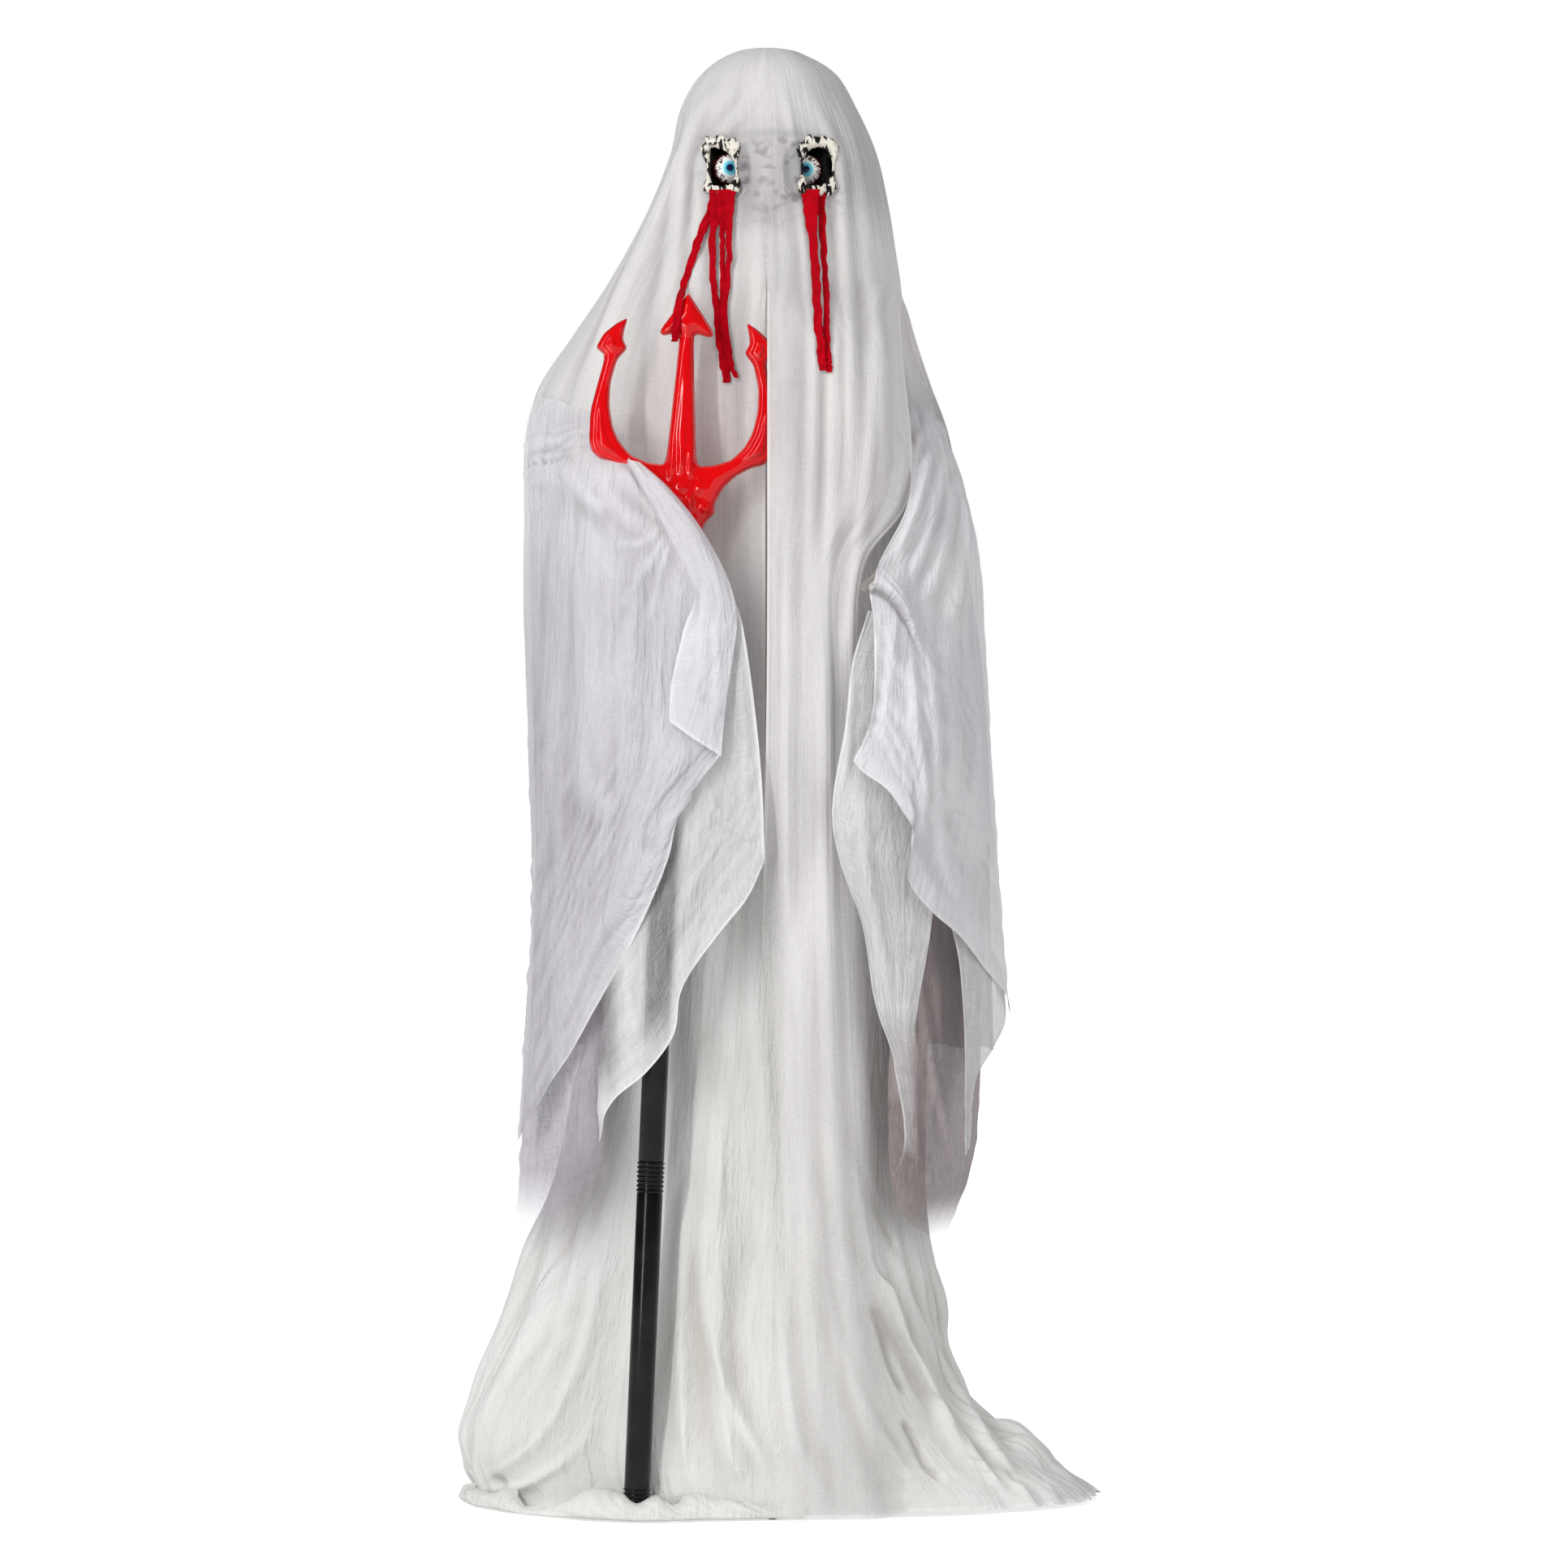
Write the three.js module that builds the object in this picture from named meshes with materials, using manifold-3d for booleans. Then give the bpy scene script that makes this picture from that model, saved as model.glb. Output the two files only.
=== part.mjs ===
// Life-size standing ghost on a sectional mast: a turning head under a long gauze veil, a gown with
// bell sleeves, and a trident in the right hand. Millimetres, +Z up, the figure faces -Y, and the
// origin is on the floor under the mast. Right and left are the figure's own.
import * as THREE from 'three';
import { mergeVertices } from 'three/addons/utils/BufferGeometryUtils.js';
import Module from 'manifold-3d';

const wasm = await Module();
wasm.setup();

// Fits
const SEAT = 0.3;
const RUNNING = 0.4;
const OVERCUT = 1;

// Stand
const HUB_WIDTH = 90;
const HUB_HEIGHT = 28;
const HUB_FLOOR = 6;
const SOCKET_HEIGHT = 50;
const SOCKET_WALL = 6;
const LEG_DIAMETER = 20;
const LEG_WALL = 1.5;
const LEG_INSERT = 22;
const LEG_REACH_FRONT = 205;
const LEG_REACH_SIDE = 270;
const LEG_REACH_BACK = 250;
const FOOT_DIAMETER = 28;
const FOOT_LENGTH = 40;
const FOOT_WALL = 4;

// Mast
const MAST_DIAMETER = 32;
const MAST_WALL = 2;
const MAST_LOWER = 532;
const MAST_MIDDLE = 520;
const MAST_UPPER = 254;
const SWAGE_LENGTH = 60;
const BUTTON_DIAMETER = 8;
const BUTTON_PROUD = 3;
const BUTTON_FLANGE = 2;

// Chest housing, drive and neck
const HOUSING_WIDTH = 160;
const HOUSING_DEPTH = 96;
const HOUSING_HEIGHT = 110;
const HOUSING_WALL = 3;
const MAST_IN_HOUSING = 22;
const PLATE_THICKNESS = 3;
const PLATE_BELOW_TOP = 34;
const GEAR_MODULE = 2;
const GEAR_TEETH = 24;
const PINION_TEETH = 8;
const GEAR_THICKNESS = 8;
const GEAR_BACKLASH = 0.5;
const GEAR_ADDENDUM = 0.8;
const GEAR_DEDENDUM = 1.1;
const MOTOR_WIDTH = 36;
const MOTOR_HEIGHT = 44;
const MOTOR_SHAFT_DIAMETER = 5;
const NECK_SHAFT_DIAMETER = 12;
const NECK_LENGTH = 150;
const BUSH_WALL = 4;
const BUSH_FLANGE = 4;
const SPEAKER_DIAMETER = 50;
const SPEAKER_DEPTH = 14;
const SPEAKER_BELOW_SHOULDER = 22;
const GRILLE_SLOTS = 5;
const GRILLE_SLOT_HEIGHT = 3;
const GRILLE_PITCH = 8;
const GRILLE_WIDTH = 34;

// Arms
const SHOULDER_BAR_DIAMETER = 20;
const SHOULDER_BAR_WALL = 2;
const SHOULDER_HALF_SPAN = 178;
const SHOULDER_ABOVE_HOUSING_FLOOR = 60;
const SHOULDER_BEHIND_MAST = 31;
const SHOULDER_SOCKET_DIAMETER = 34;
const SHOULDER_SOCKET_LENGTH = 40;
const ARM_DIAMETER = 14;
const ARM_FROM_SOCKET_END = 8;
const ARM_IN_SOCKET = 0.1;
const ELBOW_BEND = 40;
const RIGHT_ELBOW = [-96, -71, -30];
const RIGHT_WRIST_FROM_GRIP = [-40, 34, 22];
const GRIP_BELOW_POLE_TOP = 28;
const LEFT_ELBOW = [24, -101, -118];
const LEFT_WRIST = [-40, -223.2, -185];
const HAND_LENGTH = 60;
const HAND_WIDTH = 44;
const HAND_THICKNESS = 20;
const HAND_SOCKET = 22;
const HAND_SOCKET_WALL = 4.7;
const FINGER_DIAMETER = 10;
const GRIP_WALL = 15.3;

// Head
const HEAD_WIDTH = 190;
const HEAD_DEPTH = 215;
const HEAD_HEIGHT = 306;
const HEAD_BELOW_NECK_TOP = 31;
const HEAD_WALL = 3;
const HEAD_SIDE_SHIFT = -7;
const HEAD_FORWARD = -10;
const CHIN_TAPER = 0.34;
const EYE_SPACING = 96;
const EYE_ABOVE_CENTRE = -9;
const EYEBALL_DIAMETER = 44;
const EYE_BULGE = 20;
const EYE_HOLE_WIDTH = 56;
const EYE_HOLE_HEIGHT = 78;
const CUP_WALL = 2.5;
const HEAD_SPLIT_BACK = 8;
const HEAD_MOUNT_BELOW_TOP = 14;
const HEAD_MOUNT_THICKNESS = 6;
const HEAD_MOUNT_WALL = 6;
const HEAD_MOUNT_COLLAR = 26;
const NECK_HOLE_CLEAR = 14;

// Control box
const BOX_WIDTH = 84;
const BOX_DEPTH = 34;
const BOX_HEIGHT = 104;
const BOX_WALL = 2.5;
const BOX_BELOW_HOUSING = 66;
const BOX_BEHIND_MAST = 2;
const CLIP_WALL = 4;
const CLIP_HEIGHT = 42;
const COVER_THICKNESS = 3;
const CELL_DIAMETER = 14.5;
const CELL_LENGTH = 50;
const CELL_COUNT = 3;
const SWITCH_WIDTH = 10;
const SWITCH_HEIGHT = 6;
const SWITCH_TRAVEL = 5;
const SWITCH_PROUD = 3;
const TRY_DIAMETER = 12;
const TRY_PROUD = 3;
const TRY_FLANGE = 2;
const BUTTON_SPACING = 42;

// Trident
const TRIDENT_FOOT = [-167, -212, 0.85];
const TRIDENT_TIP = [-102, -245, 1497];
const POLE_DIAMETER = 32;
const POLE_WALL = 2.5;
const POLE_LOWER = 439;
const POLE_MIDDLE = 374;
const POLE_UPPER = 336;
const COLLAR_DIAMETER = 34;
const COLLAR_LENGTH = 39;
const SPIGOT_LENGTH = 40;
const TRIDENT_THICKNESS = 24;
const TRIDENT_BEVEL = 5;
const HUB_SWELL = 25;

// Cloth
const CLOTH = 3;
const VEIL_SPLIT = 1530;
const VEIL_CUT = 0.6;
const HEM_CLEAR = 1;
const GOWN_RIGHT_HEM = 412;
const GOWN_LEFT_HEM = 418;
const GOWN_FRONT_HEM = 232;
const GOWN_BACK_HEM = 292;
const GOWN_FOLDS = 5;
const GOWN_FOLD_DEPTH = 22;
const GOWN_SEAM = 0.006;
const ARMHOLE_HEIGHT = 85;
const POLE_NOTCH = 46;
const POLE_NOTCH_TOP = 700;
const HOOD_FOLD_DEPTH = 12;
const SLEEVE_FOLD_DEPTH = 8;
const VEIL_FRONT_FOLD_DEPTH = 9;
const VEIL_WING_FOLD_DEPTH = 4;
const VEIL_BACK_FOLDS = 6;
const VEIL_BACK_FOLD_DEPTH = 26;
const VEIL_BACK_HEM = 560;
const STRIP_WIDTH = 24;
const STRIP_THICKNESS = 1.2;

// Worked-out heights and places
const mastFloor = HUB_FLOOR;
const mastTop = mastFloor + MAST_LOWER + MAST_MIDDLE + MAST_UPPER;
const housingFloor = mastTop - MAST_IN_HOUSING;
const housingTop = housingFloor + HOUSING_HEIGHT;
const shoulderHeight = housingFloor + SHOULDER_ABOVE_HOUSING_FLOOR;
const plateTop = housingTop - PLATE_BELOW_TOP;
const gearFloor = plateTop + OVERCUT;
const gearRadius = GEAR_MODULE * GEAR_TEETH / 2;
const pinionRadius = GEAR_MODULE * PINION_TEETH / 2;
const motorOffset = gearRadius + pinionRadius + GEAR_BACKLASH;
const neckTop = housingTop + NECK_LENGTH;
const headCentre = new THREE.Vector3(HEAD_SIDE_SHIFT, HEAD_FORWARD,
  neckTop + HEAD_HEIGHT / 2 - HEAD_BELOW_NECK_TOP);
const eyeHeight = headCentre.z + EYE_ABOVE_CENTRE;
const crownHeight = headCentre.z + HEAD_HEIGHT / 2 + SEAT + CLOTH / 2;

const plastics = {
  black: material(0x161616, 0.45),
  grey: material(0x5a5c60, 0.6),
  white: material(0xe8e6e0, 0.55),
  red: material(0xd8101a, 0.18),
  eye: material(0xf2f2ee, 0.1),
};
const steel = material(0xa9adb2, 0.35, 1);
const blackSteel = material(0x202124, 0.4, 0.6);
const brass = material(0xb89b4c, 0.35, 1);
const rubber = material(0x1c1c1c, 0.85);
const gauze = material(0xe7e5e1, 0.9);
const sleeveGauze = material(0xd3d2da, 0.9);
const redCloth = material(0xb40f1c, 0.9);

function material(color, roughness, metalness = 0) {
  return new THREE.MeshStandardMaterial({ color, roughness, metalness });
}

// A named piece of the figure
function piece(name, geometry, look) {
  const mesh = new THREE.Mesh(geometry, look);
  mesh.name = name;
  return mesh;
}

function vec(list) {
  return new THREE.Vector3(...list);
}

function toSolid(geometry) {
  const bare = geometry.clone();
  bare.deleteAttribute('normal');
  bare.deleteAttribute('uv');
  const merged = mergeVertices(bare, 1e-4);
  return new wasm.Manifold(new wasm.Mesh({
    numProp: 3,
    vertProperties: new Float32Array(merged.attributes.position.array),
    triVerts: new Uint32Array(merged.index.array),
  }));
}

function toGeometry(solid) {
  const mesh = solid.getMesh();
  const geometry = new THREE.BufferGeometry();
  geometry.setAttribute('position', new THREE.BufferAttribute(mesh.vertProperties, 3));
  geometry.setIndex(new THREE.BufferAttribute(mesh.triVerts, 1));
  geometry.computeVertexNormals();
  return geometry;
}

function cut(base, ...tools) {
  return toGeometry(tools.reduce((solid, tool) => solid.subtract(toSolid(tool)), toSolid(base)));
}

function join(base, ...others) {
  return toGeometry(others.reduce((solid, other) => solid.add(toSolid(other)), toSolid(base)));
}

function common(base, other) {
  return toGeometry(toSolid(base).intersect(toSolid(other)));
}

function box(x0, x1, y0, y1, z0, z1) {
  const geometry = new THREE.BoxGeometry(x1 - x0, y1 - y0, z1 - z0);
  return geometry.translate((x0 + x1) / 2, (y0 + y1) / 2, (z0 + z1) / 2);
}

// Round bar from one height to another, on an axis parallel to Z
function post(radius, z0, z1, x = 0, y = 0, sides = 16) {
  const geometry = new THREE.CylinderGeometry(radius, radius, z1 - z0, sides);
  return geometry.rotateX(Math.PI / 2).translate(x, y, (z0 + z1) / 2);
}

// Round bar between two points
function rod(radius, from, to, sides = 16) {
  const geometry = new THREE.CylinderGeometry(radius, radius, from.distanceTo(to), sides);
  const turn = new THREE.Quaternion().setFromUnitVectors(
    new THREE.Vector3(0, 1, 0), to.clone().sub(from).normalize());
  const middle = from.clone().add(to).multiplyScalar(0.5);
  return geometry.applyQuaternion(turn).translate(middle.x, middle.y, middle.z);
}

// Turned piece from a closed profile of [radius, height] points
function turned(profile, sides = 16) {
  const points = profile.map(([r, z]) => new THREE.Vector2(r, z));
  return new THREE.LatheGeometry(points, sides).rotateX(Math.PI / 2);
}

function tube(outer, inner, z0, z1, sides = 16) {
  return turned([[inner, z0], [outer, z0], [outer, z1], [inner, z1], [inner, z0]], sides);
}

// Egg-shaped solid that narrows towards the chin
function ovoid(radii, centre, taper = CHIN_TAPER) {
  const geometry = new THREE.SphereGeometry(1, 16, 10).rotateX(Math.PI / 2);
  const place = geometry.attributes.position;
  for (let i = 0; i < place.count; i++) {
    const low = Math.max(0, -place.getZ(i));
    const width = 1 - taper * low * low;
    place.setXYZ(i, place.getX(i) * radii[0] * width, place.getY(i) * radii[1] * width,
      place.getZ(i) * radii[2]);
  }
  return geometry.translate(centre.x, centre.y, centre.z);
}

// Oval bar through a point, along Y
function ovalBar(width, height, centre, reach) {
  return new THREE.CylinderGeometry(1, 1, 2 * reach, 20).scale(width / 2, 1, height / 2)
    .translate(centre.x, centre.y, centre.z);
}

// Grid of points through rows of control points: u runs along a row, v from the first row to the last
function loft(rows, across, down) {
  const curves = rows.map((row) => new THREE.CatmullRomCurve3(row.map(vec), false, 'centripetal'));
  const columns = [];
  for (let i = 0; i <= across; i++) {
    const column = curves.map((curve) => curve.getPoint(i / across));
    columns.push(new THREE.CatmullRomCurve3(column, false, 'centripetal'));
  }
  const grid = [];
  for (let j = 0; j <= down; j++) {
    grid.push(columns.map((column) => column.getPoint(j / down)));
  }
  return grid;
}

function gridNormals(grid, closed) {
  const down = grid.length;
  const across = grid[0].length;
  return grid.map((row, j) => row.map((point, i) => {
    const before = closed ? row[(i + across - 1) % across] : row[Math.max(i - 1, 0)];
    const after = closed ? row[(i + 1) % across] : row[Math.min(i + 1, across - 1)];
    const above = grid[Math.max(j - 1, 0)][i];
    const below = grid[Math.min(j + 1, down - 1)][i];
    return after.clone().sub(before).cross(below.clone().sub(above)).normalize();
  }));
}

// Folds that hang down the grid: depth grows from the first row to the last
function fold(grid, count, depth, closed = false, phase = 0) {
  const normals = gridNormals(grid, closed);
  const last = grid.length - 1;
  return grid.map((row, j) => row.map((point, i) => {
    const u = i / (closed ? row.length : row.length - 1);
    const wave = 0.5 - 0.5 * Math.cos(2 * Math.PI * (count * u + phase));
    return point.clone().addScaledVector(normals[j][i], wave * depth(j / last));
  }));
}

// Closed cloth solid of even thickness about a grid of points
function cloth(grid, thickness = CLOTH, closed = false) {
  const normals = gridNormals(grid, closed);
  const down = grid.length;
  const across = grid[0].length;
  const position = [];
  const index = [];
  for (const side of [-0.5, 0.5]) {
    grid.forEach((row, j) => row.forEach((point, i) => {
      position.push(...point.clone().addScaledVector(normals[j][i], side * thickness).toArray());
    }));
  }
  const at = (side, j, i) => side * down * across + j * across + (i % across);
  const quad = (a, b, c, d) => index.push(a, b, c, a, c, d);
  const spans = closed ? across : across - 1;
  for (let j = 0; j < down - 1; j++) {
    for (let i = 0; i < spans; i++) {
      quad(at(1, j, i), at(1, j, i + 1), at(1, j + 1, i + 1), at(1, j + 1, i));
      quad(at(0, j, i), at(0, j + 1, i), at(0, j + 1, i + 1), at(0, j, i + 1));
    }
  }
  for (let i = 0; i < spans; i++) {
    quad(at(0, 0, i), at(0, 0, i + 1), at(1, 0, i + 1), at(1, 0, i));
    quad(at(1, down - 1, i), at(1, down - 1, i + 1), at(0, down - 1, i + 1), at(0, down - 1, i));
  }
  if (!closed) {
    for (let j = 0; j < down - 1; j++) {
      quad(at(1, j, 0), at(1, j + 1, 0), at(0, j + 1, 0), at(0, j, 0));
      quad(at(0, j, across - 1), at(0, j + 1, across - 1), at(1, j + 1, across - 1),
        at(1, j, across - 1));
    }
  }
  const geometry = new THREE.BufferGeometry();
  geometry.setAttribute('position', new THREE.Float32BufferAttribute(position, 3));
  geometry.setIndex(index);
  return outward(geometry);
}

// Turns a closed mesh the right way round
function outward(geometry) {
  const place = geometry.attributes.position;
  const index = geometry.index.array;
  const corners = [new THREE.Vector3(), new THREE.Vector3(), new THREE.Vector3()];
  let volume = 0;
  for (let t = 0; t < index.length; t += 3) {
    corners.forEach((corner, k) => corner.fromBufferAttribute(place, index[t + k]));
    volume += corners[0].dot(corners[1].clone().cross(corners[2]));
  }
  if (volume < 0) {
    for (let t = 0; t < index.length; t += 3) {
      [index[t + 1], index[t + 2]] = [index[t + 2], index[t + 1]];
    }
  }
  geometry.computeVertexNormals();
  return geometry;
}

const figure = new THREE.Group();
figure.add(...stand(), ...mast(), ...chest(), ...drive(), ...arms(), head(), controls(), trident());
figure.add(...gown(), ...sleeves(), ...veil(), ...strips());

// Cross-shaped stand: a moulded hub and four tubes that plug into it
function stand() {
  const legRadius = LEG_DIAMETER / 2;
  const legHeight = FOOT_DIAMETER / 2;
  const socketRadius = MAST_DIAMETER / 2 + SEAT + SOCKET_WALL;
  const half = HUB_WIDTH / 2;
  const reaches = [
    ['front', -Math.PI / 2, LEG_REACH_FRONT],
    ['left', 0, LEG_REACH_SIDE],
    ['back', Math.PI / 2, LEG_REACH_BACK],
    ['right', Math.PI, LEG_REACH_SIDE],
  ];
  const legHoles = reaches.map(([, angle]) => rod(legRadius + SEAT,
    new THREE.Vector3(half - LEG_INSERT, 0, legHeight), new THREE.Vector3(half + OVERCUT, 0, legHeight))
    .rotateZ(angle));
  const body = join(box(-half, half, -half, half, 0, HUB_HEIGHT),
    post(socketRadius, HUB_HEIGHT - OVERCUT, HUB_HEIGHT + SOCKET_HEIGHT));
  const mastHole = post(MAST_DIAMETER / 2 + SEAT, mastFloor, HUB_HEIGHT + SOCKET_HEIGHT + OVERCUT);
  const pieces = [piece('base_hub', cut(body, mastHole, ...legHoles), plastics.black)];
  for (const [side, angle, reach] of reaches) {
    const start = half - LEG_INSERT + SEAT;
    const leg = tube(legRadius, legRadius - LEG_WALL, start, reach).rotateY(Math.PI / 2);
    const legPiece = piece(`base_leg_${side}`, leg, blackSteel);
    const capProfile = [[0, 0], [FOOT_DIAMETER / 2 / Math.cos(Math.PI / 16), 0],
      [FOOT_DIAMETER / 2 / Math.cos(Math.PI / 16), FOOT_LENGTH],
      [legRadius + SEAT, FOOT_LENGTH], [legRadius + SEAT, FOOT_WALL], [0, FOOT_WALL]];
    const cap = turned(capProfile).rotateZ(Math.PI / 16).rotateY(-Math.PI / 2);
    const capPiece = piece(`foot_cap_${side}`, cap.translate(reach + FOOT_WALL + SEAT, 0, 0), rubber);
    for (const part of [legPiece, capPiece]) {
      part.position.z = legHeight;
      part.rotation.z = angle;
      pieces.push(part);
    }
  }
  return pieces;
}

// Three steel tubes; the swaged foot of each fits the tube below and is locked by a spring button
function mast() {
  const outer = MAST_DIAMETER / 2;
  const inner = outer - MAST_WALL;
  const swageOuter = inner - SEAT;
  const swageInner = swageOuter - MAST_WALL;
  const holeRadius = BUTTON_DIAMETER / 2 + RUNNING;
  const across = new THREE.Vector3(outer + OVERCUT, 0, 0);
  const centre = new THREE.Vector3(0, 0, 0);
  const jointHeights = [mastFloor + MAST_LOWER, mastFloor + MAST_LOWER + MAST_MIDDLE];
  const buttonHeights = jointHeights.map((height) => height - SWAGE_LENGTH / 2);
  const hole = (height) => rod(holeRadius, centre, across).translate(0, 0, height);
  const section = (foot, top) => turned([[swageInner, foot - SWAGE_LENGTH],
    [swageOuter, foot - SWAGE_LENGTH], [swageOuter, foot + SEAT], [outer, foot + SEAT], [outer, top],
    [inner, top], [inner, foot + SWAGE_LENGTH / 4], [swageInner, foot + SEAT],
    [swageInner, foot - SWAGE_LENGTH]]);
  const lower = tube(outer, inner, mastFloor + SEAT, jointHeights[0]);
  const middle = section(jointHeights[0], jointHeights[1]);
  const upper = section(jointHeights[1], mastTop);
  const button = (height) => join(
    rod(BUTTON_DIAMETER / 2, new THREE.Vector3(swageInner - RUNNING - BUTTON_FLANGE, 0, height),
      new THREE.Vector3(outer + BUTTON_PROUD, 0, height), 12),
    rod(BUTTON_DIAMETER / 2 + BUTTON_FLANGE, new THREE.Vector3(swageInner - 3 * BUTTON_FLANGE, 0, height),
      new THREE.Vector3(swageInner - BUTTON_FLANGE, 0, height), 12));
  return [
    piece('mast_lower', cut(lower, hole(buttonHeights[0])), blackSteel),
    piece('mast_middle', cut(middle, hole(buttonHeights[0]), hole(buttonHeights[1])), blackSteel),
    piece('mast_upper', cut(upper, hole(buttonHeights[1])), blackSteel),
    piece('snap_button_lower', button(buttonHeights[0]), steel),
    piece('snap_button_upper', button(buttonHeights[1]), steel),
  ];
}

// Two moulded halves that clamp the mast, the shoulder bar and the neck bush between them
function chest() {
  const x = HOUSING_WIDTH / 2;
  const y = HOUSING_DEPTH / 2;
  const wall = HOUSING_WALL;
  const mastRadius = MAST_DIAMETER / 2 + SEAT;
  const barRadius = SHOULDER_BAR_DIAMETER / 2 + SEAT;
  const boss = post(mastRadius + SOCKET_WALL, housingFloor, housingFloor + MAST_IN_HOUSING);
  const shell = join(cut(box(-x, x, -y, y, housingFloor, housingTop),
    box(-x + wall, x - wall, -y + wall, y - wall, housingFloor + wall, housingTop - wall)), boss);
  const mastHole = post(mastRadius, housingFloor - OVERCUT, housingFloor + MAST_IN_HOUSING + OVERCUT);
  const neckHole = post(NECK_SHAFT_DIAMETER / 2 + RUNNING + BUSH_WALL + SEAT, housingTop - 2 * wall,
    housingTop + OVERCUT);
  const barHole = rod(barRadius, new THREE.Vector3(-x - OVERCUT, SHOULDER_BEHIND_MAST, shoulderHeight),
    new THREE.Vector3(x + OVERCUT, SHOULDER_BEHIND_MAST, shoulderHeight));
  const speakerHeight = shoulderHeight - SPEAKER_BELOW_SHOULDER;
  const grille = Array.from({ length: GRILLE_SLOTS }, (_, row) => {
    const floor = speakerHeight + (row - (GRILLE_SLOTS - 1) / 2) * GRILLE_PITCH - GRILLE_SLOT_HEIGHT / 2;
    return box(-GRILLE_WIDTH / 2, GRILLE_WIDTH / 2, -y - OVERCUT, -y + wall + OVERCUT, floor,
      floor + GRILLE_SLOT_HEIGHT);
  });
  const whole = cut(shell, mastHole, neckHole, barHole);
  const front = cut(common(whole, box(-x, x, -y, -SEAT / 2, housingFloor, housingTop)), ...grille);
  const back = common(whole, box(-x, x, SEAT / 2, y, housingFloor, housingTop));
  const speakerFace = -y + wall + SEAT;
  const speaker = new THREE.CylinderGeometry(SPEAKER_DIAMETER / 2, SPEAKER_DIAMETER / 3, SPEAKER_DEPTH, 20)
    .rotateX(Math.PI).translate(0, speakerFace + SPEAKER_DEPTH / 2, speakerHeight);
  return [
    piece('chest_housing_front', front, plastics.black),
    piece('chest_housing_back', back, plastics.black),
    piece('speaker', speaker, plastics.grey),
  ];
}

// Toothed wheel with a bore; its height runs up from z0
function gear(teeth, radius, z0, boreRadius, turn = 0) {
  const shape = new THREE.Shape();
  const tip = radius + GEAR_MODULE * GEAR_ADDENDUM;
  const root = radius - GEAR_MODULE * GEAR_DEDENDUM;
  const pitch = 2 * Math.PI / teeth;
  const flank = [[-0.32, root], [-0.13, tip], [0.13, tip], [0.32, root]];
  for (let tooth = 0; tooth < teeth; tooth++) {
    for (const [share, r] of flank) {
      const angle = turn + (tooth + share) * pitch;
      const point = [r * Math.cos(angle), r * Math.sin(angle)];
      if (tooth === 0 && share === flank[0][0]) shape.moveTo(...point);
      else shape.lineTo(...point);
    }
  }
  shape.closePath();
  if (boreRadius > 0) {
    const bore = new THREE.Path();
    bore.absarc(0, 0, boreRadius, 0, 2 * Math.PI, true);
    shape.holes.push(bore);
  }
  const settings = { depth: GEAR_THICKNESS, bevelEnabled: false, curveSegments: 12 };
  return new THREE.ExtrudeGeometry(shape, settings).translate(0, 0, z0);
}

// Gearmotor under a steel plate; its pinion turns the wheel on the neck shaft
function drive() {
  const x = HOUSING_WIDTH / 2 - HOUSING_WALL - SEAT;
  const y = HOUSING_DEPTH / 2 - HOUSING_WALL - SEAT;
  const neckRadius = NECK_SHAFT_DIAMETER / 2;
  const shaftRadius = MOTOR_SHAFT_DIAMETER / 2;
  const half = MOTOR_WIDTH / 2;
  const plateFloor = plateTop - PLATE_THICKNESS;
  const plate = cut(box(-x, x, -y, y, plateFloor, plateTop),
    post(neckRadius + RUNNING, plateFloor - OVERCUT, plateTop + OVERCUT),
    post(shaftRadius + 2 * RUNNING, plateFloor - OVERCUT, plateTop + OVERCUT, motorOffset));
  const motorTop = plateFloor - SEAT;
  const motor = box(motorOffset - half, motorOffset + half, -half, half, motorTop - MOTOR_HEIGHT, motorTop);
  const spindle = post(shaftRadius, motorTop + SEAT, gearFloor + OVERCUT, motorOffset, 0, 12);
  const pinion = gear(PINION_TEETH, pinionRadius, gearFloor, 0).translate(motorOffset, 0, 0);
  const bushRadius = neckRadius + RUNNING;
  const bush = turned([[bushRadius, housingTop - 2 * HOUSING_WALL],
    [bushRadius + BUSH_WALL, housingTop - 2 * HOUSING_WALL], [bushRadius + BUSH_WALL, housingTop + SEAT],
    [bushRadius + 2 * BUSH_WALL, housingTop + SEAT],
    [bushRadius + 2 * BUSH_WALL, housingTop + SEAT + BUSH_FLANGE],
    [bushRadius, housingTop + SEAT + BUSH_FLANGE], [bushRadius, housingTop - 2 * HOUSING_WALL]]);
  return [
    piece('gear_plate', plate, steel),
    piece('gearmotor', motor, plastics.grey),
    piece('motor_pinion', join(pinion, spindle), brass),
    piece('neck_bush', bush, plastics.white),
  ];
}

// Bent tube through three points with a rounded elbow
function bentTube(radius, points) {
  const path = new THREE.CurvePath();
  const [from, bend, to] = points;
  const before = bend.clone().lerp(from, ELBOW_BEND / bend.distanceTo(from));
  const after = bend.clone().lerp(to, ELBOW_BEND / bend.distanceTo(to));
  path.add(new THREE.LineCurve3(from, before));
  path.add(new THREE.QuadraticBezierCurve3(before, bend, after));
  path.add(new THREE.LineCurve3(after, to));
  const section = new THREE.Shape();
  section.absarc(0, 0, radius, 0, 2 * Math.PI);
  return new THREE.ExtrudeGeometry(section, { steps: 12, extrudePath: path, curveSegments: 5 });
}

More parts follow.
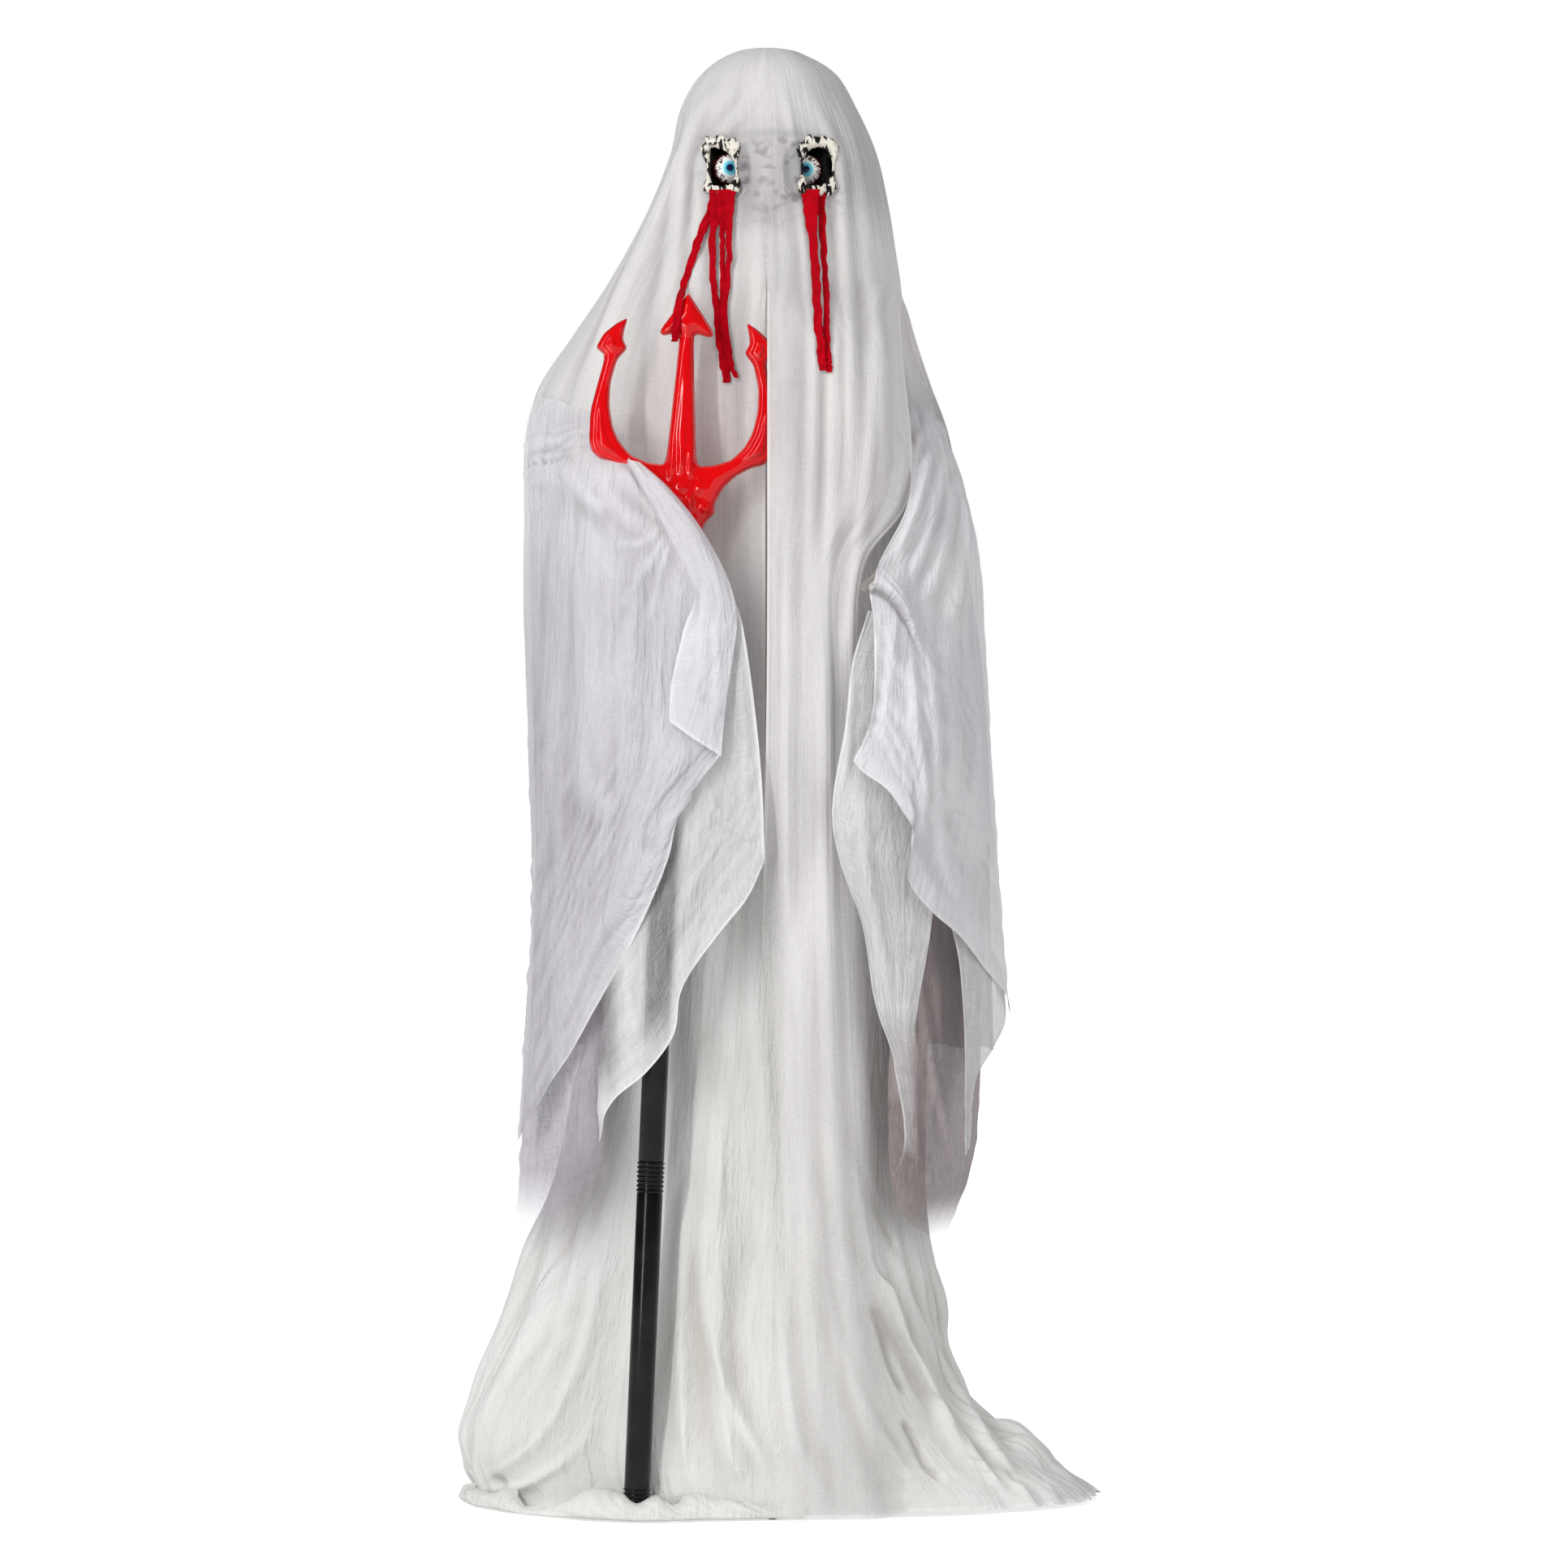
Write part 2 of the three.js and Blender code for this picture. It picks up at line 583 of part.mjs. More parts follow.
// Shoulder bar through the housing, a moulded socket on each end, and an arm with its hand in each
function arms() {
  const bar = tube(SHOULDER_BAR_DIAMETER / 2, SHOULDER_BAR_DIAMETER / 2 - SHOULDER_BAR_WALL,
    -SHOULDER_HALF_SPAN, SHOULDER_HALF_SPAN).rotateY(Math.PI / 2);
  bar.translate(0, SHOULDER_BEHIND_MAST, shoulderHeight);
  const pieces = [piece('shoulder_bar', bar, blackSteel)];
  const grip = poleAt(POLE_LOWER + POLE_MIDDLE + POLE_UPPER - GRIP_BELOW_POLE_TOP);
  const sides = [['right', -1, vec(RIGHT_ELBOW)], ['left', 1, vec(LEFT_ELBOW)]];
  for (const [side, sign, elbowOffset] of sides) {
    const inner = SHOULDER_HALF_SPAN - SHOULDER_SOCKET_LENGTH / 2;
    const outer = SHOULDER_HALF_SPAN + SHOULDER_SOCKET_LENGTH / 2;
    const root = new THREE.Vector3(sign * (outer - ARM_FROM_SOCKET_END), SHOULDER_BEHIND_MAST,
      shoulderHeight);
    const elbow = root.clone().add(elbowOffset);
    const wrist = side === 'right' ? grip.clone().add(vec(RIGHT_WRIST_FROM_GRIP))
      : root.clone().add(vec(LEFT_WRIST));
    const mouth = root.clone().lerp(elbow, ARM_IN_SOCKET);
    const barEnd = new THREE.Vector3(sign * SHOULDER_HALF_SPAN, SHOULDER_BEHIND_MAST, shoulderHeight);
    const body = rod(SHOULDER_SOCKET_DIAMETER / 2,
      new THREE.Vector3(sign * inner, SHOULDER_BEHIND_MAST, shoulderHeight),
      new THREE.Vector3(sign * outer, SHOULDER_BEHIND_MAST, shoulderHeight));
    const barHole = rod(SHOULDER_BAR_DIAMETER / 2 + SEAT,
      barEnd.clone().setX(sign * (SHOULDER_HALF_SPAN - SHOULDER_SOCKET_LENGTH)),
      barEnd.clone().setX(sign * (SHOULDER_HALF_SPAN + SEAT)));
    const armHole = rod(ARM_DIAMETER / 2 + SEAT, mouth, elbow);
    pieces.push(piece(`shoulder_socket_${side}`, cut(body, barHole, armHole), plastics.black));
    const start = mouth.clone().lerp(elbow, 0.01);
    pieces.push(piece(`arm_tube_${side}`, bentTube(ARM_DIAMETER / 2, [start, elbow, wrist]),
      blackSteel));
    pieces.push(side === 'right' ? grippingHand(elbow, wrist, grip) : openHand(elbow, wrist));
  }
  return pieces;
}

// Point on the trident's axis at a height above the floor
function poleAt(height) {
  const foot = vec(TRIDENT_FOOT);
  const tip = vec(TRIDENT_TIP);
  return foot.clone().lerp(tip, (height - foot.z) / (tip.z - foot.z));
}

// Right hand: a palm on the wrist and a closed grip that the pole slides through
function grippingHand(elbow, wrist, held) {
  const along = vec(TRIDENT_TIP).sub(vec(TRIDENT_FOOT)).normalize();
  const low = held.clone().addScaledVector(along, -HAND_WIDTH / 2);
  const high = held.clone().addScaledVector(along, HAND_WIDTH / 2);
  const radius = POLE_DIAMETER / 2 + 2 * RUNNING;
  const grip = rod(radius + GRIP_WALL, low, high);
  const reach = wrist.clone().sub(elbow).normalize();
  const palm = rod(ARM_DIAMETER / 2 + HAND_SOCKET_WALL,
    wrist.clone().addScaledVector(reach, -HAND_SOCKET), held);
  const hole = rod(radius, low.clone().addScaledVector(along, -2 * HAND_WIDTH),
    high.clone().addScaledVector(along, 2 * HAND_WIDTH));
  const wristHole = rod(ARM_DIAMETER / 2 + SEAT, elbow, wrist.clone().addScaledVector(reach, SEAT));
  return piece('hand_right', cut(join(grip, palm), hole, wristHole), plastics.white);
}

// Left hand: a flat palm and four fingers, reaching forward
function openHand(elbow, wrist) {
  const reach = wrist.clone().sub(elbow).normalize();
  const side = new THREE.Vector3(0, 0, 1).cross(reach).normalize();
  const finger = FINGER_DIAMETER / 2;
  const spread = [-1.5, -0.5, 0.5, 1.5].map((step) => step * HAND_WIDTH / 4);
  const knuckle = wrist.clone().addScaledVector(reach, HAND_LENGTH * 0.4);
  const fingers = spread.map((offset) => rod(finger,
    knuckle.clone().addScaledVector(side, offset * 0.8).addScaledVector(reach, -6),
    knuckle.clone().addScaledVector(side, offset).addScaledVector(reach, HAND_LENGTH * 0.6), 6));
  const palm = spread.map((offset) => rod(HAND_THICKNESS * 0.35,
    wrist.clone().addScaledVector(side, offset * 0.6).addScaledVector(reach, -6),
    knuckle.clone().addScaledVector(side, offset * 0.8), 6));
  const cuff = rod(ARM_DIAMETER / 2 + HAND_SOCKET_WALL, wrist.clone().addScaledVector(reach, -HAND_SOCKET),
    wrist.clone().addScaledVector(reach, 6), 12);
  const wristHole = rod(ARM_DIAMETER / 2 + SEAT, elbow, wrist.clone().addScaledVector(reach, SEAT));
  return piece('hand_left', cut(join(cuff, ...palm, ...fingers), wristHole), plastics.white);
}

// Head on the neck shaft: two shells on a plate, black eye cups and bulging eyeballs
function head() {
  const neckRadius = NECK_SHAFT_DIAMETER / 2;
  const outerRadii = [HEAD_WIDTH / 2, HEAD_DEPTH / 2, HEAD_HEIGHT / 2];
  const innerRadii = outerRadii.map((radius) => radius - HEAD_WALL);
  const insideRadii = innerRadii.map((radius) => radius - SEAT);
  const shaft = post(neckRadius, plateTop - PLATE_THICKNESS, neckTop);
  const wheel = gear(GEAR_TEETH, gearRadius, gearFloor, neckRadius + SEAT, Math.PI / GEAR_TEETH);
  const mountFloor = neckTop - HEAD_MOUNT_BELOW_TOP;
  const mountDisc = common(ovoid(insideRadii.map((radius) => radius - SEAT), headCentre),
    box(-HEAD_WIDTH, HEAD_WIDTH, -HEAD_DEPTH, HEAD_DEPTH, mountFloor, mountFloor + HEAD_MOUNT_THICKNESS));
  const collarTop = neckTop - OVERCUT;
  const collar = post(neckRadius + HEAD_MOUNT_WALL, collarTop - HEAD_MOUNT_COLLAR, collarTop);
  const mount = cut(join(mountDisc, collar),
    post(neckRadius + SEAT, collarTop - HEAD_MOUNT_COLLAR - OVERCUT, neckTop + OVERCUT));
  const faceAtEye = headCentre.y
    - outerRadii[1] * Math.sqrt(1 - (EYE_SPACING / 2 / outerRadii[0]) ** 2);
  const eyes = [['right', -1], ['left', 1]].map(([side, sign]) => ({
    side,
    centre: new THREE.Vector3(headCentre.x + sign * EYE_SPACING / 2,
      faceAtEye + EYEBALL_DIAMETER / 2 - EYE_BULGE, eyeHeight),
  }));
  const openings = eyes.map(({ centre }) => ovalBar(EYE_HOLE_WIDTH, EYE_HOLE_HEIGHT, centre,
    HEAD_DEPTH / 3));
  const neckHole = post(neckRadius + NECK_HOLE_CLEAR, headCentre.z - HEAD_HEIGHT / 2 - OVERCUT,
    mountFloor - OVERCUT);
  const shell = cut(ovoid(outerRadii, headCentre), ovoid(innerRadii, headCentre), neckHole);
  const split = headCentre.y + HEAD_SPLIT_BACK;
  const far = 2 * HEAD_HEIGHT;
  const front = cut(common(shell, box(-far, far, -far, split - SEAT / 2, 0, headCentre.z + far)),
    ...openings);
  const back = common(shell, box(-far, far, split + SEAT / 2, far, 0, headCentre.z + far));
  const turning = new THREE.Group();
  turning.add(piece('neck_shaft', shaft, steel), piece('neck_gear', wheel, plastics.white),
    piece('head_mount', mount, plastics.grey), piece('head_shell_front', front, plastics.white),
    piece('head_shell_back', back, plastics.white));
  const ball = EYEBALL_DIAMETER / 2;
  const cupInner = [EYE_HOLE_WIDTH / 2, ball + SEAT, EYE_HOLE_HEIGHT / 2];
  const inside = ovoid(insideRadii, headCentre);
  for (const { side, centre } of eyes) {
    const hollow = new THREE.SphereGeometry(1, 12, 10).scale(...cupInner);
    const outside = new THREE.SphereGeometry(1, 12, 10).scale(...cupInner.map((r) => r + CUP_WALL));
    for (const part of [hollow, outside]) part.translate(centre.x, centre.y, centre.z);
    const mouth = box(centre.x - far, centre.x + far, centre.y - far, centre.y - 2, 0, far + headCentre.z);
    const cup = common(cut(outside, hollow, mouth), inside);
    turning.add(piece(`eye_cup_${side}`, cup, plastics.black));
    const eyeball = piece(`eyeball_${side}`, new THREE.SphereGeometry(ball, 12, 10), plastics.eye);
    eyeball.position.copy(centre);
    turning.add(eyeball);
  }
  return turning;
}

// Battery and control box that clips on the back of the mast
function controls() {
  const group = new THREE.Group();
  group.position.z = housingFloor - BOX_BELOW_HOUSING - BOX_HEIGHT;
  const x = BOX_WIDTH / 2;
  const clipRadius = MAST_DIAMETER / 2 + SEAT;
  const y0 = clipRadius + BOX_BEHIND_MAST;
  const y1 = y0 + BOX_DEPTH;
  const clipFloor = (BOX_HEIGHT - CLIP_HEIGHT) / 2;
  const clip = cut(post(clipRadius + CLIP_WALL, clipFloor, clipFloor + CLIP_HEIGHT),
    post(clipRadius, 0, BOX_HEIGHT), box(-clipRadius * 0.8, clipRadius * 0.8, -x, 0, 0, BOX_HEIGHT));
  const shell = cut(box(-x, x, y0, y1, 0, BOX_HEIGHT),
    box(-x + BOX_WALL, x - BOX_WALL, y0 + BOX_WALL, y1 + OVERCUT, BOX_WALL, BOX_HEIGHT - BOX_WALL));
  const tryX = BUTTON_SPACING / 2;
  const tryHole = post(TRY_DIAMETER / 2 + RUNNING, BOX_HEIGHT - 2 * BOX_WALL, BOX_HEIGHT + OVERCUT, tryX,
    (y0 + y1) / 2);
  const slotReach = SWITCH_WIDTH / 2 + SWITCH_TRAVEL / 2 + RUNNING;
  const slot = box(-tryX - slotReach, -tryX + slotReach, (y0 + y1 - SWITCH_HEIGHT) / 2 - RUNNING,
    (y0 + y1 + SWITCH_HEIGHT) / 2 + RUNNING, BOX_HEIGHT - 2 * BOX_WALL, BOX_HEIGHT + OVERCUT);
  const cellRadius = CELL_DIAMETER / 2;
  const packHalf = CELL_COUNT * cellRadius + 2;
  const packFloor = BOX_WALL + SEAT;
  const back = y0 + BOX_WALL + SEAT;
  const pack = box(-packHalf, packHalf, back, back + cellRadius, packFloor, packFloor + CELL_LENGTH + 6);
  const cells = [];
  for (let cell = 0; cell < CELL_COUNT; cell++) {
    const cellX = (2 * cell + 1 - CELL_COUNT) * cellRadius;
    cells.push(post(cellRadius - SEAT / 2, packFloor + 3, packFloor + 3 + CELL_LENGTH, cellX,
      back + cellRadius + 2, 12));
  }
  const holder = join(pack, ...cells);
  const middle = (y0 + y1) / 2;
  const slider = join(
    box(-tryX - SWITCH_WIDTH / 2 - SWITCH_TRAVEL / 2, -tryX + SWITCH_WIDTH / 2 - SWITCH_TRAVEL / 2,
      middle - SWITCH_HEIGHT / 2, middle + SWITCH_HEIGHT / 2, BOX_HEIGHT - 2 * BOX_WALL,
      BOX_HEIGHT + SWITCH_PROUD),
    box(-tryX - SWITCH_WIDTH, -tryX + SWITCH_WIDTH / 2, middle - SWITCH_HEIGHT, middle + SWITCH_HEIGHT,
      BOX_HEIGHT - 2 * BOX_WALL - RUNNING, BOX_HEIGHT - BOX_WALL - RUNNING));
  const tryButton = join(
    post(TRY_DIAMETER / 2, BOX_HEIGHT - 2 * BOX_WALL, BOX_HEIGHT + TRY_PROUD, tryX, middle),
    post(TRY_DIAMETER / 2 + TRY_FLANGE, BOX_HEIGHT - 2 * BOX_WALL - RUNNING,
      BOX_HEIGHT - BOX_WALL - RUNNING, tryX, middle));
  const cover = box(-x, x, y1 + SEAT, y1 + SEAT + COVER_THICKNESS, 0, BOX_HEIGHT);
  group.add(piece('control_box', cut(join(shell, clip), tryHole, slot), plastics.black),
    piece('battery_holder', holder, plastics.grey), piece('battery_cover', cover, plastics.black),
    piece('mode_switch', slider, plastics.white), piece('try_button', tryButton, plastics.red));
  return group;
}

// Trident: a moulded head on three pole tubes, in its own frame with its foot at the origin
function trident() {
  const group = new THREE.Group();
  const foot = vec(TRIDENT_FOOT);
  const span = vec(TRIDENT_TIP).sub(foot);
  group.position.copy(foot);
  group.rotation.x = -Math.atan2(span.y, span.z);
  group.rotation.y = Math.asin(span.x / span.length());
  const outer = POLE_DIAMETER / 2;
  const inner = outer - POLE_WALL;
  const collar = COLLAR_DIAMETER / 2;
  const spigot = inner - SEAT;
  const spigotInner = spigot - POLE_WALL;
  const lowerTop = POLE_LOWER;
  const middleTop = lowerTop + POLE_MIDDLE;
  const upperTop = middleTop + POLE_UPPER;
  const lower = turned([[0, 0], [collar, 0], [collar, COLLAR_LENGTH], [outer, COLLAR_LENGTH],
    [outer, lowerTop - COLLAR_LENGTH], [collar, lowerTop - COLLAR_LENGTH], [collar, lowerTop],
    [inner, lowerTop], [inner, POLE_WALL], [0, POLE_WALL]]);
  const middle = turned([[spigotInner, lowerTop - SPIGOT_LENGTH], [spigot, lowerTop - SPIGOT_LENGTH],
    [spigot, lowerTop + SEAT], [outer, lowerTop + SEAT], [outer, middleTop - COLLAR_LENGTH],
    [collar, middleTop - COLLAR_LENGTH], [collar, middleTop], [inner, middleTop],
    [inner, lowerTop + SPIGOT_LENGTH], [spigotInner, lowerTop + SEAT],
    [spigotInner, lowerTop - SPIGOT_LENGTH]]);
  const upper = turned([[spigotInner, middleTop - SPIGOT_LENGTH], [spigot, middleTop - SPIGOT_LENGTH],
    [spigot, middleTop + SEAT], [outer, middleTop + SEAT], [outer, upperTop], [outer / 2, upperTop],
    [outer / 2, upperTop + SPIGOT_LENGTH], [outer / 4, upperTop + SPIGOT_LENGTH],
    [outer / 4, upperTop - POLE_WALL], [inner, upperTop - POLE_WALL],
    [inner, middleTop + SPIGOT_LENGTH], [spigotInner, middleTop + SEAT],
    [spigotInner, middleTop - SPIGOT_LENGTH]]);
  group.add(piece('trident_head', tridentHead(upperTop), plastics.red),
    piece('pole_lower', lower, plastics.black), piece('pole_middle', middle, plastics.black),
    piece('pole_upper', upper, plastics.black));
  return group;
}

// Flat moulding with three barbed prongs over a swollen hub; heights are above the hub's foot
function tridentHead(floor) {
  const half = [[17, 0], [22, 35], [28, 60], [34, 73], [44, 83], [43, 94], [52, 113], [66, 128],
    [84, 139], [100, 144], [110, 152], [113.5, 165], [113.5, 201], [106, 235], [98, 269], [110, 278],
    [101, 296], [86, 309], [72, 317], [76, 300], [77, 290], [71, 279], [83, 265], [90, 236], [90, 208],
    [85, 183], [76, 165], [61, 149], [40, 141.5], [21, 140], [18, 154], [9.5, 281], [9.5, 300],
    [28, 296], [33, 299], [31, 306], [6, 342]];
  const shape = new THREE.Shape();
  half.forEach(([x, z], i) => (i === 0 ? shape.moveTo(x, z) : shape.lineTo(x, z)));
  shape.lineTo(0, vec(TRIDENT_TIP).distanceTo(vec(TRIDENT_FOOT)) - floor);
  [...half].reverse().forEach(([x, z]) => shape.lineTo(-x, z));
  shape.closePath();
  const blade = new THREE.ExtrudeGeometry(shape, {
    depth: TRIDENT_THICKNESS - 2 * TRIDENT_BEVEL,
    bevelThickness: TRIDENT_BEVEL,
    bevelSize: TRIDENT_BEVEL / 2,
    bevelOffset: -TRIDENT_BEVEL / 2,
    bevelSegments: 1,
  }).translate(0, 0, TRIDENT_BEVEL - TRIDENT_THICKNESS / 2).rotateX(Math.PI / 2);
  const hub = turned([[0, 0], [17, 0], [HUB_SWELL - 1, 60], [HUB_SWELL, 100], [17, 150], [0, 160]])
    .scale(1.1, 0.8, 1);
  const bore = post(POLE_DIAMETER / 4 + SEAT, -OVERCUT, SPIGOT_LENGTH + 2 * OVERCUT);
  const seatFace = box(-200, 200, -100, 100, -100, SEAT);
  return cut(join(blade, hub), bore, seatFace).translate(0, 0, floor);
}

// Gown: four gores that hang from the housing's top, with armholes, folds and a pooled hem
function gown() {
  const share = (fraction) => fraction * housingTop;
  const lay = CLOTH / 2 + SEAT;
  // Each station: height, right half-width, left half-width, front reach, back reach
  const stations = [
    [housingTop + lay, 46, 46, 34, 34],
    [housingTop + lay, HOUSING_WIDTH / 2 + 36, HOUSING_WIDTH / 2 + 36, HOUSING_DEPTH / 2 + 30,
      HOUSING_DEPTH / 2 + 30],
    [share(0.965), 186, 186, 100, 96],
    [share(0.82), 205, 205, 160, 112],
    [share(0.6), 212, 208, 190, 132],
    [share(0.38), 250, 205, 196, 170],
    [share(0.22), 318, 206, 200, 218],
    [share(0.1), GOWN_RIGHT_HEM - 26, 252, 215, 262],
    [share(0.04), GOWN_RIGHT_HEM - 4, 346, 226, 284],
    [HEM_CLEAR + CLOTH, GOWN_RIGHT_HEM - 22, GOWN_LEFT_HEM, GOWN_FRONT_HEM, GOWN_BACK_HEM],
  ];
  const foot = vec(TRIDENT_FOOT);
  const poleAngle = Math.atan2(foot.x, -foot.y);
  const ring = (station, angle, depth) => {
    const [height, right, left, front, back] = station;
    const notch = POLE_NOTCH * Math.exp(-(((angle - poleAngle) / 0.16) ** 2))
      * THREE.MathUtils.clamp(1 - height / POLE_NOTCH_TOP, 0, 1);
    const wave = 0.5 - 0.5 * Math.cos(angle * GOWN_FOLDS * 4);
    const x = Math.sin(angle) * (angle < 0 || angle > Math.PI ? right : left);
    const y = -Math.cos(angle) * (Math.cos(angle) > 0 ? front : back);
    const inset = 1 - (notch + wave * depth) / Math.hypot(x, y);
    return new THREE.Vector3(x * inset, y * inset, height);
  };
  const socketInner = SHOULDER_HALF_SPAN - SHOULDER_SOCKET_LENGTH / 2 - 8;
  const armhole = box(socketInner, 2 * SHOULDER_HALF_SPAN, -70, 70, shoulderHeight - ARMHOLE_HEIGHT / 2,
    shoulderHeight + 2 * ARMHOLE_HEIGHT);
  const armholes = [armhole, armhole.clone().rotateZ(Math.PI)];
  const across = 16;
  const gores = [
    ['gown_front_right', -Math.PI / 2, 0], ['gown_front_left', 0, Math.PI / 2],
    ['gown_back_left', Math.PI / 2, Math.PI], ['gown_back_right', Math.PI, 1.5 * Math.PI],
  ];
  return gores.map(([name, from, to]) => {
    const grid = stations.map((station, j) => {
      const depth = GOWN_FOLD_DEPTH * (j / (stations.length - 1)) ** 1.2;
      const row = [];
      for (let i = 0; i <= across; i++) {
        row.push(ring(station, from + GOWN_SEAM + (to - from - 2 * GOWN_SEAM) * i / across, depth));
      }
      return row;
    });
    return piece(name, cut(cloth(grid), ...armholes), gauze);
  });
}

// Bell sleeves: a near and a far layer hang from each forearm and open towards the hands
function sleeves() {
  const z = (fraction) => fraction * shoulderHeight;
  const rightNear = [
    [[-309, -40, z(0.993)], [-265, -150, z(0.978)], [-214, -226, z(0.95)], [-178, -259, z(0.946)],
      [-140, -273, z(0.935)], [-100, -280, z(0.902)], [-65, -287, z(0.865)]],
    [[-316, -56, z(0.8)], [-275, -170, z(0.8)], [-222, -240, z(0.8)], [-180, -268, z(0.8)],
      [-145, -282, z(0.8)], [-110, -289, z(0.79)], [-84, -292, z(0.79)]],
    [[-306, -86, z(0.55)], [-280, -170, z(0.56)], [-240, -226, z(0.59)], [-200, -258, z(0.63)],
      [-160, -276, z(0.67)], [-115, -288, z(0.7)], [-72, -292, z(0.73)]],
    [[-312, -120, z(0.339)], [-276, -180, z(0.382)], [-236, -222, z(0.43)], [-196, -250, z(0.49)],
      [-156, -272, z(0.565)], [-112, -286, z(0.636)], [-66, -288, z(0.694)]],
  ];
  const rightFar = [
    [[-305, -36, z(0.991)], [-261, -146, z(0.976)], [-211, -222, z(0.948)], [-177, -255, z(0.944)],
      [-140, -269, z(0.933)], [-100, -276, z(0.9)], [-66, -283, z(0.863)]],
    [[-306, -36, z(0.78)], [-262, -146, z(0.78)], [-205, -222, z(0.78)], [-165, -252, z(0.78)],
      [-120, -270, z(0.78)], [-75, -276, z(0.78)], [-38, -278, z(0.78)]],
    [[-308, -20, z(0.5)], [-268, -140, z(0.5)], [-208, -218, z(0.52)], [-165, -246, z(0.55)],
      [-120, -262, z(0.59)], [-65, -270, z(0.64)], [-15, -272, z(0.68)]],
    [[-325, 10, z(0.235)], [-280, -110, z(0.28)], [-220, -205, z(0.32)], [-170, -246, z(0.36)],
      [-130, -258, z(0.42)], [-80, -262, z(0.49)], [-9, -266, z(0.597)]],
  ];
  const leftNear = [
    [[163, -120, z(1.002)], [185, -70, z(1.004)], [205, -30, z(0.998)], [216, 4, z(0.985)]],
    [[170, -205, z(0.93)], [205, -130, z(0.935)], [232, -70, z(0.94)], [243, 6, z(0.94)]],
    [[115, -289, z(0.842)], [170, -262, z(0.838)], [238, -160, z(0.83)], [262, -20, z(0.83)]],
    [[99, -293, z(0.765)], [168, -274, z(0.73)], [240, -180, z(0.7)], [276, -30, z(0.67)]],
    [[97, -292, z(0.69)], [165, -276, z(0.6)], [235, -200, z(0.52)], [290, -60, z(0.44)]],
  ];
  const leftFar = [
    [[159.6, -118.4, z(1.002)], [181.6, -68.6, z(1.004)], [201.5, -28.5, z(0.998)], [212.5, 4.8, z(0.985)]],
    [[163, -197, z(0.925)], [196, -122, z(0.93)], [220, -60, z(0.932)], [230, 12, z(0.93)]],
    [[106, -279, z(0.835)], [156, -248, z(0.83)], [222, -145, z(0.82)], [244, -6, z(0.82)]],
    [[84, -276, z(0.7)], [138, -254, z(0.66)], [216, -150, z(0.62)], [252, 0, z(0.6)]],
    [[80, -272, z(0.62)], [116, -262, z(0.46)], [158, -236, z(0.33)], [212, -60, z(0.25)]],
  ];
  const hung = (name, rows, depth) => {
    const grid = fold(loft(rows, 12, 8), 3, (v) => depth * v);
    return piece(name, cloth(grid), sleeveGauze);
  };
  return [
    hung('sleeve_right_near', rightNear, SLEEVE_FOLD_DEPTH),
    hung('sleeve_right_far', rightFar, -0.75 * SLEEVE_FOLD_DEPTH),
    hung('sleeve_left_near', leftNear, SLEEVE_FOLD_DEPTH),
    hung('sleeve_left_far', leftFar, -0.75 * SLEEVE_FOLD_DEPTH),
  ];
}

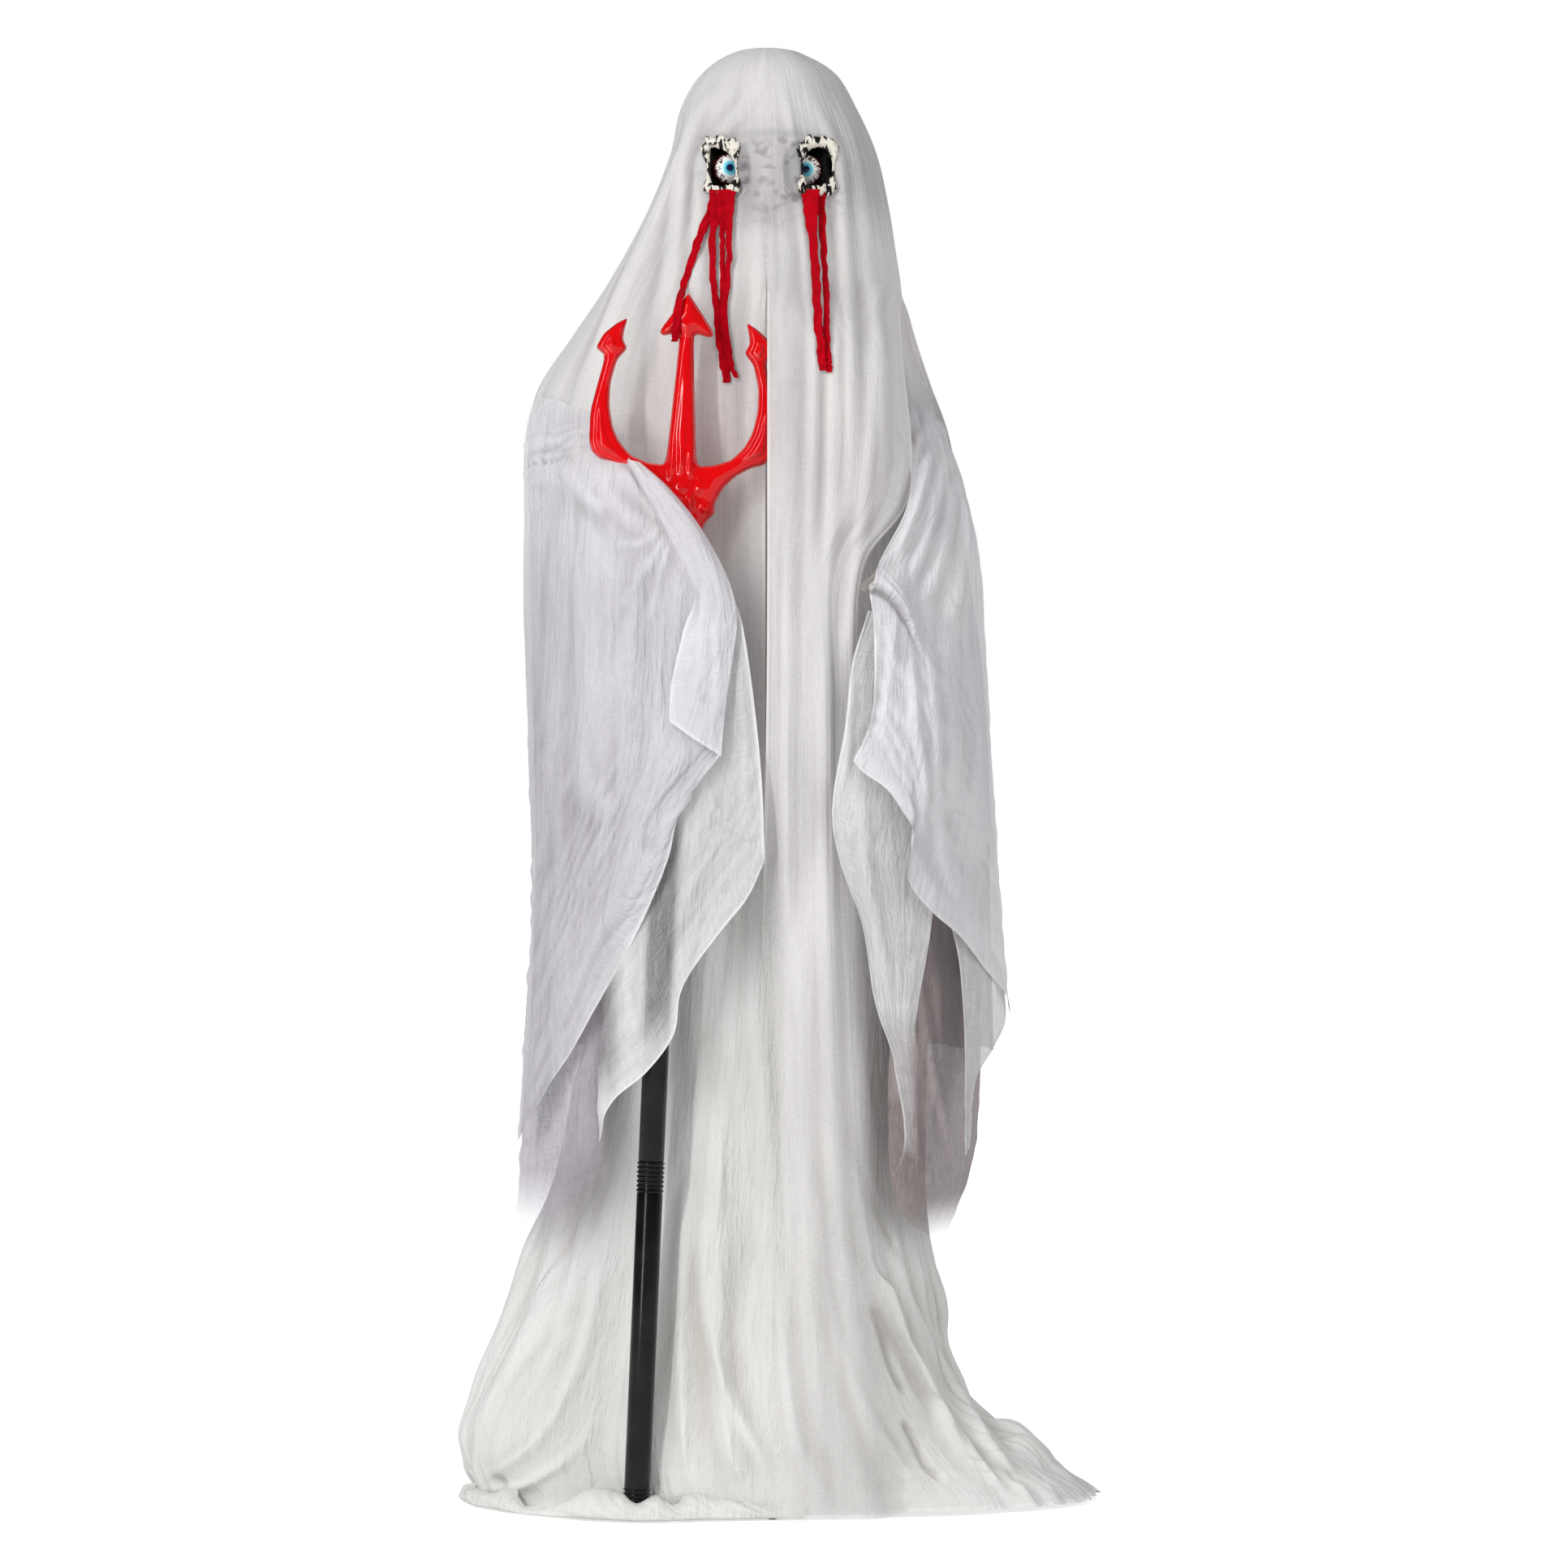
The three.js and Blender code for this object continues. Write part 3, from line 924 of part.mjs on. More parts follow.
// Veil: a hood that turns with the head, and the sheets that hang on below it
function veil() {
  const top = VEIL_SPLIT - VEIL_CUT;
  const fall = (height) => height / 1530 * VEIL_SPLIT;
  const rise = (height) => VEIL_SPLIT + (height - 1530) / 298 * (crownHeight - VEIL_SPLIT);
  // Each station: height, right half-width, left half-width, front reach, back reach
  const stations = [
    [rise(1828), 8, 8, 8, 8], [rise(1820), 48, 46, 52, 50], [rise(1796), 84, 86, 86, 86],
    [rise(1752), 112, 112, 112, 112], [rise(1694), 127, 136, 132, 124],
    [rise(1625), 156, 150, 150, 126], [rise(1572), 186, 157, 176, 124], [rise(1530), 212, 162, 204, 124],
  ];
  const around = 24;
  const ringPoint = ([height, right, left, front, back], angle, depth) => {
    const inset = 1 - depth * (0.5 - 0.5 * Math.cos(6 * angle)) / front;
    const onHead = (height - VEIL_SPLIT) / (crownHeight - VEIL_SPLIT);
    return new THREE.Vector3(
      onHead * headCentre.x + Math.sin(angle) * (Math.sin(angle) < 0 ? right : left) * inset,
      onHead * headCentre.y - Math.cos(angle) * (Math.cos(angle) > 0 ? front : back) * inset, height);
  };
  const rows = stations.map((station, j) => {
    const depth = HOOD_FOLD_DEPTH * j / stations.length;
    return Array.from({ length: around }, (_, i) => ringPoint(station, 2 * Math.PI * i / around, depth));
  });
  const dome = cloth(rows, CLOTH, true);
  const crown = post(10, crownHeight - CLOTH / 2, crownHeight + CLOTH / 2, headCentre.x, headCentre.y);
  const eyeHoles = [-1, 1].map((sign) => ovalBar(EYE_HOLE_WIDTH - 8, EYE_HOLE_HEIGHT - 6,
    new THREE.Vector3(headCentre.x + sign * EYE_SPACING / 2, -HEAD_DEPTH / 2 - 40, eyeHeight), 60));
  const far = 1000;
  const belowCut = box(-far, far, -far, far, top - far, VEIL_SPLIT);
  const aboveCut = box(-far, far, -far, far, top, top + far);
  const hood = piece('veil_hood', cut(join(dome, crown), ...eyeHoles, belowCut), gauze);
  const sheet = (name, rows, across, down, count, depth) => piece(name,
    cut(cloth(fold(loft(rows, across, down), count, (v) => depth * v)), aboveCut), gauze);
  const front = [
    [[-6, -202, top], [50, -202, top], [108, -160, top], [150, -70, top]],
    [[-6, -246, fall(1475)], [50, -246, fall(1475)], [118, -200, fall(1475)], [155, -110, fall(1475)]],
    [[-6, -272, fall(1425)], [60, -270, fall(1425)], [128, -232, fall(1425)], [158, -150, fall(1425)]],
    [[-6, -272, fall(1250)], [60, -272, fall(1250)], [118, -246, fall(1250)], [152, -205, fall(1250)]],
    [[-6, -268, fall(1150)], [40, -268, fall(1150)], [76, -263, fall(1150)], [102, -252, fall(1150)]],
    [[-6, -262, fall(1000)], [40, -262, fall(1000)], [76, -256, fall(1000)], [106, -236, fall(1000)]],
    [[-16, -256, fall(500)], [40, -256, fall(500)], [90, -250, fall(500)], [130, -225, fall(500)]],
    [[-20, -258, HEM_CLEAR + CLOTH], [40, -258, HEM_CLEAR + CLOTH], [100, -254, HEM_CLEAR + CLOTH],
      [150, -236, HEM_CLEAR + CLOTH]],
  ];
  const wing = [
    [[-9, -202, top], [-90, -186, top], [-165, -128, top], [-196, -70, top], [-208, -18, top]],
    [[-9, -210, fall(1470)], [-100, -196, fall(1470)], [-185, -140, fall(1470)],
      [-225, -85, fall(1467)], [-248, -26, fall(1460)]],
    [[-9, -210, fall(1380)], [-105, -200, fall(1385)], [-205, -148, fall(1393)],
      [-258, -90, fall(1395)], [-298, -26, fall(1396)]],
    [[-9, -206, fall(1300)], [-105, -196, fall(1320)], [-212, -150, fall(1335)],
      [-268, -94, fall(1340)], [-306, -24, fall(1346)]],
    [[-9, -204, fall(1210)], [-105, -188, fall(1250)], [-214, -140, fall(1275)],
      [-272, -84, fall(1285)], [-303, -22, fall(1300)]],
  ];
  const back = [
    [[-210, 4, top], [-150, 88, top], [-20, 122, top], [100, 96, top], [159, 4, top]],
    [[-262, 6, fall(1440)], [-175, 112, fall(1440)], [-10, 142, fall(1440)], [120, 116, fall(1440)],
      [185, 6, fall(1440)]],
    [[-306, 34, fall(1340)], [-215, 124, fall(1340)], [0, 156, fall(1340)], [160, 128, fall(1340)],
      [222, 34, fall(1340)]],
    [[-316, 40, fall(1000)], [-230, 150, fall(1000)], [0, 176, fall(1000)], [190, 146, fall(1000)],
      [280, 30, fall(1000)]],
    [[-320, 60, VEIL_BACK_HEM], [-240, 190, VEIL_BACK_HEM], [0, 220, VEIL_BACK_HEM],
      [200, 186, VEIL_BACK_HEM], [286, 50, VEIL_BACK_HEM]],
  ];
  return [
    hood,
    sheet('veil_front', front, 12, 14, 3, VEIL_FRONT_FOLD_DEPTH),
    sheet('veil_wing_right', wing, 12, 6, 3, VEIL_WING_FOLD_DEPTH),
    sheet('veil_back', back, 4 * VEIL_BACK_FOLDS, 8, VEIL_BACK_FOLDS, VEIL_BACK_FOLD_DEPTH),
  ];
}

// Torn red cloth strips that hang from the eyes
function strips() {
  const ribbon = (points, width) => {
    const curve = new THREE.CatmullRomCurve3(points.map(vec), false, 'centripetal');
    const steps = 12;
    const grid = [];
    for (let j = 0; j <= steps; j++) {
      const point = curve.getPoint(j / steps);
      const half = width * THREE.MathUtils.clamp(3 * j / steps - 0.5, 0.3, 1.1 - 0.5 * j / steps) / 2;
      grid.push([-1, 1].map((sign) => point.clone().add(new THREE.Vector3(sign * half, 0, 0))));
    }
    return cloth(grid, STRIP_THICKNESS);
  };
  const root = eyeHeight - EYE_HOLE_HEIGHT / 2;
  const rightEye = headCentre.x - EYE_SPACING / 2;
  const leftEye = headCentre.x + EYE_SPACING / 2;
  const start = root + SEAT + STRIP_THICKNESS;
  const rightMain = ribbon([[rightEye, -98, start], [rightEye - 3, -128, start + 4], [-62, -160, root + 6],
    [-70, -190, root - 70], [-67, -222, root - 145], [-58, -226, root - 230]], STRIP_WIDTH);
  const rightSide = ribbon([[rightEye, -99, start], [rightEye - 3, -129, start + 4], [-66, -161, root + 5],
    [-92, -204, root - 70], [-106, -252, root - 105], [-113, -264, root - 135],
    [-120, -266, root - 188]], STRIP_WIDTH / 2);
  const leftMain = ribbon([[leftEye, -98, start], [leftEye + 1, -128, start + 3], [46, -158, root + 5],
    [54, -200, root - 70], [58, -262, root - 150], [63, -282, root - 226]], STRIP_WIDTH);
  return [
    piece('strip_right', join(rightMain, rightSide), redCloth),
    piece('strip_left', leftMain, redCloth),
  ];
}

export default figure;
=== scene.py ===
import math
from contextlib import contextmanager

import bmesh
import bpy
import numpy as np
from mathutils import Matrix, Vector
from mathutils.bvhtree import BVHTree
from mathutils.geometry import delaunay_2d_cdt


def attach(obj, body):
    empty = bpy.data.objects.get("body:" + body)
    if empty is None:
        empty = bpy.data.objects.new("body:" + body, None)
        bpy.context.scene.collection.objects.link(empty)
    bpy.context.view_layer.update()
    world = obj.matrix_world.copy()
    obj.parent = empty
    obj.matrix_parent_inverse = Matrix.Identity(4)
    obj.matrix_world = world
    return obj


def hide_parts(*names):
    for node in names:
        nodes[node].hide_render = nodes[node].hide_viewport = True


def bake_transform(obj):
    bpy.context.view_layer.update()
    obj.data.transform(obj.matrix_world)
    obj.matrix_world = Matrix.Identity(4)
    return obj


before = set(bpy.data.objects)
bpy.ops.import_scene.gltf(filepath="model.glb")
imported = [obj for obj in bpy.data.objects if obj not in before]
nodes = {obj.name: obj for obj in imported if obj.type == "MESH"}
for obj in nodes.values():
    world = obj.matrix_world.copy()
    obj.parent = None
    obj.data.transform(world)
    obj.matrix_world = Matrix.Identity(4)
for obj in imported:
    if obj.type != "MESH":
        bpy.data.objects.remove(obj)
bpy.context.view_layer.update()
scene = bpy.context.scene
scene.view_settings.view_transform = "Standard"
MM = 0.001

# Camera
# It stands level, seven metres in front of the figure and at half its height, so that the whole
# figure from the crown to the train fits a square picture.
lens = bpy.data.cameras.new("camera")
lens.lens = 127.43
lens.sensor_width = 36
camera = bpy.data.objects.new("camera", lens)
camera.location = (0.0143, -7.0, 0.9)
camera.rotation_euler = (math.radians(90), 0, 0)
scene.collection.objects.link(camera)
scene.camera = camera


# Studio
# A pale matt floor in a white hall, lit by the white room, a broad key lamp from the front left and a
# weaker one from the right. Of the lamps only the tall strip shows in gloss, as on the trident.
def new_material(name):
    look = bpy.data.materials.new(name)
    look.use_nodes = True
    return look, look.node_tree


def add(tree, kind, inputs=(), **settings):
    """A shader node with its settings, and its inputs linked to sockets or set to values."""
    made = tree.nodes.new("ShaderNode" + kind)
    for name, value in settings.items():
        setattr(made, name, value)
    for key, value in dict(inputs).items():
        if isinstance(value, bpy.types.NodeSocket):
            tree.links.new(value, made.inputs[key])
        else:
            made.inputs[key].default_value = value
    return made


def colour(red, green, blue):
    """Linear colour from the 0 to 255 that a paint chart gives."""
    shares = [channel / 255 for channel in (red, green, blue)]
    return (*[s / 12.92 if s < 0.04045 else ((s + 0.055) / 1.055) ** 2.4 for s in shares], 1)


def link(name, data):
    made = bpy.data.objects.new(name, data)
    scene.collection.objects.link(made)
    return made


world = bpy.data.worlds.new("hall")
scene.world = world
world.use_nodes = True
air = world.node_tree
path = add(air, "LightPath")
seen = add(air, "Math", {0: path.outputs["Is Camera Ray"], 1: path.outputs["Is Transmission Ray"]},
           operation="ADD", use_clamp=True)
room = add(air, "Background", {"Color": colour(250, 250, 252), "Strength": 0.54})
white = add(air, "Background", {"Color": (1, 1, 1, 1), "Strength": 1.0})
dim = add(air, "Background", {"Color": (1, 1, 1, 1), "Strength": 0.07})
room = add(air, "MixShader", {0: path.outputs["Is Glossy Ray"], 1: room.outputs[0], 2: dim.outputs[0]})
both = add(air, "MixShader", {0: seen.outputs[0], 1: room.outputs[0], 2: white.outputs[0]})
air.links.new(both.outputs[0], air.nodes["World Output"].inputs["Surface"])


def lamp(name, kind, power, place, aim, size=(1, 1), spread=0, mirrored=False):
    data = bpy.data.lights.new(name, kind)
    data.energy = power
    if kind == "SUN":
        data.angle = math.radians(spread)
    else:
        data.shape = "RECTANGLE"
        data.size, data.size_y = size
    made = link(name, data)
    made.location = place
    made.rotation_euler = (Vector(aim) - Vector(place)).to_track_quat("-Z", "Y").to_euler()
    made.visible_glossy = mirrored


lamp("key_lamp", "SUN", 1.2, (-2.7, -3.8, 4.2), (0, 0, 0.9), spread=30)
lamp("fill_lamp", "SUN", 0.74, (3.4, -3.4, 2.4), (0, 0, 0.9), spread=50)
lamp("strip_lamp", "AREA", 38, (-1.7, -2.7, 1.5), (-0.1, -0.2, 1.2), size=(0.1, 2.9), mirrored=True)

floor_mesh = bpy.data.meshes.new("floor")
floor_mesh.from_pydata([(-30, -30, 0), (30, -30, 0), (30, 60, 0), (-30, 60, 0)], [], [(0, 1, 2, 3)])
floor = link("floor", floor_mesh)
floor_look, tree = new_material("pale_floor")
tree.nodes["Principled BSDF"].inputs["Base Color"].default_value = colour(236, 236, 236)
tree.nodes["Principled BSDF"].inputs["Roughness"].default_value = 0.9
path = add(tree, "LightPath")
glow = add(tree, "Emission", {"Color": (1, 1, 1, 1), "Strength": 0.6})
none = add(tree, "Emission", {"Color": (0, 0, 0, 1), "Strength": 0})
own = add(tree, "MixShader", {0: path.outputs["Is Camera Ray"], 1: none.outputs[0], 2: glow.outputs[0]})
lit = add(tree, "AddShader", {0: tree.nodes["Principled BSDF"].outputs[0], 1: own.outputs[0]})
tree.links.new(lit.outputs[0], tree.nodes["Material Output"].inputs["Surface"])
floor_mesh.materials.append(floor_look)


# Stand and mast
# A moulded hub, four painted tube legs with rubber caps, and a mast of three painted steel tubes with
# sprung steel buttons in their joints. All of it is pushed together by hand.
def moulded(name, tone, gloss, grain=1100, depth=0.25, metal=0.0, streak=(1, 1, 1), coat=0.0, shine=0.5):
    """Moulded or painted surface: fine grain, and slow drifts of tone and gloss."""
    look, tree = new_material(name)
    place = add(tree, "TexCoord").outputs["Object"]
    drawn = add(tree, "Mapping", {"Vector": place, "Scale": streak}).outputs[0]
    fine = add(tree, "TexNoise", {"Vector": drawn, "Scale": grain, "Detail": 3}).outputs[0]
    slow = add(tree, "TexNoise", {"Vector": place, "Scale": 26, "Detail": 4}).outputs[0]
    dusty = [0.93 * channel + 0.006 for channel in tone[:3]]
    drift = add(tree, "MapRange", {"Value": slow, "From Min": 0.35, "From Max": 0.75}).outputs[0]
    tint = add(tree, "Mix", {0: drift, 6: tone, 7: (*dusty, 1)}, data_type="RGBA").outputs[2]
    rough = add(tree, "MapRange", {"Value": slow, "From Min": 0.3, "From Max": 0.7,
                                   "To Min": gloss * 0.85, "To Max": min(gloss * 1.2, 1)}).outputs[0]
    bump = add(tree, "Bump", {"Height": fine, "Strength": depth, "Distance": 0.0004}).outputs[0]
    shell = tree.nodes["Principled BSDF"]
    shell.inputs["Metallic"].default_value = metal
    shell.inputs["Coat Weight"].default_value = coat
    shell.inputs["Specular IOR Level"].default_value = shine
    for socket, source in (("Base Color", tint), ("Roughness", rough), ("Normal", bump)):
        tree.links.new(source, shell.inputs[socket])
    return look


def dress(look, *names):
    for name in names:
        for place in nodes[name].material_slots:
            place.material = look


black_plastic = moulded("black_plastic", colour(22, 22, 23), 0.42)
painted_steel = moulded("painted_steel", colour(30, 31, 33), 0.38, grain=500, metal=0.3, coat=0.2)
rubber = moulded("rubber", colour(26, 26, 26), 0.85, grain=700, depth=0.5)
bright_steel = moulded("bright_steel", colour(176, 178, 182), 0.3, streak=(1, 1, 0.05), metal=1.0)
sides = ("front", "left", "back", "right")
dress(black_plastic, "base_hub")
dress(painted_steel, *[f"base_leg_{side}" for side in sides], "mast_lower", "mast_middle", "mast_upper")
dress(rubber, *[f"foot_cap_{side}" for side in sides])
dress(bright_steel, "snap_button_lower", "snap_button_upper")

# Chest housing and drive
# Two black moulded halves hold the mast top, a small speaker, and under a steel plate the gearmotor
# whose brass pinion turns the white wheel on the neck shaft.
grey_plastic = moulded("grey_plastic", colour(92, 94, 98), 0.55)
white_plastic = moulded("white_plastic", colour(228, 226, 220), 0.5)
brass = moulded("brass", colour(190, 158, 84), 0.3, metal=1.0)
dress(black_plastic, "chest_housing_front", "chest_housing_back")
dress(grey_plastic, "speaker", "gearmotor", "head_mount", "battery_holder")
dress(bright_steel, "gear_plate", "neck_shaft")
dress(brass, "motor_pinion")
dress(white_plastic, "neck_bush", "neck_gear", "mode_switch", "hand_right", "hand_left")

# Arms and control box
# The painted shoulder bar carries a black socket and a bent tube arm on each side, with a white moulded
# hand. The black box that clips on the mast holds three cells behind a lift-off cover.
red_plastic = moulded("red_button", colour(196, 16, 22), 0.35)
dress(painted_steel, "shoulder_bar", "arm_tube_right", "arm_tube_left")
dress(black_plastic, "shoulder_socket_right", "shoulder_socket_left", "control_box", "battery_cover")
dress(red_plastic, "try_button")


# Head mask
# A thin blown shell with a plain brow, nose and mouth and two tall eye openings, white with grey blots round
# the eyes and nose that are partly brushed paint and partly painted shade. It is screwed to the mount plate
# and shows only faintly through the veil.
def noise(x, y, seed):
    """Smooth random waves between about -1 and 1, one unit apart."""
    rng = np.random.default_rng(seed)
    turn = rng.random((256, 256)) * 2 * np.pi
    x0, y0 = np.floor(x).astype(int), np.floor(y).astype(int)
    fx, fy = x - x0, y - y0
    ease = [f * f * f * (f * (6 * f - 15) + 10) for f in (fx, fy)]

    def corner(i, j):
        angle = turn[(x0 + i) % 256, (y0 + j) % 256]
        return np.cos(angle) * (fx - i) + np.sin(angle) * (fy - j)

    near = corner(0, 0) * (1 - ease[0]) + corner(1, 0) * ease[0]
    far = corner(0, 1) * (1 - ease[0]) + corner(1, 1) * ease[0]
    return 1.5 * (near * (1 - ease[1]) + far * ease[1])


def noise_along(t, seed):
    """Smooth random wave along one line."""
    return noise(t, 0 * t + 0.5, seed)


def grid_faces(rows, columns, closed=False):
    """Faces of a net of points; they look outwards where columns run to the right and rows down."""
    index = np.arange(rows * columns).reshape(rows, columns)
    if closed:
        index = np.concatenate([index, index[:, :1]], axis=1)
    corners = [index[:-1, :-1], index[1:, :-1], index[1:, 1:], index[:-1, 1:]]
    return np.stack(corners, axis=-1).reshape(-1, 4)


def mesh_piece(name, points, faces, look, uv=None, values=None):
    """A smooth piece from points in millimetres, with a cloth map in metres and named values if given."""
    mesh = bpy.data.meshes.new(name)
    mesh.from_pydata((np.asarray(points) * MM).tolist(), [], [list(face) for face in faces])
    mesh.shade_smooth()
    if uv is not None:
        corner = np.zeros(len(mesh.loops), int)
        mesh.loops.foreach_get("vertex_index", corner)
        mesh.uv_layers.new(name="weave").data.foreach_set("uv", uv[corner].ravel())
    for key, numbers in (values or {}).items():
        mesh.attributes.new(key, "FLOAT", "POINT").data.foreach_set("value", numbers.astype(np.float32))
    mesh.materials.append(look)
    return link(name, mesh)


@contextmanager
def edited(piece):
    """The piece's mesh, open for edits that are written back at the end."""
    bm = bmesh.new()
    bm.from_mesh(piece.data)
    yield bm
    bm.to_mesh(piece.data)
    bm.free()


def give_wall(piece, thickness):
    """Thickens a piece inwards from its faces; the thickness is in millimetres."""
    wall = piece.modifiers.new("wall", "SOLIDIFY")
    wall.thickness = thickness * MM
    wall.offset = -1
    return wall


def edge_distance(points, outline):
    """Distance from each flat point to a closed outline, negative inside it."""
    step = np.roll(outline, -1, axis=0) - outline
    best = np.full(len(points), 1e9)
    inside = np.zeros(len(points), bool)
    for (x, y), (dx, dy) in zip(outline, step):
        share = ((points[:, 0] - x) * dx + (points[:, 1] - y) * dy) / max(dx * dx + dy * dy, 1e-12)
        share = np.clip(share, 0, 1)
        best = np.minimum(best, np.hypot(points[:, 0] - x - share * dx, points[:, 1] - y - share * dy))
        crosses = (y > points[:, 1]) != (y + dy > points[:, 1])
        with np.errstate(divide="ignore", invalid="ignore"):
            inside ^= crosses & (points[:, 0] < x + (points[:, 1] - y) / dy * dx)
    return np.where(inside, -best, best)


def cut_hole(points, faces, outline, reach):
    """Opens the front of a net along an outline in x and z: points near it move onto it."""
    flat = points[:, [0, 2]]
    front = np.nonzero((points[:, 1] < -40) & (edge_distance(flat, outline) < 3 * reach))[0]
    away = edge_distance(flat[front], outline)
    slope = np.zeros((len(front), 2))
    for axis in (0, 1):
        shift = np.zeros(2)
        shift[axis] = 0.2
        slope[:, axis] = (edge_distance(flat[front] + shift, outline)
                          - edge_distance(flat[front] - shift, outline)) / 0.4
    close = np.abs(away) < reach
    points[front[close], 0] -= away[close] * slope[close, 0]
    points[front[close], 2] -= away[close] * slope[close, 1]
    depth = np.full(len(points), 1.0)
    depth[front] = np.where(close, 0, away)
    return faces[~((depth[faces] <= 0).all(axis=1))]


# Centre of the head, and its half sizes across, from front to back, and upwards
HEAD = np.array([-7.0, -10.0, 1672.0])
HEAD_WIDE, HEAD_DEEP, HEAD_TALL = 94.2, 106.7, 152.2
EYES = {"right": np.array([-55.0, -100.8, 1663.0]), "left": np.array([41.0, -100.8, 1663.0])}


def mask_shell():
    tall, around = 150, 220
    polar = np.linspace(0.012, np.pi - 0.09, tall)[:, None]
    angle = np.linspace(0, 2 * np.pi, around, endpoint=False)[None, :]
    out = np.sin(polar)
    low = np.maximum(0, -np.cos(polar))
    width = 1 - 0.34 * low * low
    x = np.sin(angle) * out * HEAD_WIDE * width
    y = -np.cos(angle) * out * HEAD_DEEP * width
    z = np.cos(polar) * HEAD_TALL + 0 * angle
    face = np.clip(-y / 100, 0, 1) ** 0.5
    brow = 2.6 * np.exp(-((z - 26) / 11) ** 2 - (np.abs(x) / 62) ** 4)
    nose = 7 * np.exp(-(x / (9 + np.clip(-z, 0, 60) * 0.12)) ** 2 - ((z + 26) / 26) ** 2)
    mouth = -3.5 * np.exp(-(x / 25) ** 2 - ((z + 78) / 8) ** 2)
    cheeks = -4 * np.exp(-((np.abs(x) - 55) / 20) ** 2 - ((z + 62) / 26) ** 2)
    y = y - face * (brow + nose + mouth + cheeks)
    points = np.stack([x, y, z], axis=-1).reshape(-1, 3) + HEAD
    faces = grid_faces(tall, around, closed=True)
    turn = np.linspace(0, 2 * np.pi, 40, endpoint=False)
    for centre in EYES.values():
        reach = np.where(np.sign(centre[0] - HEAD[0]) * np.cos(turn) > 0, 39, 28)
        outline = np.stack([centre[0] + reach * np.cos(turn), centre[2] + 39 * np.sin(turn)], axis=-1)
        faces = cut_hole(points, faces, outline, 1.7)
    crown = len(points)
    points = np.concatenate([points, [HEAD + [0, 0, HEAD_TALL]]])
    cap = [[crown, i, (i + 1) % around] for i in range(around)]
    return points, [*faces.tolist(), *cap]


mask_look, tree = new_material("painted_mask")
place = add(tree, "TexCoord").outputs["Object"]
# Grey blots near the middle of the face: partly brushed paint, partly painted shade of its hollows.
blot = add(tree, "TexNoise", {"Vector": place, "Scale": 20, "Detail": 5, "Roughness": 0.6}).outputs[0]
blot = add(tree, "MapRange", {"Value": blot, "From Min": 0.4, "From Max": 0.58}).outputs[0]
middle = add(tree, "Mapping", {"Vector": place, "Location": (0.007, 0, -1.655), "Scale": (1, 0, 0.8)})
spread = add(tree, "VectorMath", {0: middle.outputs[0]}, operation="LENGTH").outputs["Value"]
spread = add(tree, "MapRange", {"Value": spread, "From Min": 0.03, "From Max": 0.16,
                                "To Min": 1.0, "To Max": 0.0}).outputs[0]
blot = add(tree, "Math", {0: blot, 1: spread}, operation="MULTIPLY").outputs[0]
tint = add(tree, "Mix", {0: blot, 6: colour(214, 212, 208), 7: colour(70, 68, 72)}, data_type="RGBA")
pitted = add(tree, "TexNoise", {"Vector": place, "Scale": 420, "Detail": 3}).outputs[0]
bump = add(tree, "Bump", {"Height": pitted, "Strength": 0.3, "Distance": 0.0006}).outputs[0]
shell = tree.nodes["Principled BSDF"]
shell.inputs["Roughness"].default_value = 0.6
tree.links.new(tint.outputs[2], shell.inputs["Base Color"])
tree.links.new(bump, shell.inputs["Normal"])

points, faces = mask_shell()
mask = mesh_piece("head_mask", points, faces, mask_look)
with edited(mask) as bm:
    bmesh.ops.delete(bm, geom=[v for v in bm.verts if not v.link_faces], context="VERTS")
give_wall(mask, 2.6)
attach(mask, "head")
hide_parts("head_shell_front", "head_shell_back")

# Eyes
# Glossy black cups behind the openings, and in each a bulging white ball that is printed with a pale
# blue iris, a dark pupil, short red-brown veins and a dark rim, under a clear lacquer.
EYEBALL_RADIUS = 21.9
EYE_BULGE = 0.045
CUP_DEPTH = 30
TIP_EDGE = 0.0006
cup_black = moulded("cup_black", colour(7, 7, 8), 0.3, grain=300, depth=0.12)
for side, centre in EYES.items():
    outer_side = math.copysign(1, centre[0] - HEAD[0])
    tall, around = 26, 72
    polar = np.linspace(0.02, 0.5 * np.pi, tall)[:, None]
    angle = np.linspace(0, 2 * np.pi, around, endpoint=False)[None, :]
    wide = np.where(np.cos(angle) * outer_side > 0, 41, 30)
    bowl = [np.sin(polar) * np.cos(angle) * wide, CUP_DEPTH * np.cos(polar) + 0 * angle,
            np.sin(polar) * np.sin(angle) * 41]
    bowl = np.stack(bowl, axis=-1)
    across = bowl[..., 0] + centre[0] - HEAD[0]
    rim = HEAD[1] - HEAD_DEEP * np.sqrt(np.maximum(1 - (across / HEAD_WIDE) ** 2, 0.02)) + 3.4
    bowl[..., 1] += rim - centre[1]
    points = (bowl + centre).reshape(-1, 3)
    cup = mesh_piece(f"eye_bowl_{side}", points, grid_faces(tall, around, closed=True), cup_black)
    with edited(cup) as bm:
        tip = [e for e in bm.edges if e.is_boundary and e.calc_length() < TIP_EDGE]
        bmesh.ops.holes_fill(bm, edges=tip, sides=0)
        bmesh.ops.recalc_face_normals(bm, faces=bm.faces)
        if sum(face.normal.y * face.calc_area() for face in bm.faces) > 0:
            bmesh.ops.reverse_faces(bm, faces=bm.faces)
    give_wall(cup, 2)
    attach(cup, "head")
    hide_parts(f"eye_cup_{side}")


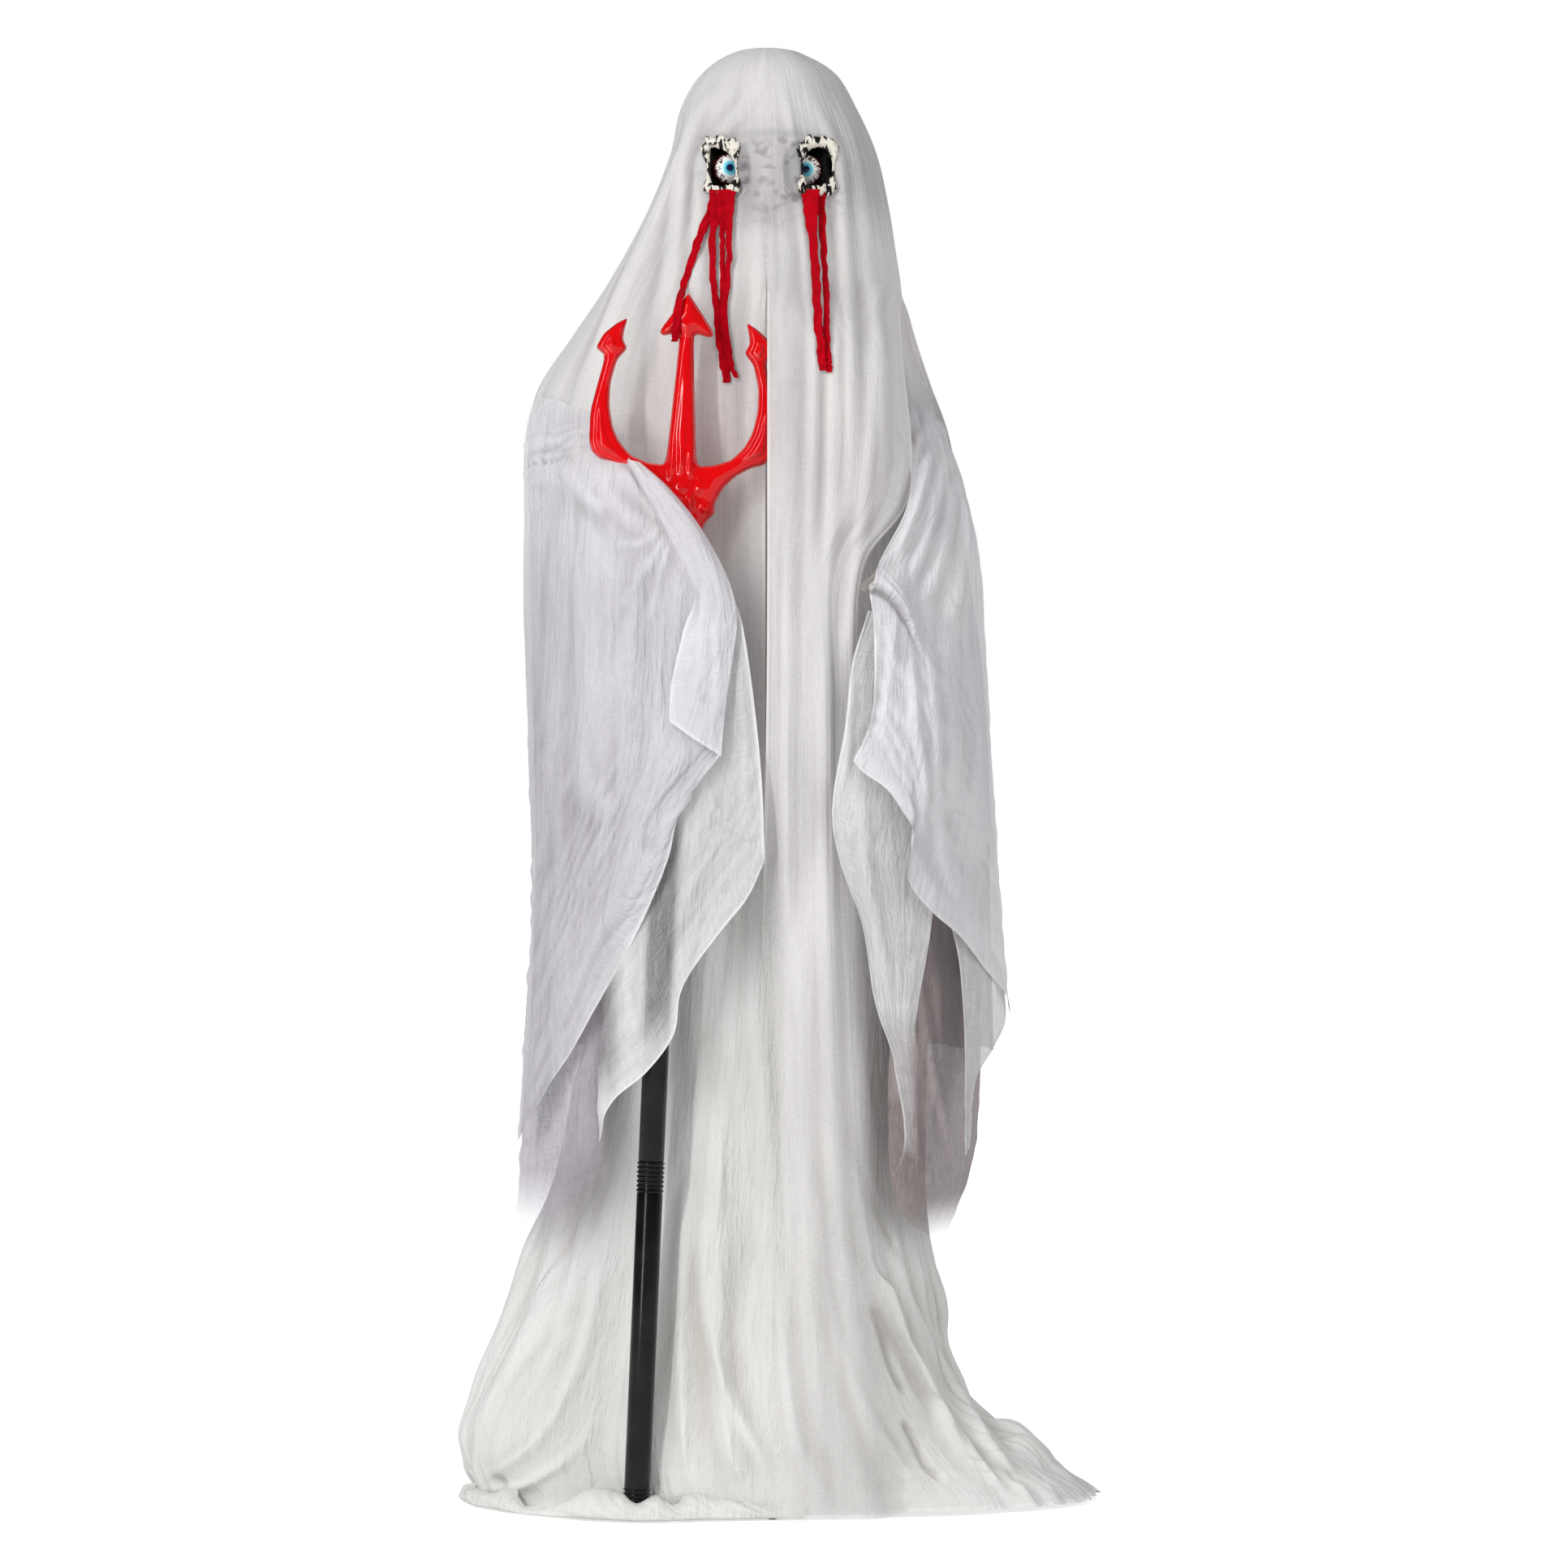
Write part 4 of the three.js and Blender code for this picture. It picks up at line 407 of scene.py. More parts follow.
def eye_material(name, centre, gaze):
    """The print is laid out by distance and angle about the line of sight."""
    look, tree = new_material(name)
    place = add(tree, "TexCoord").outputs["Object"]
    spot = [-(c + g) * MM for c, g in zip(centre, (gaze[0], 0, gaze[1]))]
    local = add(tree, "Mapping", {"Vector": place, "Location": (spot[0], 0, spot[2]), "Scale": (1, 0, 1)})
    wander = add(tree, "TexNoise", {"Vector": place, "Scale": 260, "Detail": 2}).outputs[0]
    radius = add(tree, "VectorMath", {0: local.outputs[0]}, operation="LENGTH").outputs["Value"]
    wobble = add(tree, "MapRange", {"Value": wander, "To Min": -0.0014, "To Max": 0.0014}).outputs[0]
    radius = add(tree, "Math", {0: radius, 1: wobble}, operation="ADD").outputs[0]
    far_out = add(tree, "Math", {0: radius, 1: 40.0}, operation="MULTIPLY").outputs[0]
    rings = add(tree, "ValToRGB", {0: far_out})
    stops = [(0.0, (8, 14, 40)), (0.165, (14, 30, 70)), (0.185, (60, 150, 180)), (0.25, (96, 190, 214)),
             (0.33, (128, 210, 222)), (0.365, (196, 232, 236)), (0.43, (246, 247, 246)),
             (0.63, (246, 242, 238)), (0.70, (222, 204, 196)), (0.74, (38, 14, 14)), (0.88, (14, 9, 9))]
    ramp = rings.color_ramp
    while len(ramp.elements) < len(stops):
        ramp.elements.new(0.5)
    for element, (at, tone) in zip(ramp.elements, stops):
        element.position = at
        element.color = colour(*tone)
    parts = add(tree, "SeparateXYZ", {0: local.outputs[0]})
    angle = add(tree, "Math", {0: parts.outputs[2], 1: parts.outputs[0]}, operation="ARCTAN2").outputs[0]
    polar = add(tree, "CombineXYZ", {0: angle, 1: add(tree, "Math", {0: radius, 1: 34.0},
                                                      operation="MULTIPLY").outputs[0]})
    veins = add(tree, "TexNoise", {"Vector": polar.outputs[0], "Scale": 5.6, "Detail": 3,
                                   "Roughness": 0.65, "Distortion": 0.5}).outputs[0]
    veins = add(tree, "MapRange", {"Value": veins, "From Min": 0.51, "From Max": 0.55}).outputs[0]
    rim = add(tree, "MapRange", {"Value": radius, "From Min": 0.0105, "From Max": 0.0125}).outputs[0]
    veins = add(tree, "Math", {0: veins, 1: rim}, operation="MULTIPLY").outputs[0]
    tint = add(tree, "Mix", {0: veins, 6: rings.outputs[0], 7: colour(66, 16, 16)}, data_type="RGBA")
    ball = tree.nodes["Principled BSDF"]
    ball.inputs["Roughness"].default_value = 0.22
    ball.inputs["Specular IOR Level"].default_value = 0.3
    ball.inputs["Coat Weight"].default_value = 0.3
    ball.inputs["Coat Roughness"].default_value = 0.04
    tree.links.new(tint.outputs[2], ball.inputs["Base Color"])
    tree.links.new(add(tree, "Bump", {"Height": veins, "Strength": 0.25, "Distance": 0.0005}).outputs[0],
                   ball.inputs["Normal"])
    return look


for side, centre in EYES.items():
    tall, around = 64, 96
    polar = np.linspace(0, np.pi, tall)[1:-1, None]
    angle = np.linspace(0, 2 * np.pi, around, endpoint=False)[None, :]
    bulge = 1 + EYE_BULGE * np.exp(-(polar / 0.42) ** 2)
    ring = [np.sin(polar) * np.cos(angle), -np.cos(polar) + 0 * angle, np.sin(polar) * np.sin(angle)]
    ball = np.stack(ring, axis=-1) * EYEBALL_RADIUS * bulge[..., None]
    poles = EYEBALL_RADIUS * np.array([[0, -(1 + EYE_BULGE), 0], [0, 1, 0]])
    points = np.concatenate([ball.reshape(-1, 3), poles]) + centre
    faces = grid_faces(tall - 2, around, closed=True).tolist()
    last = len(points) - 3 - around + 1
    faces += [[len(points) - 2, i, (i + 1) % around] for i in range(around)]
    faces += [[len(points) - 1, last + (i + 1) % around, last + i] for i in range(around)]
    gaze = (2.4, 0.6) if side == "right" else (0.6, -1.2)
    eyeball = mesh_piece(f"eye_{side}", points, faces, eye_material(f"eye_print_{side}", centre, gaze))
    with edited(eyeball) as bm:
        bmesh.ops.recalc_face_normals(bm, faces=bm.faces)
    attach(eyeball, "head")
    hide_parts(f"eyeball_{side}")

# Trident head
# Blow-moulded in glossy red plastic: three barbed prongs with rolled rims, a fluted foot on the middle
# one, and a swollen hub with plain raised lumps. It plugs on the top of the pole.
TRIDENT_FOOT = np.array([-167, -212, 0.85])
TRIDENT_TIP = np.array([-102, -245, 1497.0])
HUB_FOOT = 1149.0
NET_PITCH, ROW_PITCH = 1.9, 1.65
# One half of the outline from the hub's foot to the middle prong's tip, in the trident's own frame
PRONGS = [(17, -5), (22, 35), (28, 60), (34, 73), (44, 83), (43, 94), (52, 113), (66, 128), (84, 139),
          (100, 144), (110, 152), (113.5, 165), (113.5, 201), (106, 235), (98, 269), (110, 278), (101, 296),
          (86, 309), (72, 317), (76, 300), (77, 290), (71, 279), (83, 265), (90, 236), (90, 208), (85, 183),
          (76, 165), (61, 149), (40, 141.5), (21, 140), (18, 154), (9.5, 281), (9.5, 300), (28, 296),
          (33, 299), (31, 306), (6, 342), (0, 350)]
span = TRIDENT_TIP - TRIDENT_FOOT
lean = Matrix.Rotation(-math.atan2(span[1], span[2]), 3, "X")
lean = np.array(lean @ Matrix.Rotation(math.asin(span[0] / np.linalg.norm(span)), 3, "Y"))


def on_trident(points):
    """From the trident's own frame, foot at the origin and pole up, to where it stands."""
    return np.asarray(points) @ lean.T + TRIDENT_FOOT


def rounded(outline, passes=2, share=0.15):
    """Closed outline with its corners cut back a little each pass."""
    for _ in range(passes):
        ahead = np.roll(outline, -1, axis=0)
        outline = np.stack([outline * (1 - share) + ahead * share, outline * share + ahead * (1 - share)],
                           axis=1).reshape(-1, 2)
    return outline


def evenly(outline, pitch):
    """Closed outline with points at an even pitch."""
    loop = np.concatenate([outline, outline[:1]])
    along = np.concatenate([[0], np.cumsum(np.hypot(*np.diff(loop, axis=0).T))])
    at = np.linspace(0, along[-1], int(along[-1] / pitch), endpoint=False)
    return np.stack([np.interp(at, along, loop[:, axis]) for axis in (0, 1)], axis=-1)


def trident_thickness(x, z, depth):
    """Half the thickness of the moulding at a depth inside its outline."""
    edge = np.clip(depth / 7.5, 0, 1)
    blade = 10.2 * np.sqrt(np.maximum(1 - (1 - edge) ** 2, 0))
    blade += 3.2 * np.clip((depth - 5) / 9, 0, 1)
    side = np.clip((np.abs(x) - 50) / 20, 0, 1)
    blade -= side * 2.2 * np.exp(-((depth - 9.5) / 3.2) ** 2)
    middle = np.exp(-(x / 17) ** 4) * np.clip((z - 150) / 25, 0, 1) * np.clip((296 - z) / 20, 0, 1)
    blade += middle * 1.5 * np.exp(-((depth - 5.2) / 1.6) ** 2)
    flute = np.exp(-((z - 142) / 20) ** 2) * np.exp(-(x / 20) ** 4)
    blade += flute * (4.2 + 2.4 * np.cos(x * 2 * np.pi / 11.5))
    ridge = np.clip((z - 296) / 12, 0, 1) * np.clip(1 - np.abs(x) / 16, 0, 1)
    blade += 2.0 * ridge * np.clip(depth / 6, 0, 1)
    reach = np.interp(z, [-10, 0, 60, 100, 150, 160], [17, 17, 24, 25, 17, 0])
    hub = 0.82 * np.sqrt(np.maximum(reach ** 2 - (x / 1.12) ** 2, 0))
    thick = np.maximum(blade, 0.5 * (blade + hub) + 0.5 * np.sqrt((blade - hub) ** 2 + 9) - 0.8)
    lumps = [(-9, 103, 7, 5, 3.4), (13, 96, 3.2, 10, 3.2), (-2, 84, 4.5, 6, 2.8), (17, 72, 4.5, 4.5, 3.2),
             (6, 66, 4, 6, 2.2), (-13, 78, 5, 8, 2.6), (4, 112, 5, 4, 2.4), (-20, 116, 6, 4, 2.2),
             (24, 112, 6, 5, 2.4), (-6, 52, 6, 5, 2.2), (9, 45, 4, 5, 2.0), (32, 88, 6, 5, 2.6),
             (-30, 92, 6, 5, 2.4)]
    for x0, z0, wide, tall, high in lumps:
        thick = thick + 1.7 * high * np.exp(-((x - x0) / wide) ** 2 - ((z - z0) / tall) ** 2) * (depth > 0)
    return thick * np.sqrt(np.clip(depth / 2.2, 0, 1))


half = np.array(PRONGS, float)
outline = np.concatenate([half, half[-2::-1] * [-1, 1]])
outline = evenly(rounded(outline), NET_PITCH)
low, high = outline.min(axis=0), outline.max(axis=0)
gx, gz = np.meshgrid(np.arange(low[0], high[0], NET_PITCH), np.arange(low[1], high[1], ROW_PITCH))
gx[1::2] += NET_PITCH / 2
field = np.stack([gx.ravel(), gz.ravel()], axis=-1)
field = field[edge_distance(field, outline) < -1.5]
ahead = np.roll(outline, -1, axis=0) - np.roll(outline, 1, axis=0)
inward = np.stack([ahead[:, 1], -ahead[:, 0]], axis=-1) / np.hypot(*ahead.T)[:, None]
for direction in (1, -1):
    ring = outline + inward * 0.55 * direction
    if (edge_distance(ring, outline) < 0).mean() > 0.8:
        break
ring = ring[edge_distance(ring, outline) < -0.3]
flat = np.concatenate([outline, ring, field])
count = len(outline)
edges = [(i, (i + 1) % count) for i in range(count)]
flat, _, faces, _, _, _ = delaunay_2d_cdt([Vector(p) for p in flat], edges, [], 1, 1e-5)
flat = np.array([tuple(p) for p in flat])
depth = -edge_distance(flat, outline)
depth[depth < 0.05] = 0
thick = trident_thickness(flat[:, 0], flat[:, 1], depth)
front = np.stack([flat[:, 0], -thick, flat[:, 1]], axis=-1)
back = np.stack([flat[:, 0], thick, flat[:, 1]], axis=-1)
faces = [list(face) for face in faces]
total = len(front)
two_sided = faces + [[index + total for index in face[::-1]] for face in faces]
points = np.concatenate([front, back]) + [0, 0, HUB_FOOT]

red_look, tree = new_material("glossy_red")
place = add(tree, "TexCoord").outputs["Object"]
slow = add(tree, "TexNoise", {"Vector": place, "Scale": 14, "Detail": 3}).outputs[0]
swirl = add(tree, "TexNoise", {"Vector": place, "Scale": 60, "Detail": 2}).outputs[0]
tint = add(tree, "Mix", {0: slow, 6: colour(214, 3, 9), 7: colour(192, 1, 6)}, data_type="RGBA")
rough = add(tree, "MapRange", {"Value": swirl, "To Min": 0.2, "To Max": 0.3}).outputs[0]
bump = add(tree, "Bump", {"Height": swirl, "Strength": 0.06, "Distance": 0.004}).outputs[0]
shell = tree.nodes["Principled BSDF"]
shell.inputs["Specular IOR Level"].default_value = 0.02
shell.inputs["Coat Weight"].default_value = 1.0
shell.inputs["Coat Roughness"].default_value = 0.04
for socket, source in (("Base Color", tint.outputs[2]), ("Roughness", rough), ("Normal", bump)):
    tree.links.new(source, shell.inputs[socket])

trident = mesh_piece("trident_prongs", on_trident(points), two_sided, red_look)
with edited(trident) as bm:
    bmesh.ops.remove_doubles(bm, verts=bm.verts, dist=0.02 * MM)
    bmesh.ops.recalc_face_normals(bm, faces=bm.faces)
    bmesh.ops.smooth_vert(bm, verts=[v for v in bm.verts if not v.is_boundary], factor=0.3,
                          use_axis_x=True, use_axis_y=True, use_axis_z=True)
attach(trident, "frame")
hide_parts("trident_head")


# Trident pole
# Three black plastic tubes that push into each other. Each joint and the foot have a collar of seven
# rounded ribs, moulded in one with the tube.
def lathe(profile, sides=64):
    """Closed turned solid from a profile of radius and height, first and last point on the axis."""
    turn = np.linspace(0, 2 * np.pi, sides, endpoint=False)
    rings = [[r * np.cos(turn), r * np.sin(turn), np.full(sides, z)] for r, z in profile[1:-1]]
    points = np.stack([np.stack(ring, axis=-1) for ring in rings]).reshape(-1, 3)
    faces = grid_faces(len(rings), sides, closed=True).tolist()
    ends = [[0, 0, profile[0][1]], [0, 0, profile[-1][1]]]
    last = (len(rings) - 1) * sides
    top, foot = len(points) + 1, len(points)
    faces += [[foot, i, (i + 1) % sides] for i in range(sides)]
    faces += [[top, last + (i + 1) % sides, last + i] for i in range(sides)]
    return np.concatenate([points, ends]), faces


def rib_stack():
    """Node group: a stack of round rings, one above the other, round the pole's own axis."""
    group = bpy.data.node_groups.new("rib_stack", "GeometryNodeTree")
    group.interface.new_socket("Geometry", in_out="INPUT", socket_type="NodeSocketGeometry")
    wanted = (("Rib count", "Int"), ("Pitch", "Float"), ("Radius", "Float"), ("Rib radius", "Float"),
              ("Foot height", "Float"), ("Material", "Material"))
    for name, kind in wanted:
        group.interface.new_socket(name, in_out="INPUT", socket_type="NodeSocket" + kind)
    group.interface.new_socket("Geometry", in_out="OUTPUT", socket_type="NodeSocketGeometry")

    def make(kind, inputs=(), **settings):
        made = group.nodes.new(kind)
        for name, value in settings.items():
            setattr(made, name, value)
        for key, value in dict(inputs).items():
            if isinstance(value, bpy.types.NodeSocket):
                group.links.new(value, made.inputs[key])
            else:
                made.inputs[key].default_value = value
        return made

    given = make("NodeGroupInput").outputs
    start = make("ShaderNodeCombineXYZ", {"Z": given["Foot height"]})
    step = make("ShaderNodeCombineXYZ", {"Z": given["Pitch"]})
    line = make("GeometryNodeMeshLine", {"Count": given["Rib count"], "Start Location": start.outputs[0],
                                         "Offset": step.outputs[0]})
    ring = make("GeometryNodeCurvePrimitiveCircle", {"Resolution": 64, "Radius": given["Radius"]})
    bead = make("GeometryNodeCurvePrimitiveCircle", {"Resolution": 10, "Radius": given["Rib radius"]})
    rib = make("GeometryNodeCurveToMesh", {"Curve": ring.outputs[0], "Profile Curve": bead.outputs[0]})
    ribs = make("GeometryNodeInstanceOnPoints", {"Points": line.outputs[0], "Instance": rib.outputs[0]})
    real = make("GeometryNodeRealizeInstances", {"Geometry": ribs.outputs[0]})
    round_ribs = make("GeometryNodeSetShadeSmooth", {"Geometry": real.outputs[0]})
    looked = make("GeometryNodeSetMaterial", {"Geometry": round_ribs.outputs[0],
                                              "Material": given["Material"]})
    make("NodeGroupOutput", {"Geometry": looked.outputs[0]})
    return group


def grown(group, settings):
    """Plain mesh that a node group makes with these inputs."""
    holder = link("grown", bpy.data.meshes.new("grown"))
    modifier = holder.modifiers.new("grown", "NODES")
    modifier.node_group = group
    sockets = {item.name: item.identifier for item in group.interface.items_tree if item.in_out == "INPUT"}
    for name, value in settings.items():
        modifier[sockets[name]] = value
    bpy.context.view_layer.update()
    ready = holder.evaluated_get(bpy.context.evaluated_depsgraph_get())
    mesh = bpy.data.meshes.new_from_object(ready)
    bpy.data.objects.remove(holder)
    return mesh


pole_black = moulded("pole_black", colour(9, 9, 9), 0.2, grain=600, depth=0.2, shine=0.3)
ribbing = rib_stack()
TUBE_RADIUS, COLLAR_RADIUS, BEVEL = 15.8, 15.2, 0.8
RIB_COUNT, RIB_PITCH, RIB_RADIUS = 7, 5.6, 1.9
# Each section: its foot and top, and the heights at which its collars begin
POLE_SECTIONS = {
    "lower": (0, 439, [1.5, 401.5]),
    "middle": (439.3, 813, [775.5]),
    "upper": (813.3, 1149, []),
}
for name, (foot, top, collars) in POLE_SECTIONS.items():
    profile = [(0, foot), (15, foot), (TUBE_RADIUS, foot + BEVEL)]
    for collar in collars:
        if collar > foot + 5:
            profile += [(15.9, collar - 3), (COLLAR_RADIUS, collar - 1)]
        profile += [(COLLAR_RADIUS, collar + 36), (15.9, collar + 38)]
    profile = [point for point in profile if point[1] < top - BEVEL]
    profile += [(TUBE_RADIUS, top - BEVEL), (15, top), (0, top)]
    points, faces = lathe(profile)
    pole = mesh_piece(f"pole_tube_{name}", on_trident(points), faces, pole_black)
    with edited(pole) as bm:
        for collar in collars:
            ribs = grown(ribbing, {"Rib count": RIB_COUNT, "Pitch": RIB_PITCH * MM, "Radius": 15.0 * MM,
                                   "Rib radius": RIB_RADIUS * MM, "Foot height": (collar + 1.7) * MM,
                                   "Material": pole_black})
            ribs.transform(Matrix.Translation(Vector(TRIDENT_FOOT * MM)) @ Matrix(lean.tolist()).to_4x4())
            bm.from_mesh(ribs)
            bpy.data.meshes.remove(ribs)
        bmesh.ops.recalc_face_normals(bm, faces=bm.faces)
    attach(pole, "frame")
    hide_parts(f"pole_{name}")

# Gown
# Four gores of white polyester gauze, sewn down the front, the back and the sides. The gown hangs from
# the top of the chest housing, spreads in soft folds, and lies on the floor in a train on the left.
def spline(knots, share):
    """Smooth curve through the knots of the first axis, at shares of the way along it."""
    knots = np.asarray(knots, float)
    last = len(knots) - 1
    ends = np.concatenate([[2 * knots[0] - knots[1]], knots, [2 * knots[-1] - knots[-2]]])
    gap = np.maximum(np.linalg.norm(np.diff(ends, axis=0), axis=-1, keepdims=True), 1e-3) ** 0.5
    at = np.clip(np.asarray(share) * last, 0, last - 1e-9)
    part = at.astype(int)
    w = (at - part).reshape(-1, *[1] * (knots.ndim - 1))
    p0, p1, p2, p3 = (ends[part + k] for k in range(4))
    d0, d1, d2 = (gap[part + k] for k in range(3))
    leave = ((p1 - p0) / d0 - (p2 - p0) / (d0 + d1) + (p2 - p1) / d1) * d1
    arrive = ((p2 - p1) / d1 - (p3 - p1) / (d1 + d2) + (p3 - p2) / d2) * d1
    return ((2 * w**3 - 3 * w**2 + 1) * p1 + (w**3 - 2 * w**2 + w) * leave
            + (3 * w**2 - 2 * w**3) * p2 + (w**3 - w**2) * arrive)


def loft(rows, across, down):
    """Net through rows of points: across and down are shares of the way, one for each column and row."""
    return spline(np.stack([spline(row, across) for row in rows]), down)


def facing(net):
    """Outward direction at each point of a net whose rows run down and columns to the right."""
    right = np.gradient(net, axis=1)
    under = np.gradient(net, axis=0)
    out = np.cross(under, right)
    return out / np.maximum(np.linalg.norm(out, axis=-1, keepdims=True), 1e-9)


def pleat(x, y, seed, sharp=0.05):
    """Hanging folds from 0 in a crease to about 1 on a rounded ridge."""
    wave = noise(x, y, seed)
    return np.clip(1.55 * (np.sqrt(wave * wave + sharp * sharp) - sharp), 0, 1.25)


def ease(value, low, high):
    """0 below low, 1 above high, and a smooth rise between."""
    t = np.clip((value - low) / (high - low), 0, 1)
    return t * t * (3 - 2 * t)


def fold_line(net, path, width, rise, taper=0.2):
    """Height of a soft fold that follows a path of x and z over the front, fading at both of its ends."""
    path = spline(path, np.linspace(0, 1, 24))
    flat = net[..., [0, 2]].reshape(-1, 2)
    best = np.full(len(flat), 1e9)
    along = np.zeros(len(flat))
    for k in range(23):
        step = path[k + 1] - path[k]
        share = np.clip((flat - path[k]) @ step / (step @ step), 0, 1)
        away = np.hypot(*(flat - path[k] - share[:, None] * step).T)
        along = np.where(away < best, (k + share) / 23, along)
        best = np.minimum(best, away)
    height = rise * np.exp(-(best / width) ** 2) * ease(along, 0, taper) * (1 - ease(along, 1 - taper, 1))
    return height.reshape(net.shape[:2]) * (net[..., 1] < 0)


def creases(relief, reach=6, deep=3.0):
    """1 in the creases of a net's relief and 0 on its ridges, judged over a reach of rows and columns."""
    mean = relief
    for axis in (0, 1):
        wide = np.pad(mean, [(reach, reach) if k == axis else (0, 0) for k in (0, 1)], mode="edge")
        total = np.cumsum(np.insert(wide, 0, 0, axis=axis), axis=axis)
        size = 2 * reach + 1
        mean = (np.take(total, np.arange(size, total.shape[axis]), axis)
                - np.take(total, np.arange(0, total.shape[axis] - size), axis)) / size
    return np.clip((mean - relief) / deep, 0, 1)


def weave_map(net):
    """Cloth coordinates in metres: mean length across, and length down each column."""
    wide = np.linalg.norm(np.diff(net, axis=1), axis=-1).mean(axis=0)
    tall = np.linalg.norm(np.diff(net, axis=0), axis=-1).mean(axis=1)
    u = np.concatenate([[0], np.cumsum(wide)])[None, :] + 0 * net[..., 0]
    v = np.concatenate([[0], np.cumsum(tall)])[:, None] + 0 * net[..., 0]
    return np.stack([u, -v], axis=-1) * MM


def gauze(name, tone, shade, see_through, thread=1.0, crinkle=1.0, glow=0.3, crease_shade=colour(138, 132, 132)):
    """Crumpled polyester gauze: slubby threads both ways, creases that run down the cloth, and light
    that comes through where it is single. Hems are double and worn places are bare. Shade is painted in:
    darker in the hollows of the crinkle and the creases of the folds, and grey where the painted shade value
    says."""
    look, tree = new_material(name)
    place = add(tree, "TexCoord").outputs["UV"]
    hem = add(tree, "Attribute", attribute_name="hem").outputs["Fac"]
    crease_shade_at = add(tree, "Attribute", attribute_name="crease").outputs["Fac"]
    bare = add(tree, "Attribute", attribute_name="bare").outputs["Fac"]
    painted_shade_at = add(tree, "Attribute", attribute_name="painted_shade").outputs["Fac"]
    warp = add(tree, "Mapping", {"Vector": place, "Scale": (1, 0.045, 1)}).outputs[0]
    weft = add(tree, "Mapping", {"Vector": place, "Scale": (0.05, 1, 1)}).outputs[0]
    long = add(tree, "Mapping", {"Vector": place, "Scale": (1, 0.16, 1)}).outputs[0]
    slanted = add(tree, "Mapping", {"Vector": place, "Rotation": (0, 0, 0.55),
                                    "Scale": (1, 0.2, 1)}).outputs[0]
    down = add(tree, "TexNoise", {"Vector": warp, "Scale": 900, "Detail": 2}).outputs[0]
    over = add(tree, "TexNoise", {"Vector": weft, "Scale": 820, "Detail": 2}).outputs[0]
    crease = add(tree, "TexNoise", {"Vector": long, "Scale": 62, "Detail": 5, "Roughness": 0.62,
                                    "Distortion": 0.35}).outputs[0]
    cross = add(tree, "TexNoise", {"Vector": slanted, "Scale": 95, "Detail": 4, "Roughness": 0.6,
                                   "Distortion": 0.6}).outputs[0]
    cloudy = add(tree, "TexNoise", {"Vector": place, "Scale": 5.5, "Detail": 4}).outputs[0]
    threads = add(tree, "Math", {0: down, 1: over}, operation="ADD").outputs[0]
    folds = add(tree, "Math", {0: crease, 1: cross}, operation="ADD").outputs[0]
    fine = add(tree, "Bump", {"Height": threads, "Strength": 0.35 * thread, "Distance": 0.0012}).outputs[0]
    bump = add(tree, "Bump", {"Height": folds, "Normal": fine, "Strength": 0.5 * crinkle,
                              "Distance": 0.006}).outputs[0]
    patch = add(tree, "MapRange", {"Value": cloudy, "From Min": 0.35, "From Max": 0.65}).outputs[0]
    # Painted shade: the cloth turns towards the shade colour in the hollows of its crinkle.
    valley_shade = add(tree, "MapRange", {"Value": folds, "From Min": 0.7, "From Max": 1.3,
                                  "To Min": 0.5, "To Max": 0.0}).outputs[0]
    patch = add(tree, "Math", {0: patch, 1: valley_shade}, operation="ADD", use_clamp=True).outputs[0]
    tint = add(tree, "Mix", {0: patch, 6: tone, 7: shade}, data_type="RGBA").outputs[2]
    # Painted shade: the creases of the folds are darkened towards the crease colour.
    shaded = add(tree, "Math", {0: crease_shade_at, 1: 0.55}, operation="MULTIPLY").outputs[0]
    tint = add(tree, "Mix", {0: shaded, 6: tint, 7: crease_shade}, data_type="RGBA",
               blend_type="MULTIPLY").outputs[2]
    # Painted shade: the places given by the painted shade value are greyed.
    tint = add(tree, "Mix", {0: painted_shade_at, 6: tint, 7: colour(176, 171, 180)}, data_type="RGBA",
               blend_type="MULTIPLY").outputs[2]
    double = add(tree, "Math", {0: hem, 1: 0.3}, operation="MULTIPLY").outputs[0]
    tint = add(tree, "Mix", {0: double, 6: tint, 7: colour(245, 243, 240)}, data_type="RGBA").outputs[2]
    front = tree.nodes["Principled BSDF"]
    front.inputs["Roughness"].default_value = 0.86
    front.inputs["Specular IOR Level"].default_value = 0.25
    front.inputs["Sheen Weight"].default_value = 0.12
    tree.links.new(tint, front.inputs["Base Color"])
    tree.links.new(bump, front.inputs["Normal"])
    through = add(tree, "BsdfTranslucent", {"Color": tint, "Normal": bump})
    cloth = add(tree, "MixShader", {0: glow, 1: front.outputs[0], 2: through.outputs[0]})
    gaps = add(tree, "MapRange", {"Value": threads, "From Min": 0.75, "From Max": 1.25,
                                  "To Min": see_through * 1.7, "To Max": see_through * 0.3}).outputs[0]
    thin = add(tree, "MapRange", {"Value": cloudy, "From Min": 0.3, "From Max": 0.7,
                                  "To Min": 0.7, "To Max": 1.3}).outputs[0]
    gaps = add(tree, "Math", {0: gaps, 1: thin}, operation="MULTIPLY").outputs[0]
    single = add(tree, "Math", {0: 1.0, 1: hem}, operation="SUBTRACT").outputs[0]
    gaps = add(tree, "Math", {0: gaps, 1: single}, operation="MULTIPLY").outputs[0]
    gaps = add(tree, "Math", {0: gaps, 1: bare}, operation="ADD", use_clamp=True).outputs[0]
    clear = add(tree, "BsdfTransparent", {"Color": (1, 1, 1, 1)})
    mixed = add(tree, "MixShader", {0: gaps, 1: cloth.outputs[0], 2: clear.outputs[0]})
    tree.links.new(mixed.outputs[0], tree.nodes["Material Output"].inputs["Surface"])
    return look


